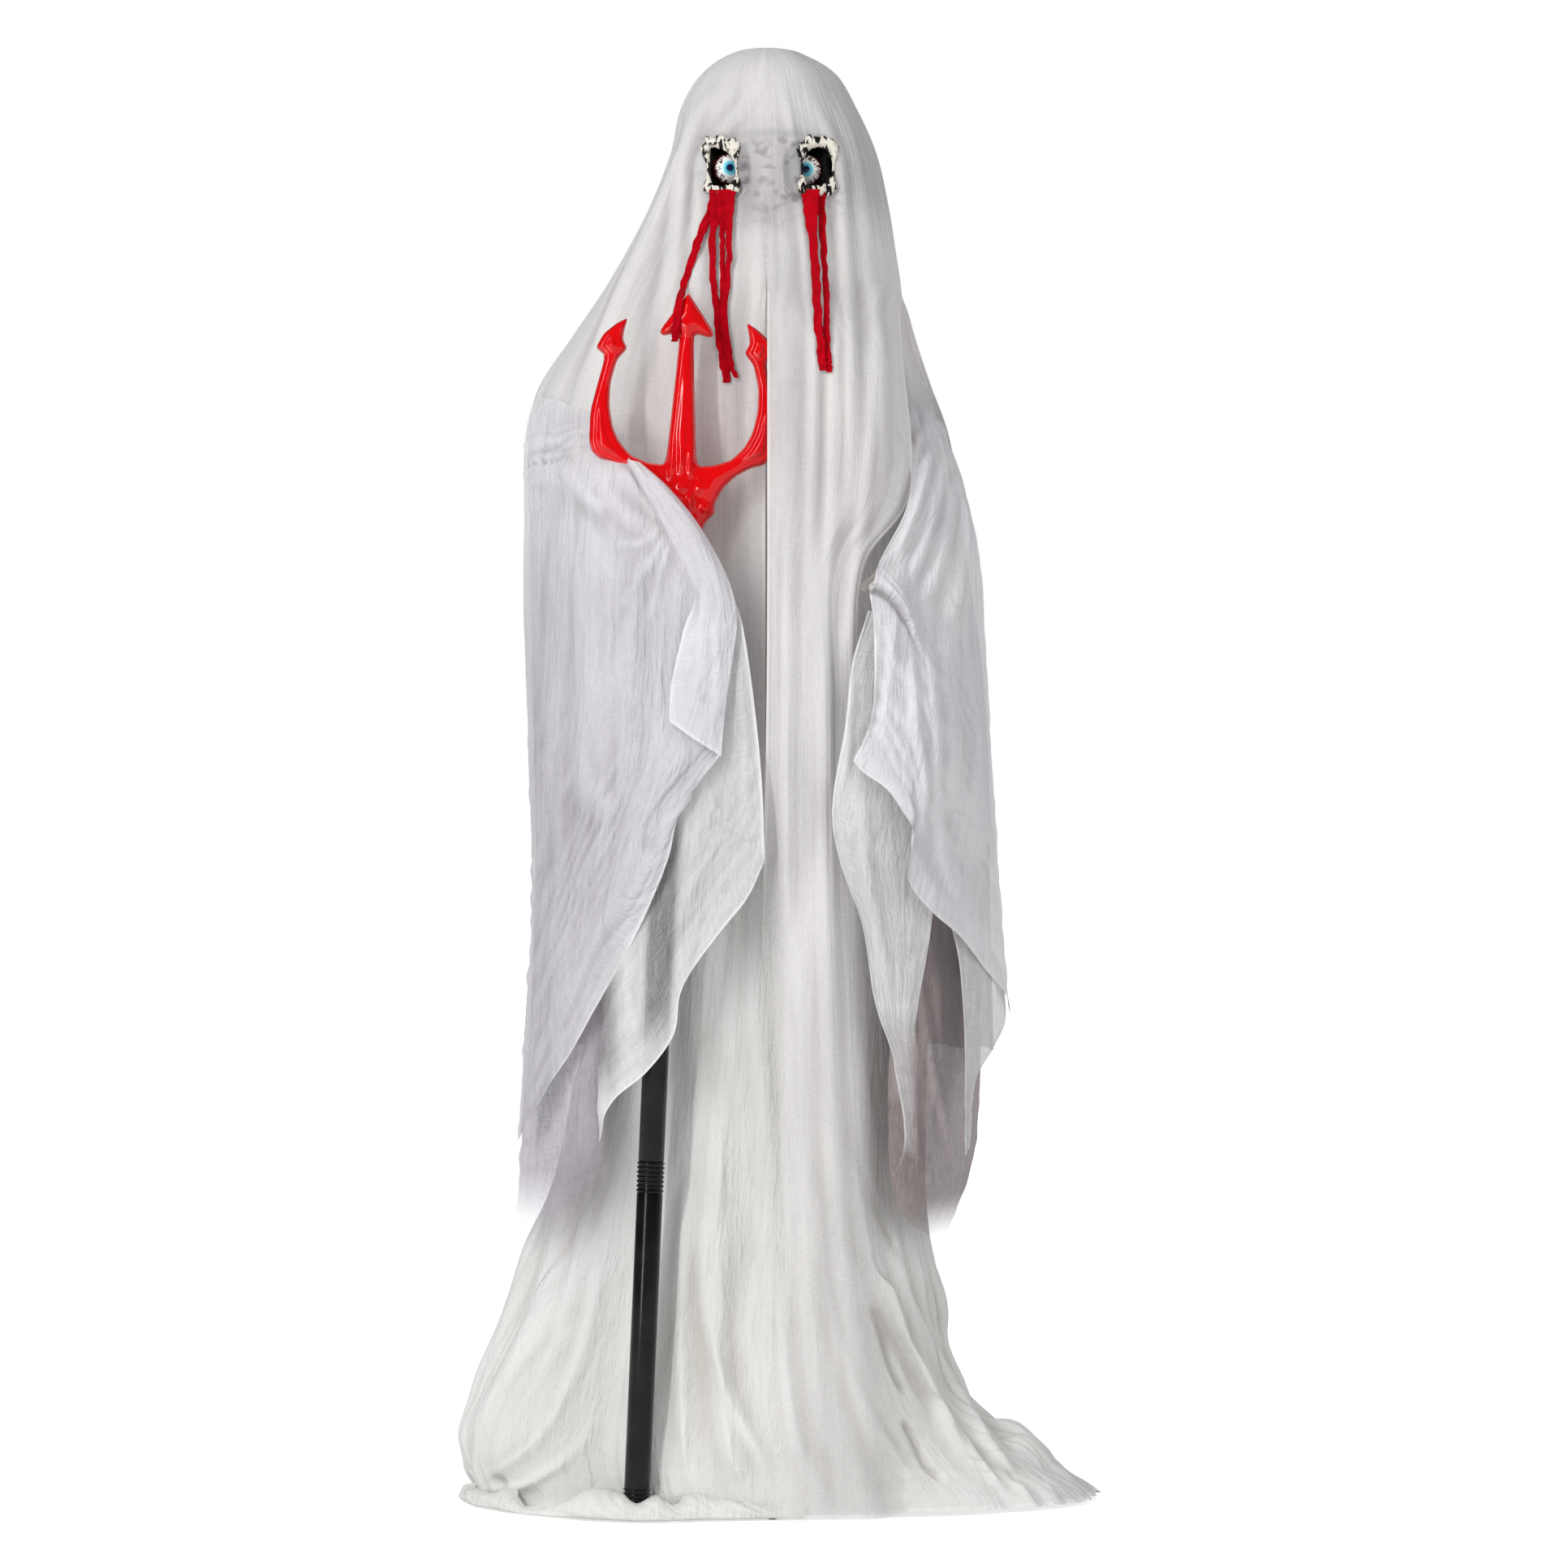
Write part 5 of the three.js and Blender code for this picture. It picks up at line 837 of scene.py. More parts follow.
# Each station: height, right half-width, left half-width, front reach, back reach
GOWN_STATIONS = np.array([
    [1401.8, 46, 46, 34, 34], [1401.8, 116, 116, 78, 78], [1351, 186, 186, 100, 96],
    [1148, 205, 205, 160, 112], [840, 212, 208, 190, 132], [532, 250, 205, 196, 170],
    [308, 318, 206, 200, 218], [140, 386, 252, 215, 262], [56, 408, 346, 226, 284],
    [4, 390, 418, 232, 292],
], float)
POLE_ANGLE = math.atan2(TRIDENT_FOOT[0], -TRIDENT_FOOT[1])
# Main folds of the gown's front, as paths of x and z with their width and rise
GOWN_LINES = [
    ([(97, 470), (104, 380), (124, 295), (164, 200), (222, 90), (290, 20)], 6.5, 12),
    ([(150, 391), (158, 280), (180, 225), (222, 148), (280, 62), (330, 16)], 6.5, 12),
    ([(196, 400), (205, 300), (212, 235), (250, 160), (312, 76), (390, 26)], 6.5, 13),
    ([(228, 380), (232, 290), (246, 220), (290, 140), (350, 84), (404, 50)], 6.5, 11),
    ([(56, 420), (62, 300), (78, 220), (124, 110), (196, 18)], 8, 11),
    ([(176, 330), (188, 250), (214, 190), (256, 110)], 5, 8),
    ([(132, 320), (144, 250), (176, 170), (236, 60)], 5, 8),
    ([(232, 200), (262, 150), (320, 104), (384, 70)], 6, 10),
    ([(-60, 560), (-66, 300), (-58, 120), (-30, 20)], 12, 14),
    ([(-104, 420), (-112, 220), (-104, 30)], 9, 12),
    ([(-84, 420), (-80, 245), (-50, 148), (6, 40)], 8, 10),
    ([(-225, 640), (-252, 420), (-292, 240), (-346, 130), (-388, 60)], 13, 11),
    ([(-205, 330), (-236, 190), (-290, 90), (-370, 26)], 8, 9),
    ([(-216, 470), (-244, 300), (-276, 190), (-330, 96)], 7, 6),
    ([(-282, 420), (-330, 230), (-382, 120), (-398, 50)], 10, 8),
    ([(-196, 180), (-230, 90), (-300, 36), (-372, 12)], 7, 7),
    ([(10, 300), (20, 160), (44, 60), (80, 14)], 8, 9),
    ([(120, 360), (140, 250), (190, 150), (256, 60), (300, 12)], 4.5, 8),
    ([(210, 420), (220, 300), (236, 200), (300, 100), (372, 40)], 4.5, 8),
    ([(240, 300), (262, 200), (316, 110), (384, 56)], 4, 7),
    ([(120, 262), (134, 226), (150, 176), (170, 140)], 4.5, -9),
    ([(160, 120), (172, 98), (190, 62), (215, 40)], 4.5, -9),
    ([(118, 330), (128, 300), (140, 280)], 4, -8),
    ([(236, 190), (262, 120), (310, 60)], 4.5, -8),
    ([(186, 300), (198, 230), (232, 150), (280, 80)], 4, -8),
]


def gown_net(first, last, columns):
    """Net of the gown between two angles about the mast; 0 is the front and left is positive."""
    rows = np.concatenate([np.linspace(0, 0.3, 26), np.linspace(0.31, 0.66, 60),
                           np.linspace(0.665, 0.99, 116), np.linspace(0.9925, 1, 6)])
    height, right, left, ahead, behind = spline(GOWN_STATIONS, rows).T[:, :, None]
    angle = np.linspace(first, last, columns)[None, :]
    low = 1 - height / 1400
    sweep = 1.05 * ease(-height, -640, -10) * np.exp(-((angle - 0.85) / 0.62) ** 2)
    lobe = -0.5 * ease(-height, -420, -20) * np.exp(-((angle + 1.05) / 0.5) ** 2)
    run = (angle - sweep - lobe) * 220
    big = pleat(run / 105, height / 900, 11, 0.2)
    medium = pleat(run / 42 + 0.6 * noise(run / 90, height / 300, 12), height / 520, 13, 0.12)
    small = pleat(run / 19, height / 190 + 0.3 * noise(run / 40, height / 80, 15), 14, 0.15)
    grow = 0.2 + 0.8 * ease(low, 0.1, 0.9)
    patchy = 0.4 + 0.6 * ease(noise(run / 120, height / 260, 16), -0.4, 0.5)
    depth = grow * (12 * (1 - big) + 8.5 * patchy * (1 - medium)) + (0.4 + 1.4 * grow) * (1 - small)
    train = ease(-height, -170, -20) * np.exp(-((angle - 1.25) / 0.7) ** 2)
    swept = ease(-height, -430, -250) * np.exp(-((angle - 1.0) / 0.55) ** 2)
    depth = depth * (1 - 0.6 * train) * (1 - 0.45 * swept)
    near_pole = np.exp(-((angle - POLE_ANGLE) / 0.13) ** 2)
    notch = 46 * near_pole * np.clip(1 - height / 700, 0, 1) ** 0.7
    x = np.sin(angle) * np.where(np.sin(angle) < 0, right, left)
    y = -np.cos(angle) * np.where(np.cos(angle) > 0, ahead, behind)
    reach = np.hypot(x, y)
    ripple = ease(-height, -90, -4) * 13 * (noise(run / 34, height / 60, 17) - 0.35)
    inset = 1 - (notch + depth - ripple * (1 - near_pole)) / np.maximum(reach, 60)
    net = np.stack([x * inset, y * inset, height + 0 * angle], axis=-1)
    lift = 7 * pleat(run / 24, height / 40, 18) + 5 * pleat(run / 60, height / 50, 19)
    lift = ease(-height, -60, -4) * lift
    curl = train * (3 * pleat(angle * 220 / 30 + height / 26, height / 45, 21) + 3 * big)
    net[..., 2] += lift * (1 - np.exp(-net[..., 2] / 14)) + curl
    laid = 0
    for path, width, rise in GOWN_LINES:
        laid = laid + fold_line(net, path, width, rise)
    laid = laid * (1 - near_pole)
    out = facing(net) * laid[..., None]
    out[..., 2] = np.maximum(out[..., 2], 2 - net[..., 2])
    # The second value is the share of painted shade in the creases of the folds.
    return net + out, creases(laid - depth, 6, 6.0)


def gown_painted_shade(net):
    """Painted shade on the gown's sides beside the sleeves, and a greyer tip of the train on the floor."""
    x, y, z = np.moveaxis(net, -1, 0)
    right = 0.32 * np.exp(-((x + 250) / 60) ** 2) * ease(z, 190, 420)
    left = 0.4 * np.exp(-((x - 172) / 42) ** 2) * ease(z, 330, 500)
    tail = 0.3 * ease(x, 310, 400) * ease(-z, -90, -20)
    return (right + left) * (y < 0) + tail


def run_down(net):
    """Length of cloth from the top row of a net to each of its points."""
    steps = np.linalg.norm(np.diff(net, axis=0), axis=-1)
    return np.concatenate([0 * steps[:1], np.cumsum(steps, axis=0)])


def hem_share(net, width, sides):
    """1 along the hems of a net and 0 on the cloth; sides are top, right, foot and left."""
    down = run_down(net)
    over = run_down(net.swapaxes(0, 1)).T
    gaps = [down, over[:, -1:] - over, down[-1:] - down, over]
    near = np.min([np.where(use, gap, 1e3) for use, gap in zip(sides, gaps)], axis=0)
    return 1 - ease(near, width * 0.8, width * 1.2)


gown_white = gauze("gown_gauze", colour(230, 229, 227), colour(221, 220, 217), see_through=0.03,
                   crinkle=1.25, glow=0.14, crease_shade=colour(206, 202, 194))
GORES = {
    "front_right": (-0.5 * math.pi, 0.0),
    "front_left": (0.0, 0.5 * math.pi),
    "back_left": (0.5 * math.pi, math.pi),
    "back_right": (math.pi, 1.5 * math.pi),
}
for name, (first, last) in GORES.items():
    net, crease_shade_share = gown_net(first, last, 150)
    uv = weave_map(net)
    share = hem_share(net, width=6, sides=(0, 0, 1, 0))
    points = net.reshape(-1, 3)
    faces = grid_faces(*net.shape[:2])
    middle = points[faces].mean(axis=1)
    beside, ahead, height = np.abs(middle[:, 0]), np.abs(middle[:, 1]), middle[:, 2]
    armhole = (beside > 152) & (ahead < 66) & (height > 1310)
    gore = mesh_piece(f"gore_{name}", points, faces[~armhole], gown_white, uv.reshape(-1, 2),
                      {"hem": share.ravel(), "crease": crease_shade_share.ravel(), "painted_shade": gown_painted_shade(net).ravel()})
    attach(gore, "frame")
    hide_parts(f"gown_{name}")

# Hem roll
# The gown's front hem is rolled up on the floor before the pole, so that it hides the pole's foot.
ROLL_PATH = [(-390, -30), (-374, -90), (-338, -146), (-288, -190), (-230, -226), (-180, -246), (-132, -248),
             (-88, -236), (-30, -226), (40, -222)]
ROLL_SECTION = [(-36, 37), (-18, 36), (-6, 31), (2, 23), (6, 14), (4, 5), (-4, 2.5), (-20, 2.5)]
ROLL_ROWS, ROLL_COLUMNS, ROLL_PITCH = 40, 240, 2.2
along = spline(np.array(ROLL_PATH, float), np.linspace(0, 1, ROLL_COLUMNS))
ahead = np.gradient(along, axis=0)
outward = np.stack([ahead[:, 1], -ahead[:, 0]], axis=-1) / np.hypot(*ahead.T)[:, None]
section = spline(np.array(ROLL_SECTION, float), np.linspace(0, 1, ROLL_ROWS))
run = np.arange(ROLL_COLUMNS) * ROLL_PITCH
# The roll is thickest in its middle, before the pole's foot
size = 0.5 + 0.4 * ease(run, 150, 230) + 0.4 * noise_along(run / 46, 24) - 0.25 * ease(run, 330, 420)
size = np.maximum(size, 0.15)
wander = 5 * noise_along(run / 45, 25)
net = np.empty((ROLL_ROWS, ROLL_COLUMNS, 3))
net[..., :2] = along + outward * (section[:, :1] * size + wander)[..., None]
net[..., 2] = 2.5 + (section[:, 1:] - 2.5) * size
twist = run[None, :] / 30 + section[:, 1:] / 22
out = 3.2 * (pleat(twist, run[None, :] / 160, 26, 0.15) - 0.5) * ease(net[..., 2], 3, 12)
uv = weave_map(net)
share = hem_share(net, width=5, sides=(0, 0, 1, 0))
net = net + facing(net) * out[..., None]
net[..., 2] = np.maximum(net[..., 2], 2)
# The crease value paints shade into the creases of the roll.
roll = mesh_piece("hem_roll", net.reshape(-1, 3), grid_faces(ROLL_ROWS, ROLL_COLUMNS), gown_white,
                  uv.reshape(-1, 2), {"hem": share.ravel(), "crease": creases(out, 3, 2.0).ravel()})
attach(roll, "frame")


# Sleeves
# Each bell sleeve is thin cool white gauze, gathered at the shoulder, bunched over the bent arm and
# turned back in a soft band at the hand. Below the hand the cloth falls open in zigzag hems.
def crumpled(net, relief, seed, slant):
    """Broad soft facets, creases that slant down the cloth, and folds that run along the hem."""
    uv = weave_map(net)
    wide, tall = uv[..., 0] * 1000, -uv[..., 1] * 1000
    fall = tall / tall.max()
    from_hem = np.linalg.norm(net - net[-1:], axis=-1)
    facets = noise(wide / 78 + tall / 420, tall / 200, seed)
    slanted = pleat((wide + slant * tall) / 36 + 0.35 * noise(wide / 90, tall / 120, seed + 4), tall / 300,
                    seed + 1, 0.18)
    crumple = pleat((wide + 0.5 * slant * tall) / 13 + 0.5 * noise(wide / 30, tall / 50, seed + 7), tall / 70,
                    seed + 8, 0.12)
    along = pleat(from_hem / 32 + 0.3 * noise(wide / 60, tall / 90, seed + 5), wide / 200, seed + 2, 0.12)
    fine = noise(wide / 11 + tall / 60, tall / 50, seed + 3)
    low = ease(fall, 0.4, 0.85)
    patchy = 0.3 + 0.7 * ease(noise(wide / 70, tall / 150, seed + 6), -0.4, 0.4)
    out = relief * (0.9 * facets + 0.6 * patchy * slanted * (1 - 0.6 * low) + 0.6 * along * low)
    return out * (0.35 + 0.65 * ease(fall, 0, 0.3)) + 0.8 * patchy * crumple + 0.5 * fine


def hang(name, node, rows, look, relief, seed, slant, folds=(), sides=(0, 1, 1, 1), extra=None,
         columns=120, length=190, bare=None, painted_shade=None):
    """A layer of sleeve through rows of points. Folds are paths of x and z with their width and rise;
    bare gives the worn share at x, y and z, and the last argument the share of painted shade there."""
    net = loft(rows, np.linspace(0, 1, columns), np.linspace(0, 1, length))
    uv = weave_map(net)
    out = crumpled(net, relief, seed, slant)
    for path, width, rise in folds:
        out = out + fold_line(net, path, width, rise)
    if extra is not None:
        out = out + extra(net)
    share = hem_share(net, width=3.4, sides=sides)
    # The crease value paints shade into the creases of the folds.
    values = {"hem": share.ravel(), "crease": creases(out, deep=5.0).ravel()}
    for key, place in (("bare", bare), ("painted_shade", painted_shade)):
        if place is not None:
            values[key] = place(*np.moveaxis(net, -1, 0)).ravel()
    net = net + facing(net) * (out + 0.9 * share)[..., None]
    layer = mesh_piece(name, net.reshape(-1, 3), grid_faces(*net.shape[:2]), look, uv.reshape(-1, 2), values)
    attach(layer, "frame")
    if node:
        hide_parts(node)
    return layer


sleeve_near = gauze("sleeve_gauze", colour(233, 232, 234), colour(222, 220, 224), see_through=0.09,
                    thread=0.8, crinkle=1.5, glow=0.16)
sleeve_far = gauze("sleeve_far_gauze", colour(229, 228, 228), colour(217, 216, 217), see_through=0.16,
                   thread=0.8, crinkle=1.3, glow=0.16)
# Painted shade: a darker gauze for the back of the right bell, which hangs in shade.
sleeve_rear_shade = gauze("sleeve_rear_shade_gauze", colour(196, 191, 199), colour(170, 164, 173), see_through=0.12,
                    thread=1.0, crinkle=1.6, glow=0.15)
# Painted shade: a dark gauze for the inside of the left bell.
sleeve_inside_shade = gauze("sleeve_inside_shade_gauze", colour(168, 157, 157), colour(140, 129, 129), see_through=0.06,
                    thread=1.0, crinkle=1.6, glow=0.1)

# Right sleeve, near side: from under the veil's wing to a hem that runs up to the hand
RIGHT_NEAR = [
    [[-301, 2, 1388], [-262, -90, 1376], [-224, -148, 1356], [-194, -212, 1318], [-160, -262, 1286],
     [-128, -272, 1254], [-98, -276, 1222]],
    [[-309, -40, 1338], [-266, -150, 1318], [-222, -222, 1290], [-182, -254, 1270], [-146, -266, 1240],
     [-108, -274, 1200], [-72, -279, 1158]],
    [[-309, -52, 1215], [-273, -162, 1205], [-225, -232, 1190], [-186, -259, 1176], [-150, -269, 1156],
     [-114, -276, 1128], [-76, -280, 1095]],
    [[-306, -58, 1080], [-275, -166, 1075], [-226, -237, 1065], [-187, -262, 1060], [-151, -272, 1050],
     [-115, -278, 1030], [-80, -282, 1008]],
    [[-304, -70, 930], [-277, -166, 930], [-232, -233, 930], [-192, -260, 930], [-155, -274, 932],
     [-112, -281, 938], [-70, -284, 952]],
    [[-297, -86, 760], [-277, -160, 762], [-244, -214, 770], [-211, -243, 785], [-176, -262, 812],
     [-134, -276, 860], [-68, -286, 941]],
    [[-305, -102, 600], [-286, -158, 618], [-252, -208, 655], [-212, -240, 702], [-171, -262, 762],
     [-128, -278, 842], [-65, -287, 937]],
    [[-311, -118, 456], [-295, -148, 490], [-257, -192, 549], [-213.5, -229, 631.7], [-168, -256, 713],
     [-126, -276, 808], [-111, -281, 866], [-62, -288, 933.5]],
]


def elbow_wrinkles(net):
    """Level wrinkles where the sleeve bunches over the bent arm."""
    x, z = net[..., 0], net[..., 2]
    patch = np.exp(-((z - 1306 - (x + 290) * 0.1) / 38) ** 2) * np.exp(-((x + 285) / 62) ** 2)
    wave = pleat(z / 15 - x / 70 + 0.5 * noise(x / 35, z / 30, 91), x / 80, 92, 0.12)
    puff = 9 * np.exp(-((z - 1275) / 30) ** 2) * np.exp(-((x + 215) / 60) ** 2)
    return 8 * patch * wave + puff


# Painted shade greys the sleeve from the elbow down, most on its outer side.
hang("sleeve_near_right", "sleeve_right_near", RIGHT_NEAR, sleeve_near, relief=7.5, seed=31, slant=0.14,
     folds=[
      ([(-214, 1250), (-226, 1120), (-222, 1000), (-226, 900), (-190, 850)], 15, 8),
      ([(-150, 1190), (-166, 1100), (-178, 980), (-170, 850)], 12, 6),
      ([(-262, 1060), (-268, 900), (-262, 780), (-282, 640)], 12, 6),
      ([(-130, 900), (-176, 800), (-222, 690), (-270, 590)], 10, 5),
      ([(-160, 960), (-200, 850), (-240, 740)], 9, 4),
      ([(-128, 1216), (-150, 1194), (-196, 1186)], 5, 5), ([(-126, 1206), (-150, 1160), (-184, 1110)], 5, 5),
      ([(-120, 1196), (-136, 1150), (-148, 1090)], 5, 4), ([(-180, 1286), (-150, 1240), (-128, 1222)], 7, 6),
      ([(-206, 1292), (-190, 1240), (-150, 1204)], 9, 6), ([(-262, 1300), (-236, 1262), (-196, 1226)], 9, 6)],
     sides=(0, 0, 1, 0), extra=elbow_wrinkles,
     painted_shade=lambda x, y, z: (0.22 + 0.26 * ease(-x, 130, 300)) * ease(-z, -1330, -1080),
     bare=lambda x, y, z: 0.95 * (1 - ease(0.42 * (x + 300) - z, -1388, -1366)) * (x < -190))

# The band over the right hand, turned back from the sleeve's mouth, and the fold that falls from it
RIGHT_BAND = [
    [[-182, -256, 1293], [-175, -264, 1293], [-168, -268, 1292], [-161, -268, 1290], [-155, -262, 1286]],
    [[-162, -274, 1254], [-153, -284, 1259], [-144, -289, 1263], [-135, -288, 1264], [-126, -276, 1260]],
    [[-137, -281, 1210], [-125, -291, 1216], [-114, -296, 1221], [-102, -294, 1223], [-91, -281, 1219]],
    [[-117, -285, 1169], [-102, -295, 1172], [-88, -299, 1173], [-74, -297, 1170], [-60.5, -284, 1164]],
    [[-95, -287, 1128], [-85, -296, 1131], [-73, -300, 1133], [-61, -298, 1134], [-49, -287, 1132]],
    [[-107, -288, 1086], [-92, -294, 1088], [-76, -297, 1090], [-59, -295, 1091], [-44, -287, 1092]],
    [[-116.5, -287, 1046], [-99, -293, 1047], [-82, -296, 1046], [-65, -294, 1043], [-51, -288, 1038]],
    [[-123, -286, 1013], [-106, -292, 1008], [-90, -295, 1001], [-74, -294, 993], [-58, -289, 984]],
    [[-124, -286, 975.8], [-112, -291, 967], [-97, -294, 956], [-80, -294, 945], [-62, -290, 933.5]],
]
# Painted shade greys the band evenly a little.
hang("sleeve_band_right", None, RIGHT_BAND, sleeve_near, relief=2.4, seed=36, slant=0.1,
     folds=[
      ([(-84, 1150), (-84, 1060), (-96, 990)], 7, 3), ([(-70, 1110), (-66, 1030), (-74, 960)], 6, 2.6)],
     sides=(0, 0, 1, 1), columns=50, length=120, painted_shade=lambda x, y, z: 0.1 + 0 * x,
     bare=lambda x, y, z: 0.95 * ease(z, 1090, 1150) * (1 - ease(
         x - np.interp(z, [1128, 1169, 1210, 1254, 1293], [-95, -117, -137, -162, -182]), 1, 12)))

# Right sleeve, far side: sheer, open to the hand, its hem falling to a rolled point beside the pole
RIGHT_FAR = [
    [[-214, -222, 1240], [-185, -243, 1228], [-150, -258, 1212], [-115, -267, 1192], [-90, -272, 1168],
     [-66, -278, 1150], [-51, -281, 1138]],
    [[-214, -225, 1085], [-186, -244, 1082], [-152, -258, 1080], [-118, -267, 1080], [-88, -273, 1084],
     [-60, -278, 1090], [-37, -281, 1097]],
    [[-214, -226, 905], [-184, -244, 908], [-150, -257, 916], [-116, -266, 926], [-82, -271, 936],
     [-48, -274, 944], [-16.6, -276, 951]],
    [[-213, -228, 745], [-186, -243, 752], [-152, -254, 775], [-118, -262, 803], [-82, -268, 835],
     [-46, -271, 860], [-11, -272, 874]],
    [[-212, -228, 600], [-192, -240, 610], [-158, -252, 640], [-124, -260, 690], [-88, -266, 748],
     [-50, -269, 797], [-10, -270, 832]],
    [[-210, -226, 462], [-194, -238, 512], [-152, -250, 550], [-119, -257, 597], [-112, -259, 643],
     [-99, -262, 671], [-61, -266, 723], [-30, -268, 762], [-9, -268, 808]],
]
hang("sleeve_far_right", "sleeve_right_far", RIGHT_FAR, sleeve_far, relief=5, seed=41, slant=0.12,
     folds=[
      ([(-78, 900), (-60, 858), (-14, 824)], 3, 4), ([(-40, 1060), (-34, 960), (-30, 860)], 7, 4),
      ([(-70, 820), (-112, 740), (-150, 640), (-180, 560)], 9, 5),
      ([(-200, 620), (-203, 540), (-206, 480)], 6, 6)], sides=(0, 1, 1, 0),
     bare=lambda x, y, z: 0.9 * (1 - ease(x, -212, -176)) * ease(z, 500, 580) + 0.48 * (
         np.exp(-((x + 134 + 0.059 * (720 - z)) / 19) ** 6) * ease(z, 560, 640) * (1 - ease(z, 820, 900))))

# Right sleeve, back of the bell: the cloth that shows below the near hem, darkened by painted shade, its
# corner worn thin
RIGHT_REAR = [
    [[-296, -20, 900], [-268, -120, 900], [-232, -180, 900], [-192, -205, 900]],
    [[-303, -22, 650], [-272, -124, 650], [-232, -186, 650], [-192, -208, 650]],
    [[-314, -20, 450], [-282, -118, 450], [-238, -186, 450], [-194, -210, 445]],
    [[-331, -14, 292], [-298, -108, 300], [-248, -184, 318], [-196, -212, 345]],
]
hang("sleeve_rear_right", None, RIGHT_REAR, sleeve_rear_shade, relief=5, seed=46, slant=0.05,
     sides=(0, 0, 0, 0),
     columns=70, length=130, bare=lambda x, y, z: 0.94 * np.maximum(
         ease(1.3 * np.maximum(x + 264, 0) - z, -430, -305), ease(x, -226, -192)))

# Left sleeve, near side: a puffed shoulder, a smooth upper arm, and the rolled rim over the hand
LEFT_NEAR = [
    [[139, -62, 1344], [152, -34, 1362], [165, -2, 1368], [181, 22, 1360], [197, 48, 1336]],
    [[152, -104, 1346], [168, -66, 1371], [186, -28, 1376], [201, 2, 1361], [211, 28, 1336]],
    [[166, -164, 1308], [184, -134, 1330], [206, -92, 1335], [224, -42, 1318], [230, 8, 1298]],
    [[163, -226, 1238], [190, -204, 1250], [216, -152, 1256], [240, -80, 1250], [249, 0, 1232]],
    [[118, -286, 1142], [154, -270, 1149], [194, -234, 1153], [237, -150, 1152], [260, -10, 1150]],
    [[122, -288, 1092], [152, -280, 1092], [192, -242, 1090], [240, -150, 1086], [265, -16, 1082]],
    [[118, -290, 975], [150, -282, 972], [194, -248, 962], [246, -160, 950], [275, -24, 940]],
    [[98, -292, 928], [109.5, -292, 914.7], [138.8, -289, 893.6], [156, -286, 869], [166, -284, 850],
     [162.5, -282, 820.8], [161, -279, 788], [170, -272, 770], [194.6, -251, 742], [226.8, -211, 713.5],
     [258, -160, 675], [286, -100, 638], [291, -56, 608]],
]


def rolled_rim(net):
    """The upper sleeve ends in a soft roll that stands over the hanging part, and puffs at the shoulder."""
    x, z = net[..., 0], net[..., 2]
    rim = [(105, 1130), (113, 1131), (122, 1138), (132, 1135), (142, 1127), (152, 1116), (165, 1097),
           (175, 1071), (190, 1030)]
    above = z - np.interp(x, *zip(*rim))
    fade = 1 - ease(x, 158, 186)
    step = 13 * ease(above, -3, 2.5) * np.exp(-np.clip(above, 0, 200) / 34) * fade
    groove = -2.5 * np.exp(-((above + 5) / 5) ** 2) * fade
    gather = pleat((x - 150) / 13 + z / 60, z / 55, 94, 0.15) * np.exp(-((z - 1345) / 26) ** 2)
    bunch = pleat(above / 11 + x / 40, (x + z) / 50, 95, 0.15) * ease(above, 0, 8) * fade
    bunch = bunch * (1 - ease(above, 20, 70))
    return step + groove + 6 * gather * (net[..., 1] < 10) + 5 * bunch


hang("sleeve_near_left", "sleeve_left_near", LEFT_NEAR, sleeve_near, relief=5.5, seed=51, slant=0.06,
     folds=[
      ([(196, 1326), (176, 1240), (144, 1160)], 6, 7), ([(214, 1316), (198, 1230), (164, 1136)], 7, 7),
      ([(226, 1292), (213, 1210), (188, 1116)], 7, 6), ([(239, 1262), (232, 1180), (210, 1084)], 7, 5),
      ([(182, 1340), (170, 1290), (162, 1236)], 6, 5),
      ([(222, 1200), (214, 1090), (222, 960), (218, 840)], 11, 5),
      ([(148, 1110), (142, 1030), (132, 950)], 7, 5),
      ([(166, 1070), (170, 980), (180, 900), (174, 820)], 6, 5),
      ([(190, 1070), (196, 960), (200, 860)], 6, 4), ([(246, 1080), (256, 940), (262, 800)], 10, 5),
      ([(128, 1090), (124, 1020), (112, 950)], 5, 3.5), ([(200, 900), (206, 820), (240, 740)], 8, 4)],
     extra=rolled_rim)

# Left sleeve: the far side with its long slanting hem, the return under the near hem, and the inside, a dark
# sheet of painted shade
LEFT_FAR = [
    [[116, -268, 1110], [140, -258, 1110], [170, -232, 1108], [200, -186, 1105], [225, -126, 1100]],
    [[96, -277, 1045], [126, -268, 1040], [160, -242, 1035], [195, -196, 1030], [232, -116, 1025]],
    [[87, -280, 967], [118, -271, 955], [152, -248, 945], [190, -212, 935], [225, -146, 925]],
    [[71.5, -281, 865], [102, -272, 850], [136, -255, 838], [170, -234, 826], [205, -196, 815]],
    [[79, -280, 813], [104, -272, 800], [134, -259, 785], [164, -245, 770], [197, -222, 752]],
    [[94, -278, 770], [114, -271, 752], [138, -261, 735], [162, -249, 720], [189, -230, 694]],
    [[108.5, -275, 730], [124, -269, 705], [142, -262, 680], [161, -253, 664], [181, -238, 650]],
    [[125, -271, 632], [136, -267, 624], [148, -262, 616], [160, -256, 610], [174, -247, 604]],
    [[141.6, -268, 581], [149, -265, 574], [158, -261, 566], [168, -257, 560], [180, -251, 556]],
    [[151, -265, 534], [159, -263, 530], [169, -260, 526], [179, -256, 522], [190, -251, 519]],
    [[159, -264, 488], [166, -262, 486], [174, -259, 484], [184, -255, 482], [194, -250, 480]],
    [[157, -263, 450], [164, -261, 447], [172, -258, 445], [182, -254, 443], [192, -250, 441]],
    [[144, -262, 425], [150, -260, 423], [158, -257, 421], [168, -254, 420], [180, -250, 419]],
]
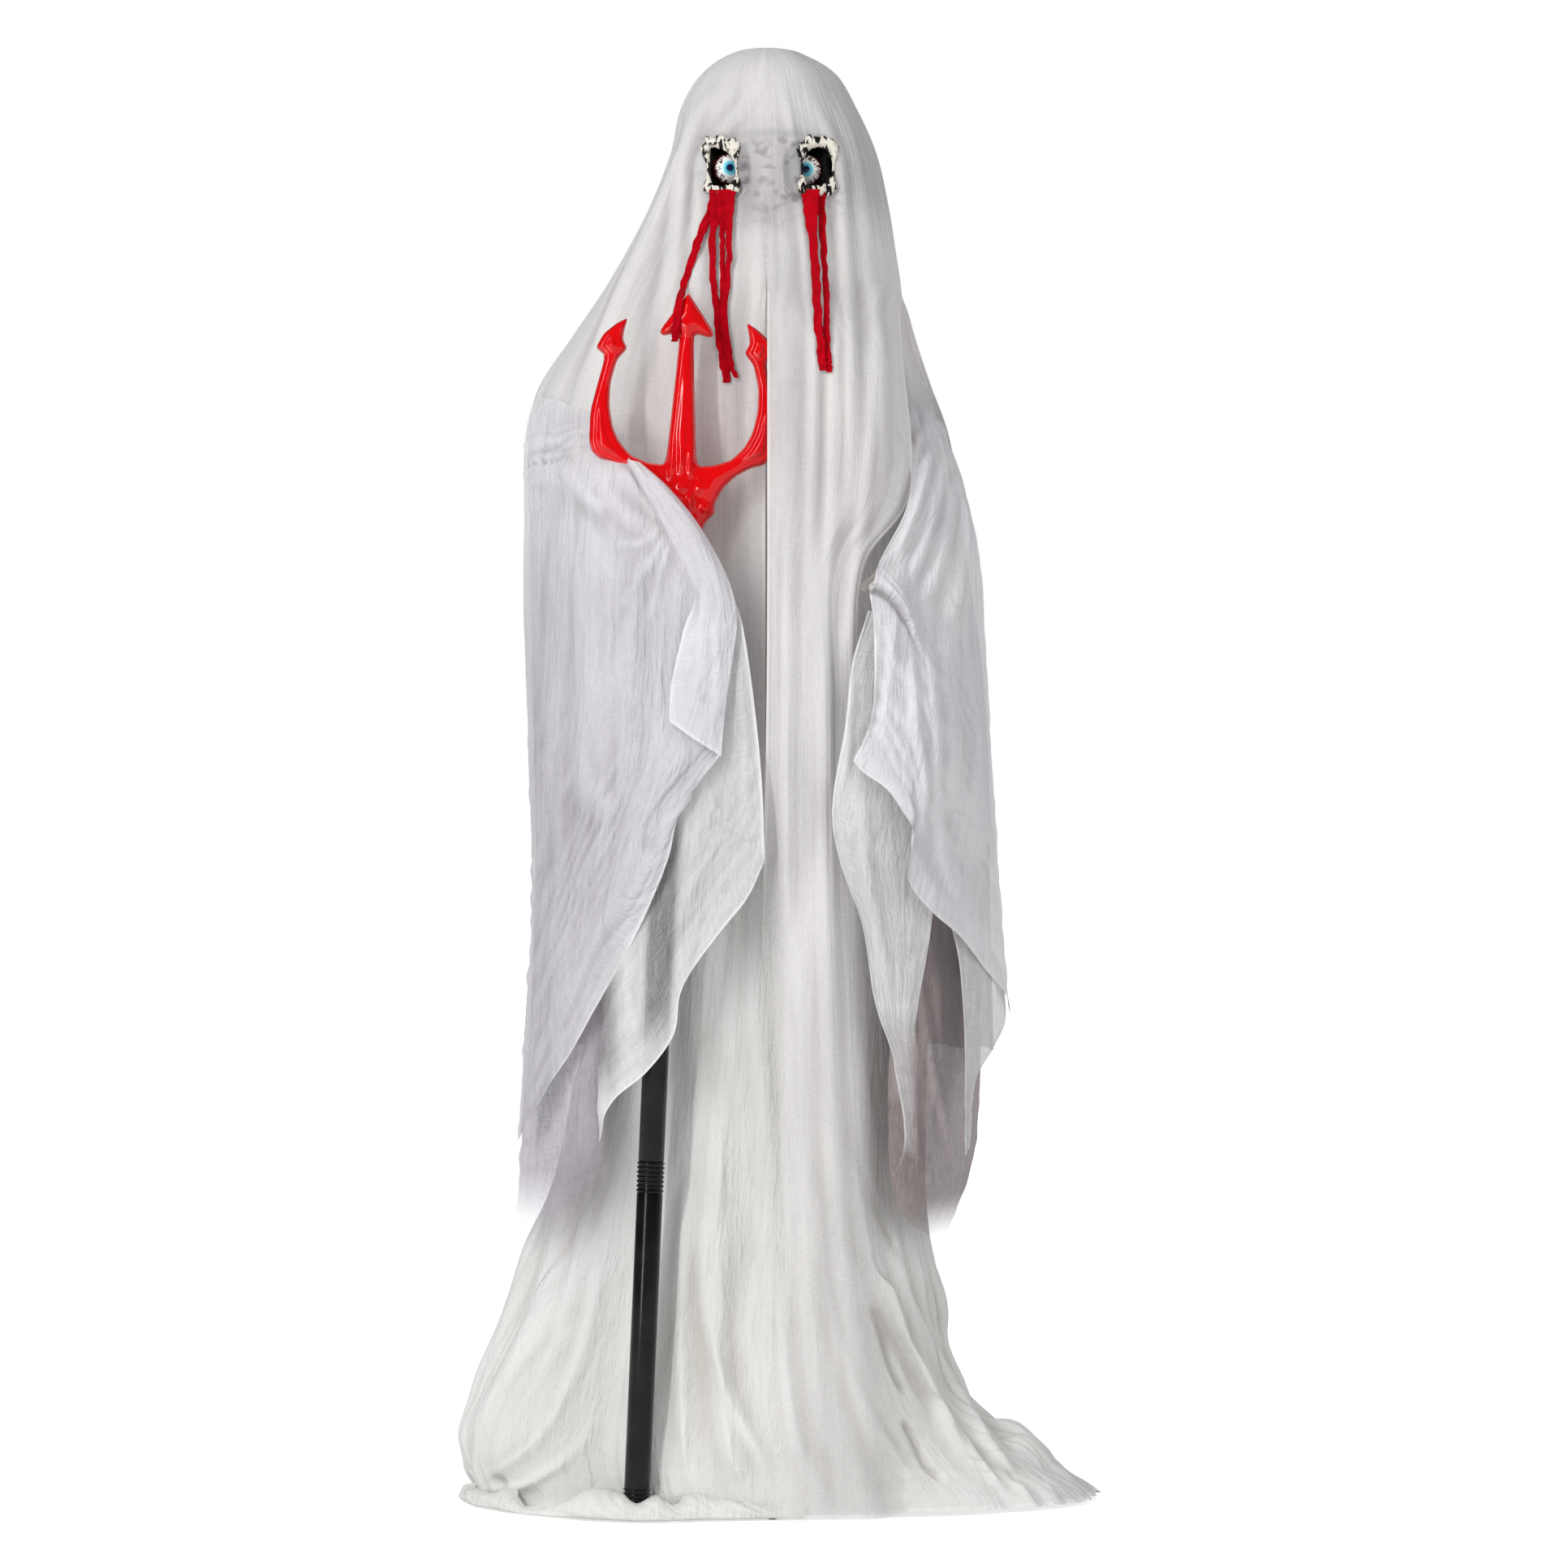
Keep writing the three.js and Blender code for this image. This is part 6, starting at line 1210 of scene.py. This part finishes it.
hang("sleeve_far_left", "sleeve_left_far", LEFT_FAR, sleeve_far, relief=4, seed=61, slant=0.08,
     folds=[
      ([(98, 1040), (92, 960), (84, 880)], 6, 4), ([(110, 900), (112, 820), (128, 720), (148, 620)], 8, 4)],
     sides=(0, 0, 0, 1), bare=lambda x, y, z: np.maximum(
         ease(-z, -640, -560) * (0.3 + 0.65 * ease(x, 158, 184)), 0.95 * ease(-z, -500, -430)))
LEFT_RETURN = [
    [[205, -198, 770], [235, -176, 740], [262, -136, 708], [282, -88, 676], [290, -48, 654]],
    [[226, -194, 695], [246, -173, 684], [266, -138, 668], [283, -94, 648], [291, -50, 628]],
    [[232, -190, 640], [250, -170, 635], [268, -138, 627], [282, -98, 616], [290, -58, 604]],
    [[235, -186, 580], [247, -170, 578], [259, -148, 576], [268, -120, 575], [276, -86, 577]],
    [[236, -184, 520], [239, -178, 522], [242, -172, 524], [245, -164, 526], [249, -150, 530]],
    [[237, -184, 444], [238, -182, 446], [239, -180, 448], [240, -178, 450], [242, -174, 452]],
]
hang("sleeve_return_left", None, LEFT_RETURN, sleeve_far, relief=2.5, seed=66, slant=0.05,
     columns=50, length=90)
LEFT_INSIDE = [
    [[150, -180, 800], [185, -168, 800], [220, -136, 800], [248, -88, 800], [264, -30, 800]],
    [[148, -190, 640], [180, -177, 640], [212, -146, 640], [240, -98, 640], [260, -30, 640]],
    [[142, -195, 520], [170, -182, 520], [204, -148, 515], [236, -95, 512], [258, -30, 520]],
    [[142, -197, 440], [168, -184, 428], [200, -148, 416], [230, -90, 412], [249, -30, 425]],
    [[148, -197, 392], [165, -186, 366], [188, -150, 345], [205, -90, 330], [209, -44, 320]],
]
hang("sleeve_inside_left", None, LEFT_INSIDE, sleeve_inside_shade, relief=5, seed=69, slant=0.0,
     folds=[
      ([(176, 700), (186, 600), (205, 510), (226, 430)], 5, 6), ([(200, 690), (206, 580), (226, 500)], 5, 5),
      ([(168, 560), (176, 480), (180, 410)], 6, 4)], sides=(0, 0, 0, 0), columns=90, length=130,
     bare=lambda x, y, z: 0.92 * ease(-z, -395, -318))

# Veil
# One long sheet of the sheer gauze thrown over the head and slit from the hem up. One panel falls in
# front to the floor, one lies over the right shoulder, and the widest hangs down the back.
HOOD_FOOT, HOOD_TALL = 1530, 298
# Each ring of the hood: height, right half-width, left half-width, front reach, back reach
HOOD_RINGS = [
    [1826, 8, 8, 8, 8], [1818.6, 48, 46, 52, 50], [1794.8, 84, 86, 86, 86], [1751, 112, 112, 112, 112],
    [1693.3, 127, 136, 132, 124], [1624.7, 156, 150, 150, 126], [1571.9, 186, 157, 176, 124],
    [1530, 212, 162, 204, 124],
]
# Each panel: its first and last angle on the hood, and its rows below the hood
PANELS = {
    "wing": (-0.5 * math.pi, -0.03, [
        [[-252, -4, 1470], [-222, -88, 1470], [-182, -142, 1470], [-100, -194, 1472], [-9, -214, 1475]],
        [[-300, 4, 1396], [-258, -88, 1396], [-204, -148, 1393], [-105, -201, 1388], [-9, -212, 1384]],
        [[-309, 6, 1346], [-268, -92, 1342], [-212, -150, 1337], [-105, -196, 1322], [-9, -207, 1304]],
        [[-308, 5, 1336], [-270, -90, 1330], [-213, -148, 1322], [-105, -193, 1305], [-9, -206, 1280]],
        [[-307, 4, 1326], [-270, -88, 1318], [-213, -145, 1302], [-105, -191, 1210], [-9, -205, 1120]],
        [[-306, 2, 1316], [-270, -86, 1306], [-213, -143, 1286], [-105, -192, 1060], [-9, -208, 960]],
        [[-305, 0, 1306], [-270, -84, 1295], [-213, -141, 1268], [-105, -194, 900], [-9, -211, 800]],
    ]),
    "front": (-0.03, 0.46 * math.pi, [
        [[-6, -246, 1475], [50, -248, 1475], [118, -202, 1475], [158, -108, 1475]],
        [[-6, -272, 1425], [60, -270, 1425], [128, -232, 1425], [160, -150, 1425]],
        [[-6, -273, 1250], [60, -271, 1250], [122, -247, 1250], [167, -202, 1250]],
        [[-6, -270, 1165], [40, -269, 1165], [78, -263, 1165], [112, -248, 1165]],
        [[-7, -263, 1000], [40, -262, 1000], [76, -256, 1000], [106, -236, 1000]],
        [[-16, -258, 500], [40, -257, 500], [90, -251, 500], [130, -226, 500]],
        [[-22, -261, 5], [44, -262, 5], [112, -258, 5], [176, -238, 5]],
    ]),
    "back": (0.46 * math.pi, 1.5 * math.pi, [
        [[176, -8, 1470], [118, 98, 1470], [-10, 138, 1470], [-165, 104, 1470], [-252, -4, 1470]],
        [[198, 6, 1404], [132, 120, 1404], [-8, 148, 1404], [-195, 120, 1400], [-300, 4, 1396]],
        [[222, 30, 1340], [160, 126, 1340], [0, 156, 1340], [-215, 122, 1343], [-309, 6, 1346]],
        [[247, 34, 1180], [178, 137, 1180], [0, 165, 1180], [-222, 134, 1180], [-306, 24, 1180]],
        [[270, 32, 1000], [190, 146, 1000], [0, 176, 1000], [-230, 150, 1000], [-304, 40, 1000]],
        [[275, 40, 780], [196, 166, 780], [0, 198, 780], [-236, 170, 780], [-300, 50, 780]],
        [[280, 50, 562], [200, 186, 560], [0, 220, 556], [-240, 190, 560], [-298, 60, 564]],
    ]),
}
# Rows of the net between one level and the next, from the crown down
ROWS_BETWEEN = [5, 8, 14, 20, 26, 20, 16, 18, 16, 20, 26, 18, 34, 34]


def hood_ring(ring, angle):
    """Points of a ring, which is centred on the head at the crown and on the mast at the hood's foot."""
    height, right, left, ahead, behind = ring
    on_head = (height - HOOD_FOOT) / HOOD_TALL
    x = on_head * HEAD[0] + np.sin(angle) * np.where(np.sin(angle) < 0, right, left)
    y = on_head * HEAD[1] - np.cos(angle) * np.where(np.cos(angle) > 0, ahead, behind)
    return np.stack([x, y, height + 0 * angle], axis=-1)


def veil_panel(name, columns):
    """Net of a panel from the crown to its hem, and the angle of each column on the hood."""
    first, last, rows = PANELS[name]
    angle = np.linspace(first, last, columns)
    share = (angle - first) / (last - first)
    levels = [hood_ring(ring, angle) for ring in HOOD_RINGS] + [spline(row, share) for row in rows]
    steps = [np.linspace(k, k + 1, count, endpoint=False) for k, count in enumerate(ROWS_BETWEEN)]
    down = np.concatenate([*steps, [len(levels) - 1]]) / (len(levels) - 1)
    return spline(np.stack(levels), down), angle


# Main folds of the veil's front, as paths of x and z with their width and rise
VEIL_LINES = [
    ([(8, 1800), (20, 1727), (28, 1676), (34, 1625), (43, 1538), (50, 1425), (48, 1250), (40, 1000)], 8, 6.5),
    ([(44, 1772), (70, 1708), (83, 1678), (87, 1614), (90, 1538), (95, 1425), (92, 1250)], 8, 5.5),
    ([(70, 1780), (98, 1700), (112, 1620), (122, 1520), (130, 1400), (132, 1260)], 10, 6),
    ([(-12, 1780), (-43, 1734), (-66, 1708), (-88, 1680), (-92, 1640), (-91, 1595), (-94, 1530),
      (-100, 1450)], 7, 5),
    ([(-70, 1770), (-96, 1734), (-111, 1689), (-119, 1614), (-128, 1538), (-143, 1425), (-156, 1320)], 8, 5),
    ([(-108, 1708), (-130, 1651), (-157, 1591), (-194, 1500), (-239, 1387)], 10, 6),
    ([(-2, 1700), (-14, 1600), (-16, 1500), (-20, 1380), (-28, 1240)], 9, 4),
    ([(72, 1500), (74, 1400), (72, 1250), (66, 1050), (70, 850)], 9, 5),
    ([(18, 1500), (22, 1400), (18, 1200), (16, 950), (10, 700), (14, 400)], 10, 5),
    ([(118, 1470), (122, 1380), (116, 1270), (96, 1130), (90, 980)], 9, 5),
    ([(60, 900), (66, 650), (78, 400), (110, 160), (150, 40)], 13, 8),
    ([(28, 820), (34, 500), (44, 260), (72, 60)], 13, 7),
    ([(98, 860), (104, 600), (124, 360), (168, 160)], 12, 7),
]


def veil_folds(name, net, angle):
    """Depth of the folds, which run out from the crown and hang straight from the brow."""
    tall = -weave_map(net)[..., 1] * 1000
    turn = angle[None, :]
    run = turn * 150
    fall = ease(tall, 0, 560)
    calm = 1 - 0.5 * np.exp(-((turn + 0.85) / 0.5) ** 2)
    face = 1 - 0.6 * np.exp(-((tall - 150) / 90) ** 2) * np.exp(-(turn / 0.55) ** 2)
    big = pleat(run / 60, tall / 1900, 71, 0.3)
    medium = pleat(run / 24 + 0.25 * noise(run / 60, tall / 420, 74), tall / 1100, 72, 0.22)
    small = pleat(run / 9.5, tall / 420, 73, 0.2)
    patchy = 0.35 + 0.65 * ease(noise(run / 80, tall / 300, 75), -0.4, 0.5)
    plain = 1 - 0.6 * (name == "front") * ease(tall, 260, 480)
    depth = (0.5 + 8 * fall) * (1 - big) + (1.2 + 3.2 * fall * plain) * patchy * (1 - medium) * plain
    depth = depth * calm * face + (0.3 + 0.5 * ease(tall, 30, 200)) * plain * (1 - small)
    out = -depth * ease(tall, 10, 60)
    if name == "back":
        share = (turn - angle[0]) / (angle[-1] - angle[0])
        wave = 0.5 - 0.5 * np.cos(2 * np.pi * 6 * share)
        hung = np.interp(-net[..., 2], [-1530, -1440, -1340, -1000, -560], [0, 0.25, 0.5, 0.75, 1])
        return 26 * hung * wave ** 1.3 + 0.45 * out + 4 * fall
    out = out + {"wing": 4, "front": 7}[name] * ease(tall, 60, 600)
    for path, width, rise in VEIL_LINES:
        out = out + fold_line(net, path, width, rise)
    return out


def veil_painted_shade(net, angle):
    """Painted shade: smudges round the eyes and a brow line where the face shows through, the hood's left
    side, and a fold below the chin.
    """
    x, z = net[..., 0], net[..., 2]
    smudges = ease(noise(x / 24, z / 17, 76) + 0.5 * noise(x / 9, z / 7, 77), 0.0, 0.6)
    painted_shade = 0.4 * np.exp(-((x - 26) / 22) ** 2 - ((z - 1400) / 150) ** 2)
    painted_shade += 0.75 * np.exp(-((x - 2) / 84) ** 4 - ((z - 1652) / 56) ** 4) * smudges
    painted_shade += 0.3 * np.exp(-((z - 1706 + x * x / 1400) / 5) ** 2) * np.exp(-(x / 80) ** 4)
    painted_shade += 0.16 * np.exp(-((x + 15) / 66) ** 4 - ((z - 1650) / 70) ** 4)
    return painted_shade * (net[..., 1] < 0) + 0.42 * ease(angle[None, :], 0.3, 0.85) * ease(z, 1560, 1650)


veil_look = gauze("veil_gauze", colour(232, 230, 228), colour(222, 220, 219), see_through=0.1,
                  thread=0.9, crinkle=0.6, glow=0.2)
# Torn openings, as outlines of x and z
EYE_HOLES = {
    "right": [(-79, 1688), (-74, 1692), (-67, 1690), (-60, 1688), (-54, 1684), (-49, 1677), (-45.5, 1668),
              (-44, 1653), (-46, 1641), (-53, 1636), (-63, 1635), (-72, 1636), (-78, 1640), (-80, 1656),
              (-79, 1675)],
    "left": [(38, 1676), (42, 1684), (48, 1689), (58, 1692), (67, 1690), (73, 1684), (75.5, 1672), (75, 1656),
             (72, 1642), (63, 1637), (52, 1635), (43, 1636), (38, 1641), (36.5, 1657)],
}
built = {name: veil_panel(name, count) for name, count in (("wing", 70), ("front", 130), ("back", 150))}
parts = []
for name, (net, angle) in built.items():
    uv = weave_map(net)
    slits = {"wing": (0, 1, 1, 0), "front": (0, 1, 1, 1), "back": (0, 0, 1, 1)}[name]
    hem = hem_share(net, width=4, sides=slits) * ease(-net[..., 2], -1515, -1495)
    out = veil_folds(name, net, angle)
    face = np.exp(-((net[..., 0] - HEAD[0]) / 60) ** 4 - ((net[..., 2] - 1650) / 60) ** 4)
    bare = 0.36 * face * (net[..., 1] < 0)
    net = net + facing(net) * (out + 1.2 * hem)[..., None]
    if name == "front":
        low = ease(-net[..., 2], -960, -560)
        side = np.minimum(np.linspace(0, 1, net.shape[1]), np.linspace(1, 0, net.shape[1]))[None, :]
        net[..., 1] += 48 * low * np.exp(-(side / 0.2) ** 2)
        bare = bare + 0.95 * low * (1 - ease(side, 0, 0.24)) + 0.4 * ease(-net[..., 2], -760, -300)
        hem = hem * (1 - low)
    uv[..., 0] = uv[..., 0] - uv[0, 0, 0] + angle[None, :] * 0.15
    # The crease value and the last value paint shade onto the veil.
    parts.append([net, uv, hem, creases(out), bare, veil_painted_shade(net, angle)])


def join_edges(left, right, height):
    """Brings two panels together down to the top of the slit between them."""
    a, b = left[0], right[0]
    middle = (a[:, -1] + b[:, 0]) / 2
    hold = ease(middle[:, 2], height - 6, height + 26)[:, None]
    for net, edge, order in ((a, -1, slice(None, None, -1)), (b, 0, slice(None))):
        shift = (middle - net[:, edge]) * hold
        fade = np.linspace(1, 0, 12) ** 2
        strip = net[:, order][:, :12]
        strip += shift[:, None, :] * fade[None, :, None]
    top = middle[:, 2] > height + 26
    a[top, -1] = middle[top]
    b[top, 0] = middle[top]


join_edges(parts[0], parts[1], 1512)
join_edges(parts[1], parts[2], 1494)
join_edges(parts[2], parts[0], 1350)
points = np.concatenate([part[0].reshape(-1, 3) for part in parts])
uv = np.concatenate([part[1].reshape(-1, 2) for part in parts])
values = {key: np.concatenate([part[order].ravel() for part in parts])
          for order, key in ((2, "hem"), (3, "crease"), (4, "bare"), (5, "painted_shade"))}
faces = []
start = 0
for net, *_ in parts:
    faces.append(grid_faces(*net.shape[:2]) + start)
    start += net.shape[0] * net.shape[1]
faces = np.concatenate(faces)
for side, hole in EYE_HOLES.items():
    line = evenly(rounded(np.array(hole, float), 2), 2.0)
    turn = np.arange(len(line))
    middle = line.mean(axis=0)
    ragged = 1 + 0.035 * noise_along(turn / 1.7, 81 + len(side))
    faces = cut_hole(points, faces, middle + (line - middle) * ragged[:, None], 1.5)
veil = mesh_piece("veil", points, faces, veil_look, uv, values)
with edited(veil) as bm:
    bmesh.ops.delete(bm, geom=[v for v in bm.verts if not v.link_faces], context="VERTS")
    bmesh.ops.remove_doubles(bm, verts=bm.verts, dist=0.15 * MM)
    rim = [e for e in bm.edges if e.is_boundary and max(v.co.z for v in e.verts) > 1.82]
    bmesh.ops.holes_fill(bm, edges=rim, sides=0)
    bm.normal_update()
veil.data.shade_smooth()
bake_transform(veil)
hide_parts("veil_hood", "veil_front", "veil_wing_right", "veil_back")

# Torn eye openings
# The gauze is torn open over each eye. Its ragged cream edge is stiff with paint, marked with short
# black strokes, and folds out to a flap above the eye and a frayed lip below it. Inside the opening it
# is painted black and tucked back to the eye cup.
def over(pieces):
    """Search trees of finished pieces, to lay cloth on them."""
    graph = bpy.context.evaluated_depsgraph_get()
    return [BVHTree.FromObject(piece, graph) for piece in pieces]


def lie_on(trees, x, z):
    """Depth of the front-most surface at x and z, in millimetres, or None where nothing is hit."""
    best = None
    for tree in trees:
        hit = tree.ray_cast(Vector((x * MM, -1, z * MM)), Vector((0, 1, 0)))[0]
        if hit is not None and (best is None or hit.y < best):
            best = hit.y
    return None if best is None else best / MM


def filled(values):
    """Fills places where nothing was hit from their neighbours."""
    numbers = np.array([np.nan if value is None else value for value in values], float)
    at = np.arange(len(numbers))
    known = ~np.isnan(numbers)
    return np.interp(at, at[known], numbers[known])


torn_look, tree = new_material("torn_edge")
place = add(tree, "TexCoord").outputs["Object"]
slant = add(tree, "Mapping", {"Vector": place, "Rotation": (0, 0.7, 0), "Scale": (1, 0.4, 0.36)}).outputs[0]
strokes = add(tree, "TexNoise", {"Vector": slant, "Scale": 200, "Detail": 1, "Distortion": 0.5}).outputs[0]
strokes = add(tree, "MapRange", {"Value": strokes, "From Min": 0.485, "From Max": 0.51}).outputs[0]
patches = add(tree, "TexNoise", {"Vector": place, "Scale": 95, "Detail": 1}).outputs[0]
patches = add(tree, "MapRange", {"Value": patches, "From Min": 0.34, "From Max": 0.42}).outputs[0]
strokes = add(tree, "Math", {0: strokes, 1: patches}, operation="MULTIPLY").outputs[0]
painted = add(tree, "Attribute", attribute_name="painted").outputs["Fac"]
strokes = add(tree, "Math", {0: strokes, 1: painted}, operation="MAXIMUM").outputs[0]
tint = add(tree, "Mix", {0: strokes, 6: colour(216, 210, 198), 7: colour(16, 15, 15)}, data_type="RGBA")
fibre = add(tree, "TexNoise", {"Vector": slant, "Scale": 800, "Detail": 2}).outputs[0]
shell = tree.nodes["Principled BSDF"]
shell.inputs["Roughness"].default_value = 0.8
tree.links.new(tint.outputs[2], shell.inputs["Base Color"])
tree.links.new(add(tree, "Bump", {"Height": fibre, "Strength": 0.5, "Distance": 0.001}).outputs[0],
               shell.inputs["Normal"])

EDGE_PITCH = 0.9
trees = over([veil])
for side, hole in EYE_HOLES.items():
    line = evenly(rounded(np.array(hole, float), 2), EDGE_PITCH)
    middle = line.mean(axis=0)
    away = line - middle
    away /= np.hypot(*away.T)[:, None]
    turn = np.arange(len(line)) * EDGE_PITCH
    above = ease(away[:, 1], 0.25, 0.85)
    below = ease(-away[:, 1], 0.4, 0.85)
    outer = 0.8 + 12 * above + 9.5 * below
    outer = outer * (1 + 0.34 * noise_along(turn / 6.5, 101 + len(side))
                     + 0.22 * noise_along(turn / 2.2, 111 + len(side)))
    frayed = np.abs(noise_along(turn / 2.6, 121 + len(side)))
    lip = 0.4 + (0.4 * above + below) * (1.8 + 2.6 * frayed)
    rings = []
    for share in np.linspace(0, 1, 9):
        reach = -lip * (1 - share) + outer * share
        flat = line + away * reach[:, None]
        depth = filled([lie_on(trees, x, z) for x, z in line + away * np.maximum(reach, 1.5)[:, None]])
        depth = np.convolve(np.concatenate([depth[-6:], depth, depth[:6]]), np.ones(7) / 7, "same")[6:-6]
        puff = 1.0 + 2.6 * math.sin(math.pi * share) * (0.5 + above + 0.8 * below) + 4.5 * below
        puff = puff + 0.9 * noise(turn / 4.5, 0 * turn + share * 3, 131)
        rings.append(np.stack([flat[:, 0], depth - puff, flat[:, 1]], axis=-1))
    # The tucked part ends on the rim of the eye cup
    centre = EYES[side]
    outward = np.clip(3 * away[:, 0] * math.copysign(1, centre[0] - HEAD[0]), -1, 1)
    back = [centre[0] + away[:, 0] * (32 + 5 * outward), 0 * outward, centre[2] + 37 * away[:, 1]]
    back = np.stack(back, axis=-1)
    over_mask = 1 - ((back[:, 0] - HEAD[0]) / HEAD_WIDE) ** 2 - ((back[:, 2] - HEAD[2]) / HEAD_TALL) ** 2
    back[:, 1] = HEAD[1] - HEAD_DEEP * np.sqrt(np.maximum(over_mask, 0.02)) - 1
    tucked = [rings[0] * (1 - share) + back * share for share in np.linspace(0, 1, 9)[1:]]
    net = np.stack(rings[::-1] + tucked)
    painted = np.repeat(np.arange(len(net)) >= len(rings), len(line)).astype(float)
    edge = mesh_piece(f"eye_edge_{side}", net.reshape(-1, 3), grid_faces(len(net), len(line), closed=True),
                      torn_look, None, {"painted": painted})
    with edited(edge) as bm:
        if sum(face.normal.y * face.calc_area() for face in bm.faces) > 0:
            bmesh.ops.reverse_faces(bm, faces=bm.faces)
    give_wall(edge, 0.9)
    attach(edge, "head")

# Red strips
# Torn lengths of red felted cloth that hang from the eyes over the veil and the trident. The one on the
# right eye splits in three strands, and two of them run together again lower down.
red_cloth, tree = new_material("red_cloth")
place = add(tree, "TexCoord").outputs["Object"]
felt = add(tree, "TexNoise", {"Vector": place, "Scale": 900, "Detail": 4, "Roughness": 0.7}).outputs[0]
soft = add(tree, "TexNoise", {"Vector": place, "Scale": 75, "Detail": 3}).outputs[0]
tint = add(tree, "Mix", {0: soft, 6: colour(196, 2, 22), 7: colour(138, 0, 14)}, data_type="RGBA")
shell = tree.nodes["Principled BSDF"]
shell.inputs["Roughness"].default_value = 0.95
shell.inputs["Specular IOR Level"].default_value = 0.1
tree.links.new(tint.outputs[2], shell.inputs["Base Color"])
rough = add(tree, "Bump", {"Height": felt, "Strength": 0.7, "Distance": 0.0012}).outputs[0]
rough = add(tree, "Bump", {"Height": soft, "Normal": rough, "Strength": 0.5, "Distance": 0.004}).outputs[0]
tree.links.new(rough, shell.inputs["Normal"])
STRAND_ROWS, STRAND_COLUMNS, STRAND_PITCH = 150, 9, 1.65
# Strands: points in x and z down the middle, and the widths there
STRANDS = {
    "right": [
        [(-66, 1634, 22), (-70, 1618, 18), (-82, 1592, 12), (-92, 1566, 10), (-101, 1540, 9), (-110, 1509, 9),
         (-114, 1475, 9.5), (-117, 1450, 10), (-119, 1438, 8)],
        [(-66, 1634, 24), (-68, 1612, 18), (-73, 1582, 9), (-74, 1545, 7.5), (-71, 1508, 8), (-66, 1474, 12),
         (-61, 1440, 15), (-58, 1412, 13), (-56, 1391, 9)],
        [(-59, 1634, 20), (-61, 1612, 14), (-61.5, 1580, 7), (-61, 1545, 6.5), (-60.5, 1508, 7),
         (-60.5, 1480, 8)],
        [(-54, 1634, 18), (-53, 1612, 12), (-53.5, 1580, 8), (-53.5, 1545, 7), (-56, 1508, 7), (-60, 1474, 9),
         (-56, 1440, 10), (-50, 1412, 7), (-44.5, 1397, 6)],
    ],
    "left": [
        [(47, 1634, 25), (47, 1618, 20), (50, 1571, 11), (52.5, 1523, 10.5), (55, 1475, 10), (58, 1435, 9.5),
         (60.5, 1412, 10), (62, 1401, 9)],
        [(57, 1634, 16), (60, 1618, 11), (62, 1571, 8), (64.5, 1523, 7), (66, 1475, 7.5), (66.5, 1435, 8),
         (68, 1412, 8), (69, 1399, 7)],
    ],
}
for side, strands in STRANDS.items():
    trees = over([veil, trident])
    points, faces, start = [], [], 0
    for order, strand in enumerate(strands):
        x, z, width = spline(strand, np.linspace(0, 1, STRAND_ROWS)).T
        tall = np.arange(STRAND_ROWS) * STRAND_PITCH
        seed = 140 + order + 10 * len(side)
        wave = noise_along(tall / 9, seed)
        x = x + 1.3 * noise_along(tall / 13, seed + 1) * ease(tall, 20, 60)
        width = width * (1 + 0.16 * wave) + 0.5 * noise_along(tall / 2.4, seed + 2)
        depth = np.full(STRAND_ROWS, np.nan)
        for k in range(STRAND_ROWS):
            under = [lie_on(trees, x[k] + s * width[k] / 2, z[k]) for s in (-1, 0, 1)]
            depth[k] = min([y for y in under if y is not None], default=np.nan)
        depth = filled(depth)
        lowest = np.array([depth[max(k - 5, 0):k + 6].min() for k in range(STRAND_ROWS)])
        depth = np.convolve(np.pad(lowest, 5, mode="edge"), np.ones(11) / 11, "same")[5:-5]
        depth -= 2.2 + 1.1 * order + 0.6 * noise_along(tall / 8, seed + 3)
        across = np.linspace(-0.5, 0.5, STRAND_COLUMNS)
        cup = 1.6 * noise(across[None, :] * 2.2 + tall[:, None] / 26, tall[:, None] / 17, seed + 4)
        net = np.stack([x[:, None] + across * width[:, None], depth[:, None] + cup,
                        z[:, None] + 0 * across], axis=-1)
        points.append(net.reshape(-1, 3))
        faces.append(grid_faces(STRAND_ROWS, STRAND_COLUMNS) + start)
        start += STRAND_ROWS * STRAND_COLUMNS
    strip = mesh_piece(f"red_strip_{side}", np.concatenate(points), np.concatenate(faces), red_cloth)
    wall = give_wall(strip, 1.1)
    bpy.context.view_layer.update()
    solid = bpy.data.meshes.new_from_object(strip.evaluated_get(bpy.context.evaluated_depsgraph_get()))
    strip.modifiers.remove(wall)
    strip.data = solid
    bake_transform(strip)
    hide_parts(f"strip_{side}")
